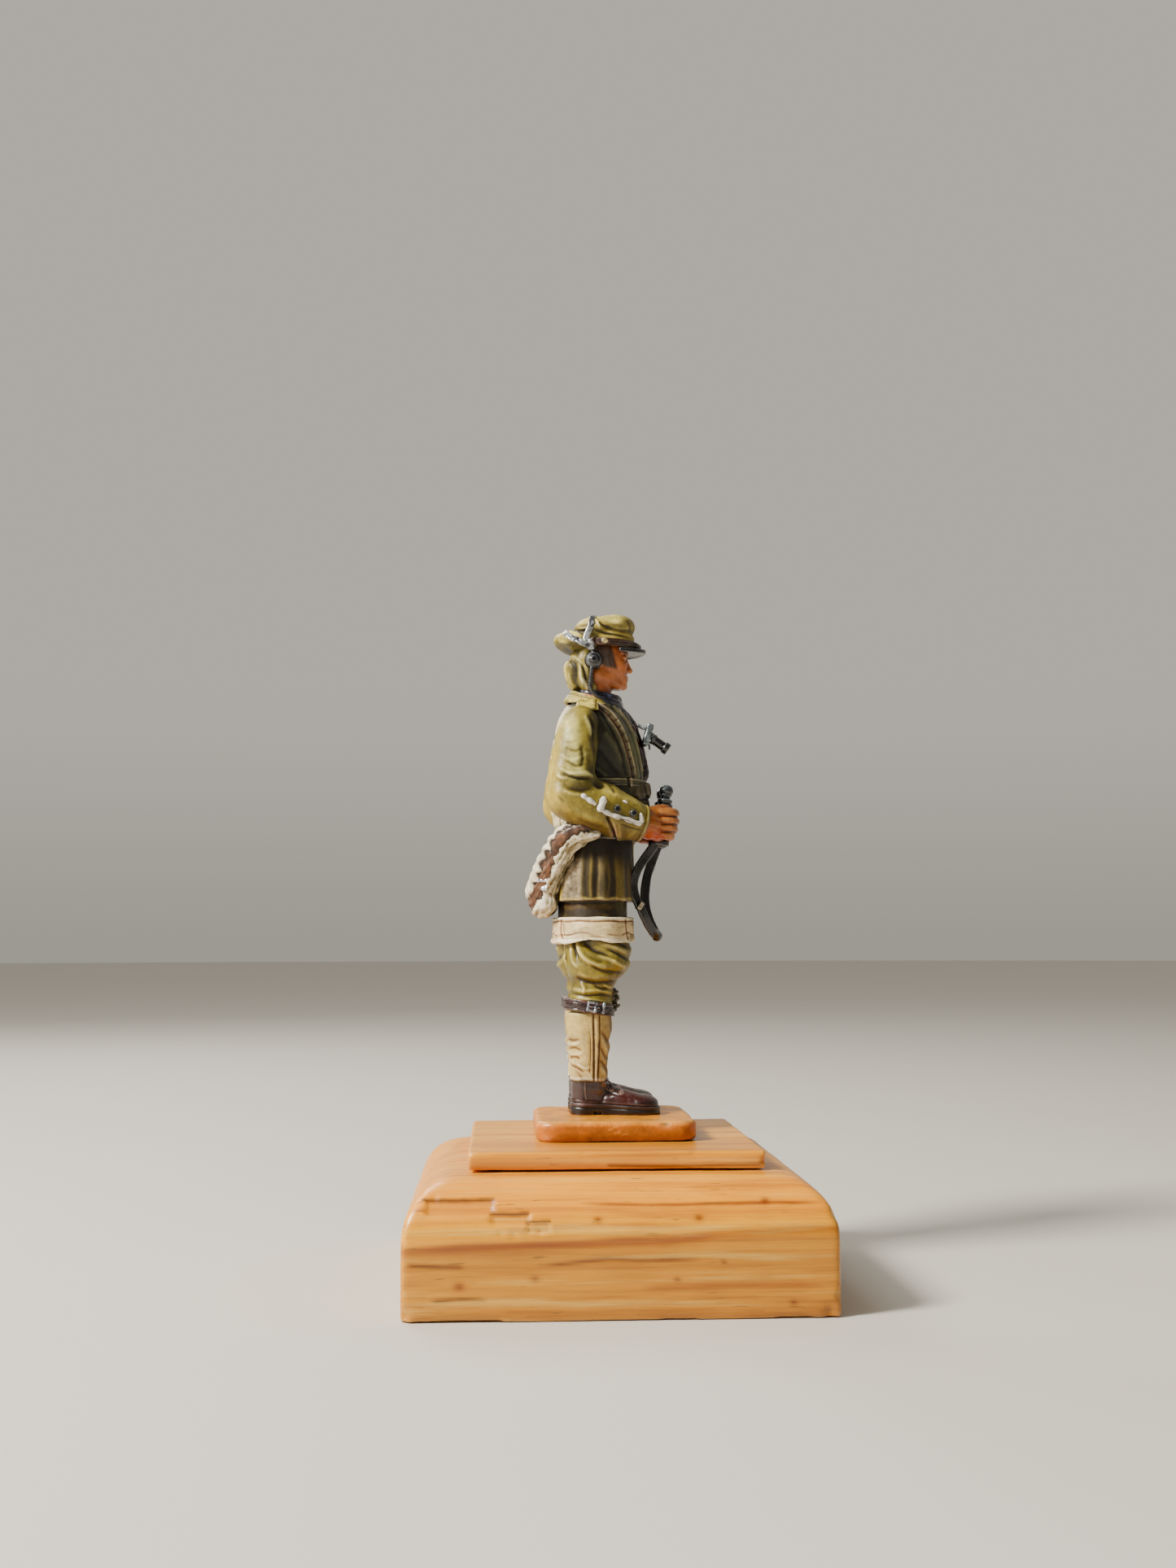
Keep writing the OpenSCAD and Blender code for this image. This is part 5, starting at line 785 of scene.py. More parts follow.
def belt():
    g = Grid((-8.0, -7.2, 41.2), (5.6, 7.2, 43.4), 0.11); P = g.P; z0 = 42.25 + .02 * P[0]
    rho = (np.abs((P[0] + 1.25) / 6.10) ** 2.2 + np.abs(P[1] / 6.40) ** 2.2) ** (1 / 2.2); q = np.sqrt((P[0] + 1.25) ** 2 + P[1] ** 2) * (1 - 1 / (rho + 1e-6))
    F = smax(np.abs(q) - .26, np.abs(P[2] - z0) - .46, .16)
    s = Sculpt(F, g); z = s.z - 42.25 - .02 * s.x; s.fill(lin((104, 100, 74)))
    s._acc = .05 * np.exp(-((np.abs(z) - .36) / .09) ** 2) - .05 * np.exp(-((np.abs(z) - .2) / .07) ** 2); s.flush(); s.rough(.07, (1.2, 1.2, .5), 151, 3)
    # painted highlight along the top edge and painted shade along the lower edge of the belt
    s.paint(.85 * np.exp(-((z - .36) / .12) ** 2), lin((164, 158, 128))); s.paint(.8 * np.exp(-((z + .40) / .12) ** 2), lin((40, 34, 22))); s.paint(.5 * ss(.1, .6, fbm(s.V, (1, 1, .4), 152)), lin((150, 140, 106)))
    for sd in (-1, 1):
        s.stroke([(2.35, 43), (2.4, 41.5)], .12, -.12, sd, False, lin((34, 26, 18)), .12); s.stroke([(2.75, 43), (2.8, 41.5)], .14, .10, sd, False, lin((190, 168, 140)), .1)
    s.flush(); piece("waist_belt_sculpt", s, ["waist_belt"], BELT)
    g = Grid((1.6, -5.0, 35.4), (6.4, 1.6, 43.6), 0.12); P = g.P
    F = smin(rbox(P, (3.7, -1.9, 40.2), (1.55, 2.15, 2.15), .7, rotm(0, -4, 0)), ell(P, (3.9, -1.9, 38.4), (1.45, 2.3, 1.7)), .5)
    flap = rbox(P, (3.85, -1.9, 41.35), (1.62, 2.3, 1.0), .55, rotm(0, -6, 0)); F = smin(F, flap, .1)
    s = Sculpt(F, g); s.fill(lin((112, 104, 84)))
    # painted shade under the flap and in the grooves, painted highlight on the raised bulge
    s.stroke([(2.5, 40.4), (3.6, 40.1), (5.3, 40.35)], .16, -.14, None, False, lin((36, 26, 20)), .12)
    for yy in (-3.4, -.4): d = np.abs(s.y - yy); m = np.exp(-(d / .15) ** 2) * (s.N[:, 0] > .2); s._acc = s._acc - .10 * m; s.paint(.6 * m, lin((50, 40, 30)))
    for sd in (-1,): 
        s.stroke([(2.75, 42.2), (2.7, 40), (2.8, 37.6)], .14, -.12, sd, False, lin((34, 26, 20)), .12); s.stroke([(3.5, 42.0), (3.9, 40), (3.7, 38)], .45, .10, sd, True, lin((150, 140, 116)), .3); s.stroke([(4.5, 42.3), (4.9, 40.5), (4.8, 38.4)], .12, -.10, sd, True, lin((44, 32, 24)), .1)
    s.flush(); s.rough(.09, (1.1, 1.1, 1.1), 153, 3); s.paint(.5 * ss(.2, .7, -fbm(s.V, (1, 1, 1.4), 154)), lin((60, 48, 38)))
    d = np.sqrt((s.y + 1.9) ** 2 + (s.z - 40.4) ** 2); s._acc = .12 * np.exp(-(d / .35) ** 2) * (s.N[:, 0] > .3); s.paint(.8 * np.exp(-(d / .3) ** 2) * (s.N[:, 0] > .3), lin((168, 160, 140))); s.flush()
    piece("front_pouch_sculpt", s, ["front_pouch"], BELT)
def crescent(t, dr=0.0, dz=0.0):
    t = math.radians(t); c = math.cos(t); return A([-1.35 - (6.6 + dr) * c * (1 + .10 * c), (7.7 + dr) * math.sin(t), 35.6 - 8.0 * max(c, 0) ** 3.4 + dz])
def band_mask(s, t, seed):
    """1 on the brown band; it slides from the upper face at the hips to the lower outer face at the back."""
    C = np.stack([crescent(k) for k in range(-90, 91, 3)]); i = np.arange(-90, 91, 3); o = s.V - np.stack([np.interp(t, i, C[:, j]) for j in range(3)], 1); c = np.cos(np.radians(t))
    v = np.arctan2(o[:, 2], -o[:, 0] * c + o[:, 1] * np.sin(np.radians(t))); rag = .10 * np.sin(t * .9) + .16 * fbm(np.stack([t * .3, 0 * t, 0 * t], 1), (1, 1, 1), seed)
    return np.abs(v - (.62 - 1.15 * c ** 2)) / (.38 + .8 * rag)
def sheepskin():
    g = Grid((-11.0, -10.2, 23.6), (-.2, 10.2, 37.4), 0.155); P = g.P; ts = np.linspace(-84, 84, 25)
    F = tube(P, [crescent(t, 0, -.2 * math.cos(math.radians(t))) for t in ts], [.45 + 1.42 * math.cos(math.radians(t)) ** .7 for t in ts], .3)
    F = smin(F, tube(P, [crescent(t, -.1, -1.15 * math.cos(math.radians(t))) for t in ts[5:-5]], [.6 + .6 * math.cos(math.radians(t)) for t in ts[5:-5]], .3), .7)
    F = smin(F, tube(P, [(-8.1, -3.4, 26.7), (-8.3, 0, 26.3), (-8.1, 3.4, 26.7)], 1.35, .3), .8)
    s = Sculpt(F, g); s.fill(lin((226, 218, 192)))
    th = np.degrees(np.arctan2(s.y / 8.1, -(s.x + 1.6) / 7.1))                     # place round the body
    C = A([crescent(t) for t in range(-88, 89, 4)]); d, t = seg_dist(s.V, C, (0, 1, 2)); t = t * 176 - 88
    c = np.stack([np.interp(t, np.arange(-88, 89, 4), C[:, i]) for i in range(3)], 1); o = s.V - c; v = np.arctan2(o[:, 2], -o[:, 0] * np.cos(np.radians(t)) + o[:, 1] * np.sin(np.radians(t)))
    # long locks that run along the roll
    lk = fbm(np.stack([t * .14, v * 1.6, 0 * t], 1), (1.9, .42, 1), 161, 3); s._acc = .20 * lk; s.flush()
    lk2 = fbm(np.stack([t * .14, v * 1.6, 0 * t], 1), (.9, .22, 1), 162, 2); s._acc = .10 * lk2; s.flush()
    s.paint(.7 * ss(.05, .5, -lk), lin((158, 142, 100))); s.paint(.6 * ss(.15, .6, -lk2), lin((112, 92, 60))); s.paint(.7 * ss(.1, .5, lk), lin((246, 242, 226)))
    # painted shade on the underside of the roll
    low = ss(-.5, -1.3, v) * ss(-3.0, -2.0, v); s.paint(.75 * low * ss(-.2, .4, fbm(s.V, (1.2, 1.2, 1.2), 163)), lin((96, 90, 48)))
    br = ss(29.6, 28.0, s.z) * ss(24, 27, s.z + 3 * ss(.2, -.4, fbm(s.V, (1.3, 1.3, 1.3), 164))); s.paint(.55 * ss(.1, .5, fbm(s.V, (.9, .9, .9), 165)) * ss(29.4, 27.6, s.z), lin((128, 84, 58)))
    s.paint(.7 * ss(26.6, 25.0, s.z) * ss(-.2, .4, fbm(s.V, (1.1, 1.1, .8), 166)), lin((146, 84, 50))); s.paint(.5 * ss(.25, .6, fbm(s.V, (.8, .8, .8), 167)) * ss(28.5, 26.5, s.z), lin((240, 232, 214)))
    q = band_mask(s, t, 172); m = ss(1.05, .92, q) * ss(80, 74, np.abs(t)); s.paint(.92 * m, lin((118, 80, 52))); s.paint(.5 * m * ss(.0, .5, fbm(s.V, (1.1, 1.1, 1.1), 169)), lin((150, 108, 74)))
    e = np.exp(-((q - 1.0) / .13) ** 2) * ss(80, 74, np.abs(t)); s._acc = -.12 * e - .05 * m + .08 * ss(1.05, 1.2, q) * ss(1.8, 1.4, q) * (1 + .7 * np.sin(t * .9)); s.paint(.75 * e, lin((54, 34, 20))); s.flush()
    s.rough(.14, (.9, .9, .9), 168, 3)
    piece("sheepskin_roll_sculpt", s, ["sheepskin_roll"], FLEECE)
    # brown band on the outer upper face, with a ragged fleece edge
    g = Grid((-11.2, -10.0, 26.4), (-2.0, 10.0, 37.2), 0.13); P = g.P; ts = np.linspace(-72, 72, 29)
    F = tube(P, [crescent(t, .55, .75) + [0, 0, 0] for t in ts], [1.35 if abs(t) < 60 else 1.15 for t in ts], .2)
    s = Sculpt(F, g); C2 = A([crescent(t, .55, .75) for t in range(-76, 77, 4)]); d, t = seg_dist(s.V, C2, (0, 1, 2)); t = t * 152 - 76
    c = np.stack([np.interp(t, np.arange(-76, 77, 4), C2[:, i]) for i in range(3)], 1); o = s.V - c; v = np.arctan2(o[:, 2], -o[:, 0] * np.cos(np.radians(t)) + o[:, 1] * np.sin(np.radians(t)))
    s.fill(lin((104, 72, 46))); n1 = fbm(np.stack([t * .14, v * 1.3, 0 * t], 1), (.8, .5, 1), 171, 3)
    s.paint(.6 * ss(.0, .5, n1), lin((150, 110, 76))); s.paint(.6 * ss(.1, .6, -n1), lin((66, 40, 24)))
    q = band_mask(s, t, 172); e = (q - 1.0) * .5; wf = ss(0, .08, e); s.paint(.95 * wf, lin((236, 228, 208)))
    s._acc = .15 * wf * (1 + .7 * np.sin(t * .9)) - .16 * np.exp(-(e / .14) ** 2) + .05 * n1; s.flush()
    s.paint(.7 * np.exp(-(e / .10) ** 2), lin((50, 30, 18)))
    s.rough(.08, (.8, .8, .8), 173, 3)
    piece("roll_band_sculpt", s, ["roll_band"], LEATH)
    # buckle and tab on each side of the roll
    g = Grid((-10.2, -10, 27.4), (-5.8, 10, 32.6), 0.10); P = g.P; F = None
    for sg in (-1, 1):
        c = crescent(sg * 30, .95, -.55); R = rotm(0, 18, sg * -48)
        d = smax(rbox(P, c, (.45, .95, .85), .22, R), -rbox(P, c, (.9, .50, .38), .15, R), .1); d = np.minimum(d, rbox(P, c, (.34, .12, .8), .1, R)); d = np.minimum(d, rbox(P, c + [.15, sg * .1, -1.15], (.35, .6, .7), .25, R)); F = d if F is None else np.minimum(F, d)
    s = Sculpt(F, g); s.rough(.10, .6, 175, 3); s.fill(lin((214, 214, 220))); s.paint(.7 * ss(.0, .4, -fbm(s.V, .45, 176)), lin((70, 70, 84))); s.paint(.5 * ss(.2, .6, fbm(s.V, .6, 177)), lin((176, 148, 168)))
    piece("roll_buckles", s, None, SILV)

# ================================================================ arms, hands, binoculars
FLESH = enamel("flesh_enamel", rough=0.40, spec=0.45, coat=0.18, wash_and_shade=(0.52, 0.30, 0.14), wash_and_shade_k=0.85, edge=0.35, edgec=(1.0, 0.84, 0.58), streak=(420, 420, 420), sk=0.08, mott=0.14, bump=0.22)
BLACK = enamel("black_enamel", rough=0.28, spec=0.55, coat=0.4, wash_and_shade=(0.3, 0.3, 0.32), edge=0.55, edgec=(0.50, 0.54, 0.58), sk=0.10, mott=0.2, bump=0.25)
WHITE = enamel("braid_white_enamel", rough=0.42, spec=0.45, coat=0.1, wash_and_shade=(0.42, 0.38, 0.36), wash_and_shade_k=0.9, edge=0.35, edgec=(1, 1, 1), sk=0.05, mott=0.08)
OPTIC = enamel("optic_grey_enamel", rough=0.26, spec=0.6, coat=0.5, metal=0.25, wash_and_shade=(0.2, 0.22, 0.26), edge=0.7, edgec=(0.86, 0.90, 0.94), sk=0.08, mott=0.25, bump=0.2)
def sleeve(sg):
    nm = "right" if sg < 0 else "left"; sq = .90
    g = Grid((-8.8, min(sg * 3.2, sg * 10.9), 33.9), (5.6, max(sg * 3.2, sg * 10.9), 52.9), 0.155)
    P = (g.P[0], (g.P[1] - sg * 7) / sq, g.P[2]); Y = lambda y: (sg * y - sg * 7) / sq
    F = tube(P, [(-3.9, Y(6.5), 49.7), (-4.35, Y(7.0), 47.6), (-4.7, Y(7.4), 45.6), (-5.0, Y(7.8), 42.8), (-5.15, Y(7.95), 40.6)], [2.40, 2.60, 2.62, 2.80, 2.98], .8)
    fore = tube(P, [(-5.1, Y(7.95), 40.0), (-3.2, Y(7.65), 39.35), (-1.2, Y(7.15), 38.85), (1.2, Y(6.35), 37.75), (4.6, Y(5.2), 36.8)], [2.95, 3.08, 3.12, 2.85, 2.32], .8)
    F = smin(F, fore, 1.0) * sq
    R = rotm(0, 15, sg * -18); x, y, z = into(g.P, (4.25, sg * 5.2, 36.9), R); F = smax(F, x, .18)
    bore = cap(P, (3.2, Y(5.5), 37.1), (5.6, Y(4.9), 36.6), 1.85) * sq; F = smax(F, -bore, .15)
    s = Sculpt(F, g); s.fill(lin((158, 146, 76)))
    x, z = s.x, s.z; up = ss(41.0, 43.0, z)
    H, M, D, Yl = lin((226, 222, 164)), lin((190, 180, 108)), lin((60, 54, 24)), lin((206, 184, 100))
    # painted light: highlight H on the upper arm, painted shade D on its front, yellow Yl on the lit back edge, a
    # darker lower half, a lighter forearm top and painted shade in the inner elbow
    s.paint(.75 * up * np.exp(-((x + 5.0 - .10 * (47 - z)) / 1.0) ** 2) * ss(51, 49.5, z) , H)
    s.paint(.7 * up * ss(-3.6, -2.4, x + .05 * (46 - z)), D); s.paint(.55 * up * ss(-6.2, -7.2, x - .06 * (44 - z) * -1), Yl)
    s.paint(.55 * ss(42.5, 40.5, z) * ss(-6.0, -7.6, x), Yl)
    s.paint(.55 * ss(38.5, 36.2, z + .22 * (x + 3)) * ss(43, 40, z), lin((138, 118, 52))); s.paint(.6 * ss(37.2, 35.8, z + .17 * (x + 3)) * ss(41, 38, z), lin((104, 78, 38)))
    s.paint(.6 * (1 - up) * np.exp(-((z - 40.9 + .33 * (x + 1.2)) / .8) ** 2) * ss(-2.6, -.8, x), lin((202, 188, 108)))
    inner = np.exp(-(np.hypot((x + 3.9) / 1.9, (z - 41.6) / .95)) ** 2); s.paint(.85 * inner, lin((104, 94, 34)))
    # fold strokes: painted highlights on the ridges and painted shade in the hollows, weaker on the inner side
    for k, sd in ((1, sg), (.55, -sg)):
        for pts, w, am, c, cw in (([(-6.6, 43.6), (-5.6, 42.9), (-4.6, 42.75), (-3.2, 42.9), (-2.3, 42.5)], .32, .30, H, .26), ([(-6.9, 42.9), (-6.4, 42.35), (-5.6, 42.2)], .26, .30, lin((236, 230, 182)), .20), ([(-6.2, 43.0), (-5.2, 42.5), (-4.1, 42.3), (-2.9, 42.4)], .22, -.32, D, .20),
                                  ([(-6.3, 41.4), (-5.0, 40.9), (-3.6, 40.8), (-2.2, 41.3)], .4, -.30, lin((110, 98, 36)), .4), ([(-2.3, 42.0), (-1.5, 41.4), (-.9, 41.7)], .4, -.34, D, .4), ([(-6.1, 40.7), (-4.9, 40.2), (-3.9, 40.2)], .26, .20, M, .22),
                                  ([(-5.8, 44.6), (-4.6, 43.9), (-3.4, 44.1)], .24, -.13, lin((120, 110, 46)), .24), ([(-6.5, 45.3), (-5.4, 44.7), (-4.4, 44.7), (-3.1, 45.6)], .24, .12, H, .26), ([(-5.9, 46.2), (-4.6, 45.8), (-3.5, 46.4)], .2, -.09, lin((128, 118, 50)), .2),
                                  ([(-6.4, 47.0), (-5.2, 46.9), (-4.3, 47.3)], .2, -.06, lin((146, 134, 60)), .2), ([(-5.6, 49.2), (-5.1, 47.9), (-5.0, 46.8)], .4, .06, H, .3), ([(-3.4, 50.6), (-2.9, 49.2), (-2.6, 47.8)], .3, .18, H, .2), ([(-2.7, 50.6), (-2.3, 49.0), (-2.5, 47.2)], .2, -.2, D, .2),
                                  ([(-3.0, 47.2), (-2.7, 45.6), (-2.6, 44)], .35, .16, lin((150, 142, 66)), .2), ([(-3.9, 46.6), (-3.7, 45.2), (-3.9, 43.8)], .3, -.18, lin((96, 88, 34)), .26), ([(-7.2, 41.0), (-6.4, 39.0), (-5.0, 37.8)], .5, .08, Yl, .4),
                                  ([(-6.9, 40.0), (-6.0, 39.2)], .28, -.12, lin((130, 112, 50)), .2), ([(-5.0, 38.4), (-3.0, 37.4), (-1.2, 36.8)], .5, .10, M, .4), ([(-4.6, 37.3), (-2.6, 36.5), (-.9, 36.1)], .3, -.10, lin((112, 90, 42)), .26),
                                  ([(-1.2, 40.8), (.6, 40.2), (2.2, 39.6)], .3, .12, lin((214, 200, 122)), .26), ([(-.5, 41.9), (.2, 41.0), (.2, 40.3)], .25, -.14, D, .2), ([(2.0, 39.9), (3.4, 39.3), (4.2, 38.9)], .25, .10, M, .2)):
            s.stroke(pts, w, am * k, sd, True, c, cw, op=.75 * k)
        s.stroke([(-.55, 37.3), (-.1, 36.4), (.35, 35.4), (.55, 34.6)], .20, -.42 * k, sd, False, lin((104, 60, 46)), .22); s.stroke([(.15, 36.9), (.5, 35.9), (.7, 35.0)], .16, .12 * k, sd, True, lin((196, 160, 140)), .12)
        s.stroke([(.9, 36.9), (1.0, 35.8), (1.2, 34.8)], .28, .16 * k, sd, True, lin((168, 150, 84)), .2); s.stroke([(.9, 36.7), (2.4, 36.2), (3.9, 35.9)], .14, -.12 * k, sd, True, lin((112, 92, 52)), .1)
    cx = A([math.cos(math.radians(15)), 0, -math.sin(math.radians(15))]); q = (s.V - A([4.25, sg * 5.2, 36.9])) @ R[:, 0]
    # painted shade round the inside of the cuff opening
    s.paint(.9 * np.exp(-((q + .05) / .14) ** 2), lin((30, 22, 24))); s._acc = s._acc + .10 * np.exp(-((q + .38) / .16) ** 2) - .08 * np.exp(-((q + .62) / .1) ** 2)
    s.flush(); s.rough(.10, (1.9, 1.9, 1.5), 181 + sg, 3)
    s.paint(.30 * ss(.05, .6, fbm(s.V, (1.6, 1.6, 2.2), 183)), lin((198, 186, 110))); s.paint(.30 * ss(.1, .7, -fbm(s.V, (1.3, 1.3, 2.0), 184)), lin((112, 98, 44)))
    pinh = vnoise(s.V, .22, 185); s.paint(.6 * ss(.86, .95, pinh), lin((40, 34, 16)))
    piece(nm + "_sleeve_sculpt", s, [nm + "_sleeve"], KHAKI)
    return s
def on_sleeve(s, sg, x, z, out=0.0):
    """Where the outside of a sleeve is, at a place given in side view."""
    near = np.hypot(s.x - x, s.z - z) < .45; yy = s.y[near] * sg
    return A([x, sg * (yy.max() + out), z]) if len(yy) else A([x, sg * 8.0, z])
def trims(sleeves):
    K, W = lin((28, 24, 26)), lin((232, 230, 224))
    for sg in (-1, 1):
        s0 = sleeves[sg]; at = lambda x, z, o=0.0: on_sleeve(s0, sg, x, z, o)
        runs = [[(-3.75, 40.05), (-3.1, 39.6), (-2.25, 39.05)], [(-1.15, 39.75), (-1.35, 39.0), (-1.5, 38.35), (-.7, 37.95), (.2, 37.6), (1.3, 37.35), (2.5, 37.0), (3.45, 36.7), (3.75, 37.0), (3.7, 37.85)]]
        lo = A([-4.6, min(sg * 4.5, sg * 11.4), 35.6]); hi = A([4.8, max(sg * 4.5, sg * 11.4), 41.2])
        g = Grid(lo, hi, 0.075); P = g.P; F = B = None
        for r in runs:
            p3 = [at(x, z, .02) for x, z in r]; p3 = spline(p3, 4 * len(p3)); wd = [(.28 if len(r) < 4 else .30) + .05 * math.sin(i * 1.1) + (.13 if 1 < i < 9 and len(r) > 4 else 0) for i in range(len(p3))]
            d = tube(P, p3, wd, .1); F = d if F is None else np.minimum(F, d)
        s = Sculpt(F, g, 2); s.fill(W); s.rough(.09, (.7, .7, .5), 191, 3)
        base = A([on_sleeve(s0, sg, x, z) for x, z in ((-3, 39.6), (-1.4, 39), (.2, 37.7), (2.4, 37.1), (3.7, 37.3))])
        yb = np.interp(s.x, base[:, 0], base[:, 1] * sg); s.paint(.95 * ss(.12, -.02, s.y * sg - yb), K); s.paint(.5 * ss(.15, .6, -fbm(s.V, (.5, .5, .4), 192)), lin((150, 144, 140)))
        s.stroke([(.6, 37.3), (2, 36.95), (3.2, 36.6)], .10, -.14, sg, True, lin((120, 112, 108)), .07); s.flush()
        piece(("right" if sg < 0 else "left") + "_cuff_braid", s, ["cuff_braid"] if sg < 0 else None, WHITE)
        F = None
        for x, z, r in ((.62, 38.45, .42), (2.75, 38.0, .42)):
            c = at(x, z, .06); R = rotm(90, 0, sg * -14); d = cyl(P, c - [0, sg * .10, 0], r, .42, R, .12); F = d if F is None else np.minimum(F, d)
        s = Sculpt(F, g, 1); s.fill(lin((20, 18, 22))); s.rough(.03, .3, 193, 2); piece(("right" if sg < 0 else "left") + "_cuff_buttons", s, ["cuff_buttons"] if sg < 0 else None, BLACK)
        F = None
        for x, z in ((.62, 38.45), (2.75, 38.0)):
            c = at(x, z, .0); R = rotm(90, 0, sg * -14); d = torus(P, c, .50, .06, R); F = d if F is None else np.minimum(F, d)
        kn = at(1.75, 39.2, -.15); F = np.minimum(F, ell(P, kn + [-.1, -.1 * sg, .25], (.38, .25, .18), rotm(0, 25, 0)))
        s = Sculpt(F, g, 1); s.fill(lin((120, 104, 74))); s.paint(ss(38.9, 39.05, s.z), W); s.rough(.05, .4, 194, 2); piece(("right" if sg < 0 else "left") + "_cuff_loops", s, None, WHITE)
AX = A([math.sin(math.radians(8)), 0, math.cos(math.radians(8))])
def hand(sg):
    nm = "right" if sg < 0 else "left"; Y = lambda y: sg * y
    g = Grid((2.9, min(Y(.6), Y(6.9)), 33.9), (9.5, max(Y(.6), Y(6.9)), 40.1), 0.092); P = g.P
    F = cap(P, (3.3, Y(5.35), 36.8), (4.9, Y(4.75), 36.95), 1.62, 1.75)
    F = smin(F, rbox(P, (5.6, Y(4.25), 36.95), (1.35, 1.05, 2.05), .85, rotm(0, 6, sg * -22)), .5)
    F = smin(F, ell(P, (6.3, Y(3.6), 36.9), (1.6, 1.2, 2.15)), .4)
    zs = [38.40, 37.38, 36.36, 35.42]; rs = [.62, .65, .62, .55]
    for i, (z, r) in enumerate(zip(zs, rs)):
        sh = .12 * (z - 37); e = (0, .10, .05, -.18)[i]
        pts = spline([(5.7 + sh, Y(4.55), z + .05), (7.0 + sh, Y(4.55), z + .12), (8.15 + e + sh, Y(3.85), z), (8.35 + e + sh, Y(2.55), z - .08), (7.6 + sh, Y(1.55), z - .05)], 14)
        f = tube(P, [tuple(p) for p in pts], [r * (.88 if k < 4 else 1.0 if k < 9 else .9) for k in range(14)], .12); F = smin(F, f, .10)
    th = spline([(4.9, Y(4.6), 38.2), (5.9, Y(4.2), 38.75), (7.0, Y(3.45), 39.0), (7.9, Y(2.6), 38.95)], 10); F = smin(F, tube(P, [tuple(p) for p in th], [.78, .74, .7, .66, .62, .6, .58, .56, .55, .5], .1), .16)
    s = Sculpt(F, g, 2); s.fill(lin((184, 127, 58)))
    D, L = lin((96, 44, 20)), lin((226, 170, 112))
    for z in (37.9, 36.88, 35.9):      # painted shade in the clefts between the fingers
        d = np.abs(s.z - z - .12 * 0 - .03 * (s.x - 7)); m = np.exp(-(d / .13) ** 2) * ss(6.6, 7.4, s.x + .4 * (sg * s.y < 4)); s._acc = getattr(s, "_acc", 0) - .10 * m; s.paint(.8 * m, D)
    # painted highlights on the knuckles
    for z in zs: 
        d = np.sqrt(((s.x - 7.9) / .5) ** 2 + ((s.z - z - .1) / .33) ** 2); s.paint(.6 * np.exp(-d ** 2) * (sg * s.y > 2.5), L)
        d = np.sqrt(((s.x - 6.7) / .8) ** 2 + ((s.z - z - .15) / .22) ** 2); m = np.exp(-d ** 2) * (s.N[:, 1] * sg > 0); s.paint(.35 * m, L); s._acc = s._acc + .05 * m
    # painted shade in the creases over the back of the hand and the wrist
    for pts in ([(5.2, 38.3), (6.4, 37.9), (7.2, 38.0)], [(5.0, 37.5), (6.2, 37.2), (7.0, 37.1)], [(5.0, 36.6), (6.2, 36.3), (7.0, 36.0)], [(4.9, 35.8), (6.0, 35.6), (6.9, 35.4)]): s.stroke(pts, .18, -.05, sg, True, lin((176, 86, 40)), .14, op=.5)
    s.stroke([(4.6, 38.6), (4.4, 37.4), (4.5, 36.0)], .3, -.05, sg, True, lin((186, 100, 50)), .2)
    # painted shade at the bottom of the fist, painted highlight on its top and on the thumb tip
    s.paint(.75 * ss(36.8, 35.0, s.z) * ss(8.0, 6.2, s.x), lin((184, 84, 34))); s.paint(.5 * ss(38.5, 39.3, s.z), lin((216, 150, 92))); s.paint(.5 * ss(35.1, 34.6, s.z), lin((120, 42, 18)))
    tn = th[-1]; d = np.sqrt(((s.V - tn - A([0, 0, .45])) ** 2).sum(1)); s.paint(.6 * np.exp(-(d / .32) ** 2), lin((240, 190, 150)))
    s.flush(); s.rough(.05, (.8, .8, .8), 201 + sg, 3); s.paint(.3 * ss(.1, .6, fbm(s.V, (1, 1, .8), 203)), lin((224, 140, 84)))
    piece(nm + "_hand_sculpt", s, [nm + "_hand"], FLESH)
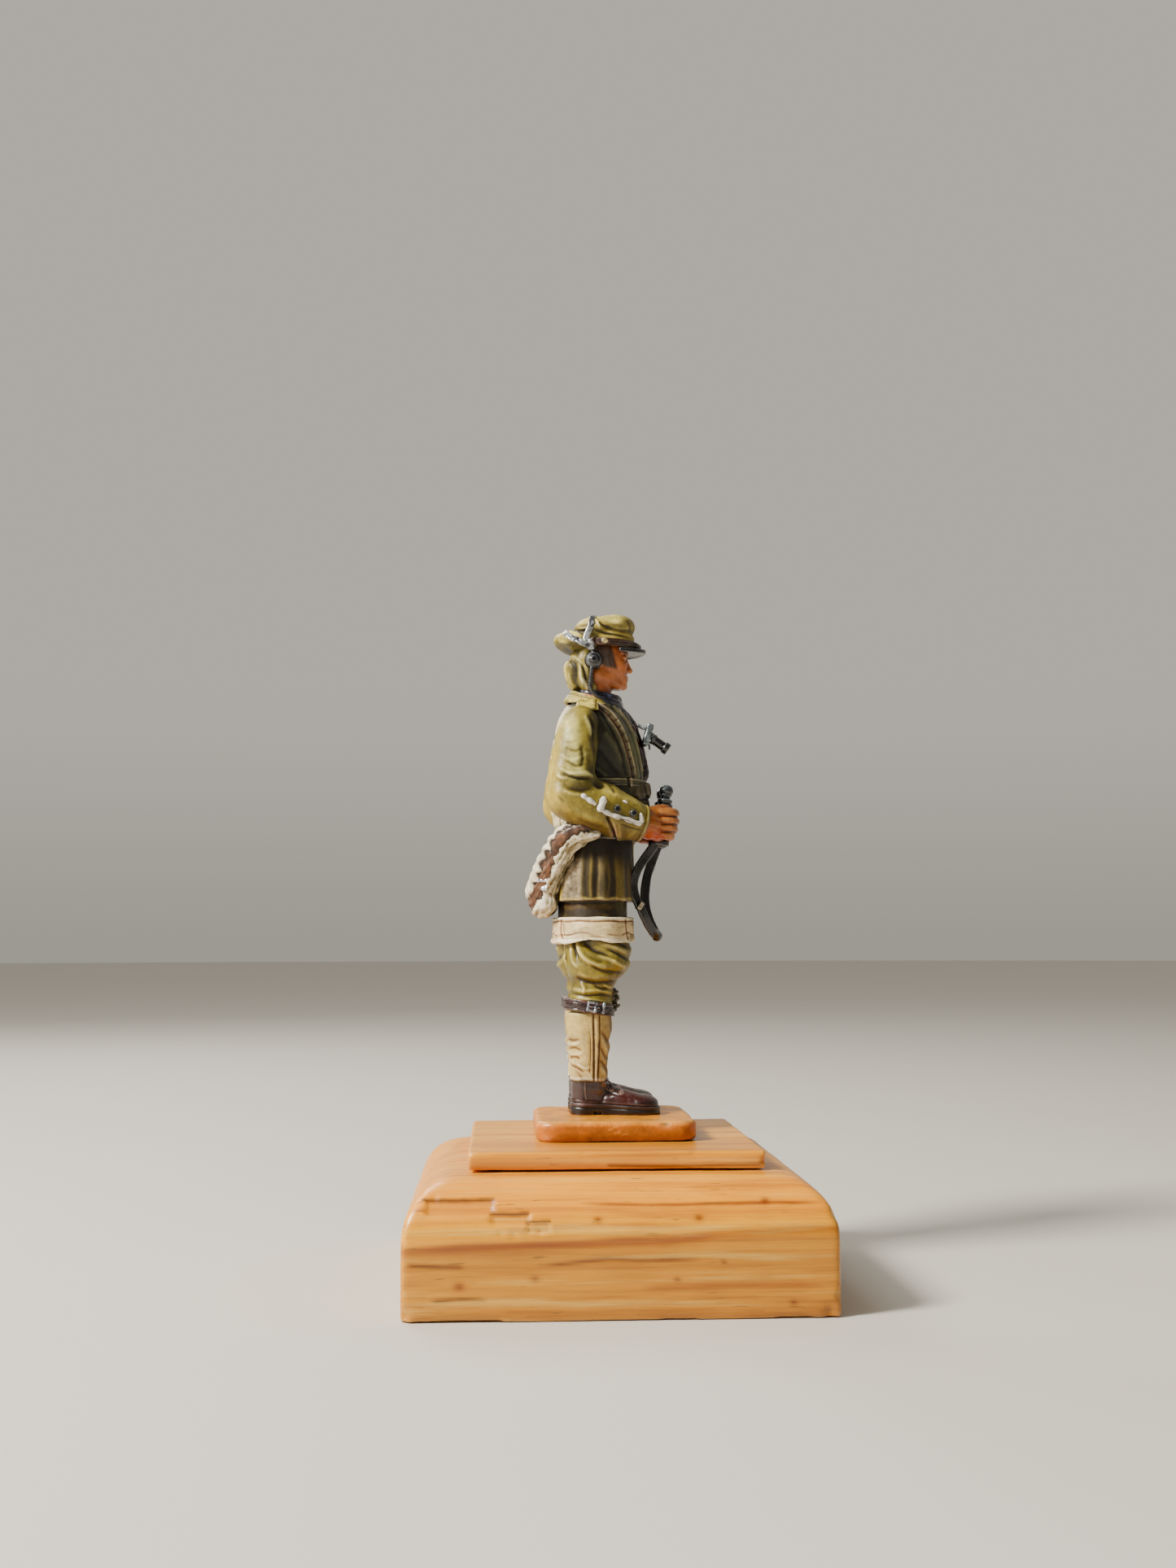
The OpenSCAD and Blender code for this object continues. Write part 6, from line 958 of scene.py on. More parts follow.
def binoculars():
    g = Grid((5.0, -3.9, 33.6), (9.2, 3.9, 41.0), 0.095); P = g.P; F = None; R = rotm(0, 8, 0)
    for sg in (-1, 1):
        o = A([6.7, sg * 2.2, 34.4]); c = o + AX * 2.6
        d = cyl(P, c, 1.0, 5.6, R, .18); d = smin(d, cyl(P, o + AX * .25, 1.16, .7, R, .15), .08); d = smax(d, -cyl(P, o - AX * .3, .85, .8, R, .1), .06)
        for k in (1.05, 4.75): d = smin(d, torus(P, o + AX * k, 1.0, .11, R), .05)
        F = d if F is None else np.minimum(F, d)
    F = smin(F, rbox(P, A([6.75, 0, 35.6]) + AX * 0, (.42, 1.6, .32), .2, R), .12); F = smin(F, rbox(P, A([7.1, 0, 38.6]), (.42, 1.6, .32), .2, R), .12)
    F = smin(F, cyl(P, A([6.7, 0, 34.9]) + AX * 2.4, .34, 5.0, R, .1), .05); F = smin(F, cyl(P, A([6.7, 0, 34.4]) + AX * 4.0, .55, .8, R, .1), .05)
    s = Sculpt(F, g, 1); s.fill(lin((30, 32, 34))); t = (s.V - A([6.7, 0, 34.4])) @ AX; ang = np.arctan2(s.y - np.sign(s.y) * 2.2, s.x - 6.7 - .14 * t)
    s._acc = .025 * np.sin(ang * 26) * ss(3.3, 3.5, t) * ss(4.5, 4.3, t); s.flush(); s.rough(.03, .5, 211, 2); s.paint(.5 * ss(.2, .7, fbm(s.V, (.8, .8, 1.2), 212)), lin((70, 74, 78))); s.paint(.4 * np.exp(-((t - .1) / .12) ** 2), lin((98, 72, 50)))
    piece("binocular_barrels", s, ["binoculars"], BLACK)
    g = Grid((5.9, -3.6, 39.1), (9.2, 3.6, 43.1), 0.08); P = g.P; F = None
    for sg in (-1, 1):
        o = A([6.6, sg * 2.2, 34.4])
        d = cyl(P, o + AX * 5.75, .98, .55, R, .14); d = smin(d, cyl(P, o + AX * 5.35, .82, .7, R, .1), .08); d = smin(d, cyl(P, o + AX * 6.3, .62, 1.0, R, .1), .1); d = smin(d, ell(P, o + AX * 7.15, (.92, .92, .82), R), .08); d = smin(d, torus(P, o + AX * 6.55, .68, .14, R), .04)
        d = smax(d, -ell(P, o + AX * 7.95, (.42, .42, .24), R), .05); F = d if F is None else np.minimum(F, d)
    # painted highlight on the upward faces and a painted glint on one eyepiece
    s = Sculpt(F, g, 1); s.fill(lin((52, 60, 66))); t = (s.V - A([6.6, 0, 34.4])) @ AX; s.paint(.75 * ss(.0, .5, fbm(s.V, (.6, .6, .5), 213)), lin((22, 26, 30))); s.paint(.6 * ss(.55, .9, s.N[:, 2]), lin((132, 146, 152)))
    s.paint(.6 * np.exp(-(np.hypot(s.x - 7.4 - .1, s.z - 41.9) / .3) ** 2) * (s.N[:, 1] < 0), lin((170, 182, 186))); s.paint(.7 * np.exp(-((t - 5.95) / .1) ** 2), lin((128, 140, 146))); s.paint(.7 * np.exp(-((t - 5.5) / .12) ** 2), lin((20, 22, 26)))
    s.rough(.03, .4, 214, 2); piece("binocular_eyepieces", s, ["eyepieces"], OPTIC)
def straps():
    a = [(6.2, -2, 34.6), (4.9, -2.4, 32.9), (3.75, -2.9, 31.2), (3.15, -3.05, 29.4), (3.35, -2.95, 27.8), (4.05, -2.7, 26.2), (4.9, -2.1, 24.5), (5.75, -1.2, 23.1), (6.35, -.3, 22.55)]
    b = [(6.9, 2.2, 34.6), (6.0, 2.05, 32.4), (5.3, 1.75, 30.2), (5.0, 1.45, 28.0), (5.1, 1.15, 26.2), (5.55, .7, 24.6), (6.1, .2, 23.3), (6.5, -.1, 22.6)]
    g = Grid((2.2, -4.4, 21.6), (7.6, 3.4, 35.2), 0.10); P = g.P
    F = ribbon(P, spline(a, 34), (1, .5, 0), .60, .26, .18); F = np.minimum(F, ribbon(P, spline(b, 30), (1, .3, 0), .62, .28, .18)); F = smin(F, ell(P, (6.35, -.1, 22.65), (.70, .6, .85), rotm(0, -35, 0)), .3)
    s = Sculpt(F, g, 3); s.fill(lin((30, 20, 20))); s.rough(.06, (.9, .9, 1.6), 221, 3)
    # painted sheen on the near strap and a grey painted reflection on faces turned towards -Y
    d, t = seg_dist(s.V, spline(a, 30), (0, 1, 2)); m = (d < 1.1); s.paint(.5 * m * ss(.1, .6, fbm(s.V, (.5, .5, 2.0), 222)), lin((92, 64, 56))); s.paint(.5 * m * np.exp(-((t - .35) / .16) ** 2) * ss(.0, .4, fbm(s.V, (.8, .8, 1), 223)), lin((74, 46, 40)))
    s.paint(.35 * ss(.3, .8, -s.N[:, 1]) * ss(.2, .6, fbm(s.V, (1, 1, 2), 224)), lin((66, 56, 58)))
    piece("binocular_strap_sculpt", s, ["binocular_strap"], BLACK)
    g = Grid((2.6, -4.2, 25.2), (5.2, -1.6, 27.6), 0.07); P = g.P; c = A([3.98, -2.75, 26.45]); R = rotm(0, 33, 8)
    F = smax(rbox(P, c, (.30, .85, .55), .14, R), -rbox(P, c, (.6, .5, .26), .1, R), .08); F = np.minimum(F, rbox(P, c + [0, 0, 0], (.2, .1, .5), .08, R))
    s = Sculpt(F, g, 1); s.rough(.05, .4, 225, 2); s.fill(lin((206, 196, 178))); s.paint(.5 * ss(0, .5, fbm(s.V, .4, 226)), lin((120, 104, 84))); piece("strap_buckle", s, None, SILV)

# ================================================================ scarf, head, cap, headset
NAVY = enamel("scarf_navy_enamel", rough=0.30, spec=0.55, coat=0.35, wash_and_shade=(0.2, 0.2, 0.3), edge=0.42, edgec=(0.50, 0.56, 0.78), sk=0.12)
BROWN = enamel("scarf_brown_enamel", rough=0.36, spec=0.5, coat=0.3, wash_and_shade=(0.22, 0.14, 0.12), edge=0.42, edgec=(0.56, 0.32, 0.22), sk=0.14)
CAPM = enamel("cap_khaki_enamel", rough=0.5, spec=0.4, coat=0.08, wash_and_shade=(0.30, 0.23, 0.11), wash_and_shade_k=1.0, edge=0.5, edgec=(1, 0.95, 0.72), streak=(500, 500, 300), sk=0.18, mott=0.24)
def scarf():
    g = Grid((-5.6, -4.6, 50.0), (3.2, 4.6, 55.4), 0.115); P = g.P; F = None
    for r, zz, tl, rr, dx in ((3.0, 52.7, 16, .62, 0), (2.85, 53.5, 12, .58, .05), (2.6, 54.15, 9, .50, .1), (3.15, 51.9, 22, .5, .2)):
        R = rotm(0, tl, 0); d = torus(P, (-1.25 + dx, 0, zz), r, rr, R, 1.0, .95); F = d if F is None else smin(F, d, .16)
    F = smin(F, ell(P, (1.75, -.3, 51.9), (.95, 1.1, .9)), .25); F = smin(F, ell(P, (1.2, .6, 52.7), (.9, 1.2, .7)), .2)
    s = Sculpt(F, g, 2); s.fill(lin((26, 30, 58))); a = np.arctan2(s.y, s.x + 1.2)
    s._acc = .10 * fbm(np.stack([a * 2.6, s.z * 1.1 + .28 * s.x, 0 * a], 1), (.8, .55, 1), 231, 3); s.flush()
    # pale painted highlights and dark painted shade in streaks along the scarf
    f = fbm(np.stack([a * 2.6, s.z * 1.6 + .4 * s.x, 0 * a], 1), (.7, .5, 1), 232, 3); s.paint(.75 * ss(.15, .55, f), lin((120, 128, 158))); s.paint(.7 * ss(.1, .6, -f), lin((10, 10, 22))); s.rough(.06, .7, 233, 3)
    s.paint(.6 * ss(52.4, 51.2, s.z) * (s.x > 0), lin((54, 34, 46)))
    piece("scarf_sculpt", s, ["scarf"], NAVY)
    g = Grid((.2, -2.7, 42.2), (6.0, 2.4, 52.6), 0.115); P = g.P
    c = spline([(1.7, -.1, 51.9), (2.9, -.2, 50.1), (3.75, -.1, 48.0), (4.3, .05, 46.0), (4.55, .1, 44.4), (4.55, .1, 43.3)], 18)
    F = tube(P, [tuple(p) for p in c], [.95, .98, 1, 1, .98, .95, .92, .9, .88, .86, .84, .82, .8, .8, .8, .76, .7, .6], .3)
    c2 = spline([(1.7, -1.0, 51.5), (2.7, -1.3, 49.8), (3.4, -1.35, 47.9), (3.9, -1.2, 46.2), (4.2, -1.0, 44.9)], 14); F = smin(F, tube(P, [tuple(p) for p in c2], [.75, .8, .82, .8, .78, .75, .72, .7, .68, .66, .62, .6, .55, .48], .2), .16)
    c3 = spline([(1.8, 1.0, 51.4), (2.8, 1.2, 49.6), (3.5, 1.2, 47.7), (4.1, 1.0, 45.7)], 12); F = smin(F, tube(P, [tuple(p) for p in c3], .62, .2), .16)
    s = Sculpt(F, g, 2); s.fill(lin((62, 34, 28))); n = fbm(s.V, (.8, .8, 1.3), 241, 3); s._acc = .20 * n; s.flush()
    # painted shade in the hollows and painted highlight on the bulges, pale painted highlights on two folds and on the
    # front faces
    s.paint(.8 * ss(.1, .5, -n), lin((18, 10, 12))); s.paint(.6 * ss(.15, .6, n), lin((116, 66, 48))); s.paint(.7 * ss(49.5, 51.3, s.z) * ss(.3, -.3, n), lin((22, 22, 38)))
    d = np.sqrt((s.x - 2.6) ** 2 + (s.z - 50.0) ** 2); s.paint(.8 * np.exp(-(d / .35) ** 2) * (s.N[:, 1] < .2), lin((214, 196, 172))); d = np.sqrt((s.x - 3.3) ** 2 + (s.z - 49.1) ** 2); s.paint(.7 * np.exp(-(d / .3) ** 2) * (s.N[:, 1] < .2), lin((190, 160, 130)))
    s.paint(.6 * ss(.5, .9, s.N[:, 0]) * ss(46, 49, s.z), lin((150, 82, 56))); s.rough(.06, .5, 242, 3)
    piece("scarf_tail_sculpt", s, ["scarf_tail"], BROWN)
HD, CHIN, HX = 8.45, 54.95, -0.4       # canon head: height, chin, centre
def head():
    g = Grid((-4.3, -3.2, 50.6), (4.0, 3.2, 63.2), 0.085); P = g.P; Z = lambda k: CHIN + k * HD
    F = ell(P, (HX - .45, 0, Z(.64)), (3.30, 2.72, 3.05))
    F = smin(F, ell(P, (HX + .95, 0, Z(.42)), (2.20, 2.20, 3.35)), .8)
    F = smin(F, ell(P, (HX + 2.2, 0, Z(.74)), (1.10, 2.05, 1.25)), .8)                      # forehead
    for sg in (-1, 1):
        F = smin(F, cap(P, (HX - .9, sg * 1.75, Z(.24)), (HX + 1.9, sg * .80, Z(.085)), .62, .55), .7)   # jaw
        F = smin(F, ell(P, (HX + 2.05, sg * 1.30, Z(.37)), (.85, .72, .80)), .5)            # cheekbone
        F = smin(F, cap(P, (HX + 2.75, sg * .35, Z(.575)), (HX + 2.25, sg * 1.65, Z(.585)), .34, .26), .30)  # brow
        F = smin(F, cap(P, (HX + 2.15, sg * 1.3, Z(.26)), (HX + 2.5, sg * .6, Z(.15)), .5, .45), .5)
    F = smin(F, ell(P, (HX + 2.55, 0, Z(.075)), (.55, .72, .52)), .42)                     # chin
    F = smin(F, ell(P, (HX + 2.55, 0, Z(.195)), (.62, .95, .62)), .4)                      # muzzle
    for sg in (-1, 1): F = smax(F, -ell(P, (HX + 3.15, sg * 1.12, Z(.497)), (.78, .66, .42)), .28)       # sockets
    nose = cap(P, (HX + 2.70, 0, Z(.53)), (HX + 3.36, 0, Z(.335)), .25, .38); nose = smin(nose, ell(P, (HX + 3.38, 0, Z(.325)), (.44, .40, .36)), .10)
    for sg in (-1, 1): nose = smin(nose, ell(P, (HX + 2.96, sg * .46, Z(.310)), (.38, .25, .26)), .10)
    F = smin(F, nose, .22)
    for sg in (-1, 1):
        eye = ell(P, (HX + 2.38, sg * 1.12, Z(.498)), (.50, .56, .50)); F = np.minimum(F, eye)
        lid = smax(ell(P, (HX + 2.40, sg * 1.12, Z(.500)), (.60, .66, .58)), -(P[2] - Z(.507) + .10 * (np.abs(P[1]) - 1.12) ** 2 / .2), .04); F = smin(F, lid, .07)
        lowl = smax(ell(P, (HX + 2.36, sg * 1.12, Z(.498)), (.58, .64, .58)), P[2] - Z(.470) - .12 * (np.abs(P[1]) - 1.12) ** 2, .04); F = smin(F, lowl, .07)
    ul = cap(P, (HX + 3.02, -.40, Z(.207)), (HX + 3.02, .40, Z(.207)), .17); ul = smin(ul, cap(P, (HX + 2.78, -.72, Z(.194)), (HX + 2.78, .72, Z(.194)), .12), .2)
    ll = cap(P, (HX + 2.98, -.34, Z(.163)), (HX + 2.98, .34, Z(.163)), .19); ll = smin(ll, cap(P, (HX + 2.76, -.62, Z(.176)), (HX + 2.76, .62, Z(.176)), .11), .2)
    F = smin(F, ul, .10); F = smin(F, ll, .10); F = smax(F, -rbox(P, (HX + 3.25, 0, Z(.186)), (.42, .80, .035), .03), .05)
    F = smax(F, -cap(P, (HX + 3.22, 0, Z(.285)), (HX + 3.25, 0, Z(.225)), .07), .10)           # philtrum
    for sg in (-1, 1):
        F = smax(F, -ell(P, (HX + 3.06, sg * .22, Z(.283)), (.13, .11, .10)), .05)
        e = smax(ell(P, (HX - .75, sg * 2.78, Z(.43)), (.62, .30, .95), rotm(0, -8, 0)), -ell(P, (HX - .62, sg * 3.08, Z(.44)), (.36, .22, .58), rotm(0, -8, 0)), .08); F = smin(F, e, .12)
    F = smin(F, cap(P, (-1.9, 0, 58.0), (-1.35, 0, 52.6), 2.15, 2.0), .7)                     # neck
    F = np.minimum(F, cap(P, (-1.3, 0, 53), (-1.2, 0, 51), 2.0))
    s = Sculpt(F, g, 2); s.fill(lin((190, 120, 68))); x, y, z = s.x, s.y, s.z; fr = ss(.3, 1.2, x)
    s.paint(.35 * np.exp(-(np.hypot((np.abs(y) - 1.35) / .75, (z - Z(.36)) / .75)) ** 2) * fr, lin((196, 102, 66)))
    # painted highlight on the nose, painted shade under the jaw and chin and in the eye sockets
    s.paint(.45 * np.exp(-(np.hypot(y / .4, (z - Z(.35)) / .6)) ** 2) * ss(2.6, 3.1, x), lin((232, 150, 98)))
    s.paint(.40 * ss(.8, 2.0, np.abs(y)) * ss(Z(.20), Z(.10), z), lin((160, 84, 46))); s.paint(.35 * ss(CHIN + .5, CHIN - .4, z), lin((138, 70, 38)))
    s.paint(.45 * np.exp(-((z - Z(.55)) / .5) ** 2) * fr * ss(.2, .5, np.abs(y)), lin((168, 86, 48)))
    lips = np.exp(-(np.hypot(y / .66, (z - Z(.186)) / .26)) ** 4) * ss(2.15, 2.45, x); s.paint(.65 * lips, lin((166, 74, 56))); s.paint(.85 * np.exp(-((z - Z(.186)) / .06) ** 2) * ss(.80, .62, np.abs(y)) * ss(2.2, 2.45, x), lin((90, 36, 26)))
    for sg in (-1, 1):
        c = A([HX + 2.38, sg * 1.12, Z(.498)]); o = s.V - c; r = np.linalg.norm(o, axis=1); opening = ss(Z(.470) - .01, Z(.470) + .05, z) * ss(Z(.514) + .03, Z(.512) - .03, z) * (r < .60) * (np.abs(o[:, 1]) < .48) * (x > 2.1)
        s.paint(.95 * opening, lin((226, 214, 198))); ri = np.hypot(y - sg * 1.10, z - Z(.492)); s.paint(.95 * opening * ss(.24, .19, ri), lin((62, 40, 26))); s.paint(.95 * opening * ss(.11, .08, ri), lin((12, 8, 8)))
        lidl = np.abs(z - Z(.509)) ; s.paint(.85 * np.exp(-(lidl / .055) ** 2) * (np.abs(y - sg * 1.12) < .52) * (x > 2.0), lin((70, 34, 22)))
        bd, bt = seg_dist(s.V, [(sg * .42, Z(.575)), (sg * 1.0, Z(.592)), (sg * 1.75, Z(.572))], (1, 2)); s.paint(.80 * np.exp(-(bd / .13) ** 2) * (x > 1.4), lin((74, 44, 24))); s._acc = getattr(s, "_acc", 0) + .03 * np.exp(-(bd / .12) ** 2) * (x > 1.4)
    hair = ss(1.0, .5, x + .25 * (z - Z(.55))) * ss(Z(.36), Z(.42), z + .25 * np.abs(x + 1.5)) * ss(1.2, 2.0, np.abs(y) + (x < -2.5) * 2)
    hr = fbm(s.V, (.35, .35, 1.2), 251, 3); s.paint(.95 * hair, lin((66, 42, 24))); s.paint(.6 * hair * ss(.1, .5, hr), lin((110, 76, 44))); s._acc = s._acc + .10 * hair * hr
    s.flush(); s.rough(.018, (.7, .7, .7), 252, 3); s.paint(.18 * ss(.0, .6, fbm(s.V, (1.2, 1.2, 1.2), 253)) * (1 - hair), lin((226, 148, 96)))
    piece("head_sculpt", s, ["head"], FLESH, gam=1.18)
def curtain():
    g = Grid((-6.9, -3.9, 53.4), (-.2, 3.9, 61.2), 0.125); P = g.P
    F = loft(P, [(54.1, -2.0, 0, .9, 2.1), (55.1, -2.3, 0, 1.8, 2.5), (56.0, -2.85, 0, 2.25, 2.8), (56.8, -3.15, 0, 2.45, 2.95), (58.1, -3.4, 0, 2.35, 3.05), (59.5, -2.95, 0, 1.9, 3.0), (60.4, -2.8, 0, 1.9, 3.0)], n=2.1, k=.3)
    F = smax(F, -ell(P, (HX - .35, 0, 58.2), (3.3, 2.75, 5.5)) + 0 * P[2], .2)
    s = Sculpt(F, g, 2); s.fill(lin((150, 138, 70))); a = np.arctan2(s.y, -s.x - 2.2)
    # painted shade in the fold hollows and painted highlight on the fold ridges
    w = .5 * np.sin(a * 7 + .4 * s.z) + .5 * fbm(s.V, (1.1, 1.1, 2.0), 261); s._acc = .20 * w; s.flush()
    s.paint(.7 * ss(.1, .7, -w), lin((62, 56, 24))); s.paint(.7 * ss(.2, .8, w), lin((222, 210, 140)))
    for sd in (-1, 1):
        for pts, c in (([(-5.3, 59.2), (-4.4, 57.8), (-4.2, 56.2)], lin((60, 52, 22))), ([(-4.6, 59.4), (-3.7, 58.2), (-3.6, 56.6), (-3.2, 55.2)], lin((218, 206, 150))), ([(-4.0, 58.6), (-3.2, 57.2), (-2.9, 55.8)], lin((54, 46, 22))), ([(-5.2, 57.2), (-4.8, 56.0), (-4.0, 55.0)], lin((196, 182, 110))), ([(-3.5, 56.3), (-2.9, 55.4), (-2.6, 54.6)], lin((232, 224, 196)))):
            s.stroke(pts, .24, -.22 if c[0] < .1 else .2, sd, True, c, .2)
    s.flush(); s.rough(.08, (.9, .9, 1.2), 262, 3)
    s.paint(.8 * ss(55.2, 54.5, s.z) * ss(-.2, .3, fbm(s.V, (1.2, 1.2, .7), 263)), lin((190, 96, 56)))
    piece("neck_curtain_sculpt", s, ["neck_curtain"], CAPM)
CROWN = []
def hug(pts, lift):
    """Lays a path over the cap."""
    V, N = CROWN[0]; out = []
    for p in pts:
        i = ((V - p) ** 2).sum(1).argmin(); q = V[i] + N[i] * lift; out.append(q if p[2] > 60.9 else A(p, float))
    for _ in range(3): out = [out[0]] + [(out[k - 1] + 2 * out[k] + out[k + 1]) / 4 for k in range(1, len(out) - 1)] + [out[-1]]
    return A(out)
def cap_crown():
    g = Grid((-7.7, -4.9, 59.0), (4.6, 4.9, 65.8), 0.125); P = g.P
    F = ell(P, (1.15, 0, 63.45), (2.60, 3.75, 1.72), rotm(0, 2, 0)); F = smin(F, ell(P, (-1.0, 0, 63.25), (2.8, 3.85, 1.62)), .7)
    F = smin(F, ell(P, (-2.1, 0, 62.95), (2.3, 3.75, 1.62)), .6); F = smin(F, ell(P, (-3.9, 0, 61.15), (3.25, 4.05, 1.45), rotm(0, 14, 0)), .6); F = smin(F, cyl(P, (0.1, 0, 61.75), 3.55, 1.5, rotm(0, 4, 0), .4), .5)
    F = smax(F, -ell(P, (-.3, 0, 58.5), (3.2, 2.8, 3.0)), .2)
    s = Sculpt(F, g, 2); s.fill(lin((172, 158, 82)))
    D, H, M = lin((64, 56, 24)), lin((222, 212, 142)), lin((196, 184, 104))
    # painted highlight on the upward faces; the strokes below put painted shade (D) in the hollows and painted
    # highlight (H) on the ridges
    s.paint(.6 * ss(.3, .9, s.N[:, 2]), H)
    for sd in (-1, 1):
        for pts, w, am, c in (([(-4.6, 62.8), (-3.2, 62.4), (-1.8, 62.6)], .3, -.30, D), ([(-3.9, 63.2), (-2.6, 63.2), (-1.4, 63.8)], .26, -.22, D), ([(-5.6, 62.0), (-4.6, 61.4), (-3.8, 60.6)], .28, -.24, D), ([(-6.3, 61.2), (-5.4, 60.8), (-4.6, 60.2)], .26, .2, H), ([(-6.9, 60.4), (-5.8, 60.2), (-4.8, 59.9)], .2, -.2, D),
                              ([(-2.2, 64.3), (-1.4, 63.5), (-1.1, 62.6)], .24, .22, H), ([(-1.3, 63.6), (-.4, 62.9), (1.0, 62.6)], .22, -.16, D), ([(-.8, 64.1), (.6, 63.6), (2.2, 63.7)], .40, .14, H), ([(.2, 62.9), (1.5, 62.7), (2.8, 62.9)], .2, .12, H), ([(2.4, 63.9), (2.9, 63.2), (2.7, 62.4)], .18, -.14, D),
                              ([(-1.8, 62.4), (.2, 62.0), (2.9, 61.7)], .16, -.22, D), ([(-5.2, 62.5), (-4.3, 62.1), (-3.4, 61.4)], .25, .2, H)):
            s.stroke(pts, w, am, sd, True, c, w * .75, op=.75)
    for yy in (-1.7, 1.9):      # gathers over the front and back
        d = np.abs(s.y - yy - .2 * np.sin(s.x)); m = np.exp(-(d / .22) ** 2) * ss(.2, -.3, s.N[:, 2] - .55) * (np.abs(s.N[:, 0]) > .3); s._acc = s._acc - .05 * m; s.paint(.15 * m, D)
    s.stroke([(-4.4, 0, 62.6), (-2, 0, 64.5), (1, 0, 65.2), (3.3, 0, 64.2)], .14, -.10, None, False, D, .1); s.stroke([(-1.2, -3.8, 63.4), (-.9, 0, 65.0), (-1.2, 3.8, 63.4)], .14, -.08, None, False, D, .09)
    s.flush(); s.rough(.10, (1.6, 1.6, 1.2), 271, 3); s.paint(.35 * ss(.1, .7, fbm(s.V, (1.4, 1.4, 1.0), 272)), M); s.paint(.4 * ss(.1, .7, -fbm(s.V, (1.7, 1.7, 1.1), 273)), lin((118, 104, 46)))
    # painted shade on the faces turned down
    s.paint(.6 * ss(-.2, -.8, s.N[:, 2]), lin((66, 58, 28)))
    piece("cap_crown_sculpt", s, ["cap_crown"], CAPM); CROWN.append((s.V.copy(), s.N.copy()))
    # band with a chin strap and buttons
    g = Grid((-4.5, -4.2, 59.7), (4.8, 4.2, 62.9), 0.09); P = g.P; R = rotm(0, 4, 0); x, y, z = into(P, (0.1, 0, 61.0), R); q = np.sqrt((x / 1.14) ** 2 + y * y) - 3.42
    F = smax(np.abs(q) - .30, np.abs(z) - .50, .15); st = smax(np.abs(q - .36) - .14, np.abs(z + .12 - .05 * x) - .26, .1); st = smax(st, -x - .6, .1); F = np.minimum(F, st)
    for sg in (-1, 1): F = smin(F, ell(P, (-.55, sg * 3.72, 61.15), (.38, .22, .38)), .05)
    s = Sculpt(F, g, 2); s.fill(lin((92, 60, 40))); x, y, z = into(s.V.T, (0.1, 0, 61.25), R); n = fbm(s.V, (.9, .9, .5), 281); s.paint(.6 * ss(.1, .6, -n), lin((40, 24, 16))); s.paint(.5 * ss(.1, .6, n), lin((150, 104, 66)))
    r = np.sqrt((x / 1.14) ** 2 + y * y) - 3.42; s.paint(.85 * ss(.3, .42, r), lin((44, 26, 20))); s.paint(.6 * ss(.42, .5, r) * ss(.0, .5, fbm(s.V, (.6, .6, .6), 282)), lin((124, 84, 60)))
    for sg in (-1, 1): d = np.sqrt((s.x + .55) ** 2 + (s.y - sg * 3.9) ** 2 + (s.z - 61.15) ** 2); s.paint(.9 * ss(.5, .4, d), lin((196, 180, 140)))
    s.rough(.05, .7, 283, 3); piece("cap_band_sculpt", s, ["cap_band"], LEATH)
    g = Grid((-.8, -4.3, 58.9), (5.7, 4.3, 61.6), 0.085); P = g.P; R = rotm(0, 9, 0); x, y, z = into(P, (0.95, 0, 60.72), R)
    zz = z + .050 * y * y - .02 * x; o = np.sqrt((x / 1.20) ** 2 + (y / 1.0) ** 2) - 3.52; F = smax(smax(np.abs(zz) - .20, o, .14), .6 - x, .15); rim = np.sqrt(np.maximum(np.abs(zz) - .02, 0) ** 2 + np.maximum(o + .22, 0) ** 2) ; lip = smax(smax(np.abs(zz) - .27, np.abs(o + .12) - .16, .1), .6 - x, .1); F = smin(F, lip, .08)
    # painted highlight on the top of the peak and a brownish painted reflection on its underside
    s = Sculpt(F, g, 2); s.fill(lin((38, 30, 30))); s.rough(.03, 1.0, 291, 2); s.paint(.6 * ss(.5, .95, s.N[:, 2]) * ss(.0, .5, fbm(s.V, (1.2, 1.2, 1), 292)), lin((62, 52, 50))); s.paint(.5 * ss(.3, .8, -s.N[:, 2]), lin((50, 34, 28)))
    piece("cap_peak_sculpt", s, ["cap_peak"], BLACK, gam=1.9)
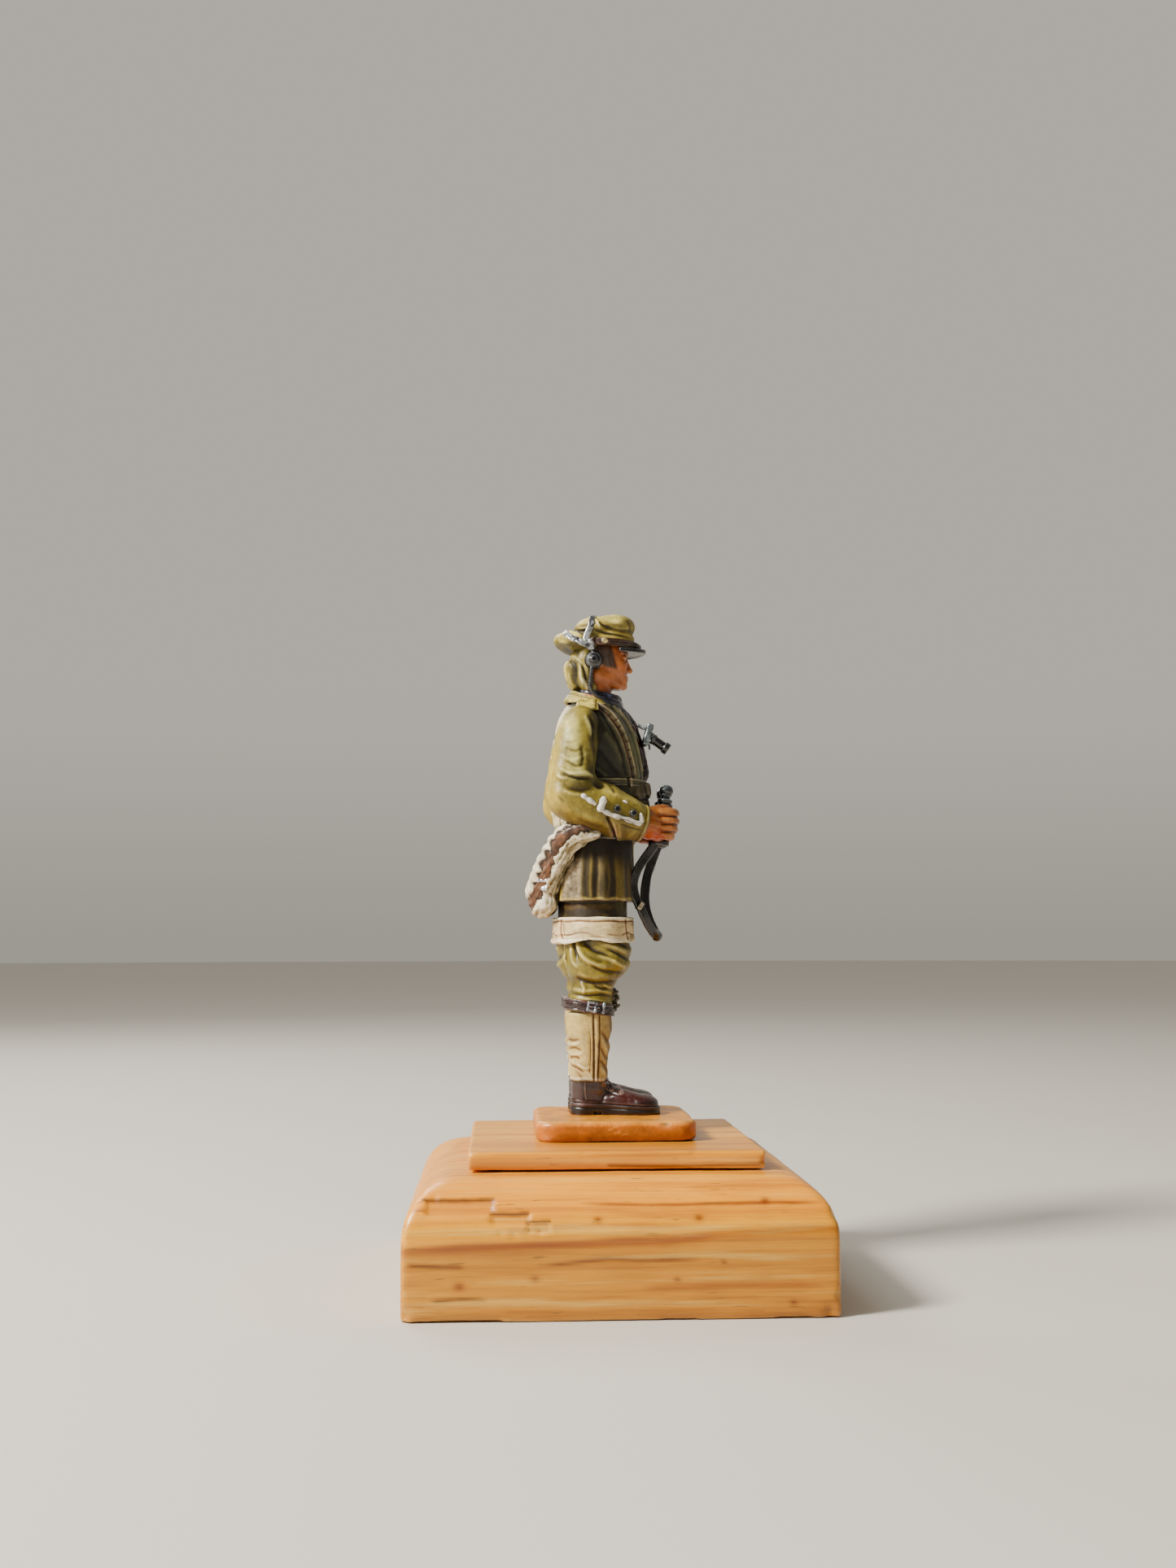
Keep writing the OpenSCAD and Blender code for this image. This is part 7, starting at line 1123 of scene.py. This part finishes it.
def headset():
    g = Grid((-6.6, -4.7, 58.9), (.2, 4.7, 66.2), 0.085); P = g.P; F = None
    hub = lambda sg: (-2.35, sg * 4.15, 60.35)
    front = [(-2.45, 4.25, 60.3), (-2.65, 4.35, 61.5), (-2.6, 4.28, 62.6), (-2.35, 3.85, 63.85), (-2.1, 2.7, 64.95), (-2.0, 1.3, 65.2), (-2.0, 0, 65.25)]; rear = [(-2.55, 4.2, 60.35), (-3.5, 4.3, 60.7), (-4.4, 4.1, 61.2), (-5.2, 3.5, 61.8), (-5.5, 2.5, 62.0), (-5.5, 1.2, 62.2), (-5.5, 0, 62.3)]
    for path, sd in ((front, (1, 0, .1)), (rear, (.8, 0, .6))):
        full = [(x, -y, z) for x, y, z in path] + [(x, y, z) for x, y, z in path[::-1][1:]]
        d = ribbon(P, hug(spline(full, 60), .05), sd, .40, .15, .10); F = d if F is None else np.minimum(F, d)
    for sg in (-1, 1): F = smin(F, rbox(P, hub(sg), (.42, .20, .55), .15), .08); F = smin(F, ell(P, (-2.4, sg * 4.4, 60.9), (.3, .2, .3)), .05)
    s = Sculpt(F, g, 2); s.fill(lin((206, 210, 214))); n = fbm(s.V, (.7, .7, .7), 301); s.paint(.8 * ss(.0, .4, -n), lin((84, 86, 90))); s.paint(.8 * ss(.15, .45, -fbm(s.V, .5, 302)), lin((24, 22, 26))); s.rough(.05, .6, 303, 3)
    piece("headset_bands_sculpt", s, ["headset_bands"], SILV)
    g = Grid((-3.7, -4.9, 56.6), (0, 4.9, 60.9), 0.085); P = g.P; F = None
    for sg in (-1, 1):
        R = rotm(90, 0, 0); c = A([-1.95, sg * 3.6, 58.55]); d = cyl(P, c, 1.08, .9, R, .3); d = smin(d, cyl(P, c + [0, sg * .5, 0], .86, .7, R, .22), .1); d = smin(d, cyl(P, c + [0, sg * .85, 0], .46, .5, R, .15), .08); d = smin(d, torus(P, c + [0, -sg * .45, 0], .92, .32, R), .1); d = smin(d, cap(P, c + [-.1, sg * .45, .8], hub(sg), .22), .12); d = smax(d, -torus(P, c + [0, sg * .86, 0], .68, .07, R), .05); F = d if F is None else np.minimum(F, d)
    # painted highlight on the upward faces and along the rim of each earphone
    s = Sculpt(F, g, 2); s.fill(lin((26, 26, 30))); s.rough(.03, .5, 311, 2); s.paint(.55 * ss(.3, .9, s.N[:, 2]) * ss(.0, .5, fbm(s.V, .8, 312)), lin((92, 96, 102))); r = np.hypot(s.x + 1.95, s.z - 58.55); s.paint(.6 * np.exp(-((r - .9) / .1) ** 2) * (np.abs(s.y) > 3.9), lin((150, 154, 158))); s.paint(.5 * ss(.1, .5, fbm(s.V, (.9, .9, .9), 313)) * (np.abs(s.y) > 3.7), lin((128, 132, 136)))
    piece("earphones_sculpt", s, ["earphones"], BLACK)
    g = Grid((-3.4, -4.6, 52.6), (.6, 4.6, 58.2), 0.085); P = g.P; F = None
    for sg in (-1, 1):
        pts = spline([(-2.2, sg * 3.75, 57.5), (-2.35, sg * 3.65, 56.3), (-2.45, sg * 3.5, 55.1), (-1.9, sg * 3.3, 54.1), (-.9, sg * 3.1, 53.4), (-.2, sg * 2.9, 52.9)], 18); d = tube(P, [tuple(p) for p in pts], .24, .06); F = d if F is None else np.minimum(F, d)
    # painted highlight on the front-facing side of the cable
    s = Sculpt(F, g, 1); s.fill(lin((20, 20, 24))); s.rough(.03, .35, 321, 2); s.paint(.4 * ss(.3, .9, s.N[:, 0]), lin((80, 82, 90))); piece("headset_cable_sculpt", s, ["headset_cable"], BLACK)
def microphone():
    g = Grid((3.6, -2.9, 46.4), (7.2, .6, 51.4), 0.075); P = g.P; c = A([5.25, -1.2, 48.95]); R = rotm(0, 24 - 8, 0)
    F = rbox(P, c, (.45, 1.0, 1.50), .30, R); F = smin(F, rbox(P, c + [.22, 0, .25], (.36, .60, .95), .25, R), .1); F = smin(F, cyl(P, c + [.5, 0, -.1], .45, .7, R @ rotm(0, 90, 0), .12), .1); F = smin(F, cap(P, c + [-.5, 0, .9], c + [-1.2, .2, 1.3], .22), .1); F = np.minimum(F, cap(P, c + [.2, -.3, -1.3], c + [.25, -.3, -1.9], .13))
    # painted shade on the faces turned to the back
    s = Sculpt(F, g, 2); s.fill(lin((150, 160, 164))); n = fbm(s.V, (.6, .6, .9), 331); s.paint(.75 * ss(.05, .5, -n), lin((52, 60, 62))); s.paint(.6 * ss(.2, .6, n), lin((214, 222, 224))); s.paint(.7 * ss(-.2, -.8, s.N[:, 0]), lin((40, 40, 42))); s.rough(.05, .5, 332, 3)
    piece("microphone_plate_sculpt", s, ["microphone_plate"], SILV)
    a = A([5.75, -1.2, 48.55]); b = A([7.80, -1.2, 47.10]); u = (b - a) / np.linalg.norm(b - a); ang = math.degrees(math.atan2(u[0], u[2])); R = rotm(0, ang, 0)
    g = Grid((5.0, -2.3, 45.9), (8.9, -.1, 49.6), 0.07); P = g.P
    F = cyl(P, (a + b) / 2, .62, 2.3, R, .14); F = smin(F, cyl(P, a + u * 2.35, .80, .75, R, .16), .08); F = smin(F, cyl(P, a + u * .35, .72, .45, R, .12), .06); F = smax(F, -cyl(P, a + u * 2.85, .52, .5, R, .08), .05)
    for k in (1.0,): F = smax(F, -torus(P, a + u * k, .66, .06, R), .04)
    # painted highlight on the upward faces of the microphone
    s = Sculpt(F, g, 1); s.fill(lin((24, 24, 28))); t = (s.V - a) @ u; s.paint(.4 * np.exp(-((t - .35) / .2) ** 2), lin((96, 100, 104))); s.paint(.35 * ss(.4, .9, s.N[:, 2]) * ss(.0, .4, fbm(s.V, .5, 341)), lin((110, 114, 120))); s.paint(.6 * ss(2.62, 2.7, t) * (np.linalg.norm(s.V - a - t[:, None] * u, axis=1) < .5), lin((70, 76, 84))); s.rough(.02, .4, 342, 2)
    piece("microphone_sculpt", s, ["microphone"], BLACK)
SILV_PLAIN = enamel("screw_steel_plain", rough=0.3, spec=0.5, metal=1.0, attr=False, base=(0.55, 0.55, 0.53))
BRASS_PLAIN = enamel("pin_brass_plain", rough=0.3, spec=0.5, metal=1.0, attr=False, base=(0.72, 0.52, 0.22))
lower_plinth(); upper_plinth(); base_plate()
for sg in (-1, 1): boot(sg); gaiter(sg); garter(sg)
laces(); breeches(); hem_band(); skirt(); torso(); collar(); belt(); sheepskin()
SL = {sg: sleeve(sg) for sg in (-1, 1)}
trims(SL); hand(-1); hand(1); binoculars(); straps()
scarf(); head(); curtain(); cap_crown(); headset(); microphone()
shade_all()

# ================================================================ stage
def stage():
    n = NT("floor_pale"); c = n.mix(n.noise(9, 3), (0.60, 0.57, 0.51), (0.64, 0.61, 0.55)); n.link(c, n.b.inputs["Base Color"]); n.b.inputs["Roughness"].default_value = 0.75
    me = bpy.data.meshes.new("floor"); r = 4.0; N = 96
    vs = [(r * math.cos(2 * math.pi * i / N), r * math.sin(2 * math.pi * i / N), 0) for i in range(N)]
    me.from_pydata(vs, [], [tuple(range(N))]); me.materials.append(n.m)
    o = bpy.data.objects.new("studio_floor", me); bpy.context.collection.objects.link(o)
    w = bpy.data.worlds.new("studio"); bpy.context.scene.world = w; w.use_nodes = True
    nt = w.node_tree; tc = nt.nodes.new("ShaderNodeTexCoord"); sp = nt.nodes.new("ShaderNodeSeparateXYZ"); mr = nt.nodes.new("ShaderNodeMapRange")     # pale backdrop, dimmer room
    nt.links.new(tc.outputs["Generated"], sp.inputs[0]); nt.links.new(sp.outputs[1], mr.inputs[0]); mr.interpolation_type = "SMOOTHSTEP"
    for i, v in ((1, -0.5), (2, 0.8), (3, 0.30), (4, 0.84)): mr.inputs[i].default_value = v
    m2 = nt.nodes.new("ShaderNodeMapRange"); m2.interpolation_type = "SMOOTHSTEP"; nt.links.new(sp.outputs[2], m2.inputs[0]); ml = nt.nodes.new("ShaderNodeMath"); ml.operation = "MULTIPLY"
    for i, v in ((1, -0.02), (2, 0.16), (3, 0.70), (4, 1.0)): m2.inputs[i].default_value = v
    nt.links.new(mr.outputs[0], ml.inputs[0]); nt.links.new(m2.outputs[0], ml.inputs[1]); nt.links.new(ml.outputs[0], nt.nodes["Background"].inputs[1]); nt.nodes["Background"].inputs[0].default_value = (0.64, 0.60, 0.52, 1)
    def area(name, loc, size, power, col=(1, 1, 1), to=(0, 0, .045)):
        l = bpy.data.lights.new(name, "AREA"); l.shape = "DISK"; l.size = size; l.energy = power; l.color = col
        o = bpy.data.objects.new(name, l); bpy.context.collection.objects.link(o); o.location = loc
        d = A(to) - A(loc); d = d / np.linalg.norm(d); from mathutils import Vector
        o.rotation_euler = Vector(d).to_track_quat("-Z", "Y").to_euler()
    area("key", (-0.44, -0.22, 0.42), 0.15, 9.0, (1, 0.95, 0.86))
    area("back", (-0.25, 0.40, 0.40), 0.30, 1.6, (1, 0.98, 0.95))
    l = bpy.data.lights.new("sky", "SUN"); l.energy = 0.6; l.angle = 1.2; l.color = (1, 0.97, 0.92)
    o = bpy.data.objects.new("sky", l); bpy.context.collection.objects.link(o); o.rotation_euler = (0.35, -0.9, 0.0)
def camera():
    yaw, pitch, roll = -0.0511866, 0.0987419, -0.0022284
    fwd = A([-math.sin(yaw) * math.cos(pitch), math.cos(yaw) * math.cos(pitch), math.sin(pitch)])
    right = A([math.cos(yaw), math.sin(yaw), 0]); up = np.cross(right, fwd)
    r2 = right * math.cos(roll) + up * math.sin(roll); u2 = -right * math.sin(roll) + up * math.cos(roll)
    cd = bpy.data.cameras.new("camera"); co = bpy.data.objects.new("camera", cd); bpy.context.collection.objects.link(co)
    cd.sensor_width = 36; cd.sensor_fit = "AUTO"; cd.lens = 37.204; cd.clip_start = 0.01; cd.clip_end = 50
    M = Matrix.Identity(4)
    for i in range(3): M[i][0], M[i][1], M[i][2] = r2[i], u2[i], -fwd[i]
    M.translation = (-0.0133128, -0.2113917, 0.0420811); co.matrix_world = M
    bpy.context.scene.camera = co

camera(); stage()

CAD_LEFT = {"mounting_screw": SILV_PLAIN, "foot_pins": BRASS_PLAIN}
for nme, mt in CAD_LEFT.items():
    o = frame["nodes"][nme]
    for i in range(max(1, len(o.material_slots))):
        if len(o.material_slots): o.material_slots[i].material = mt
        else: o.data.materials.append(mt)
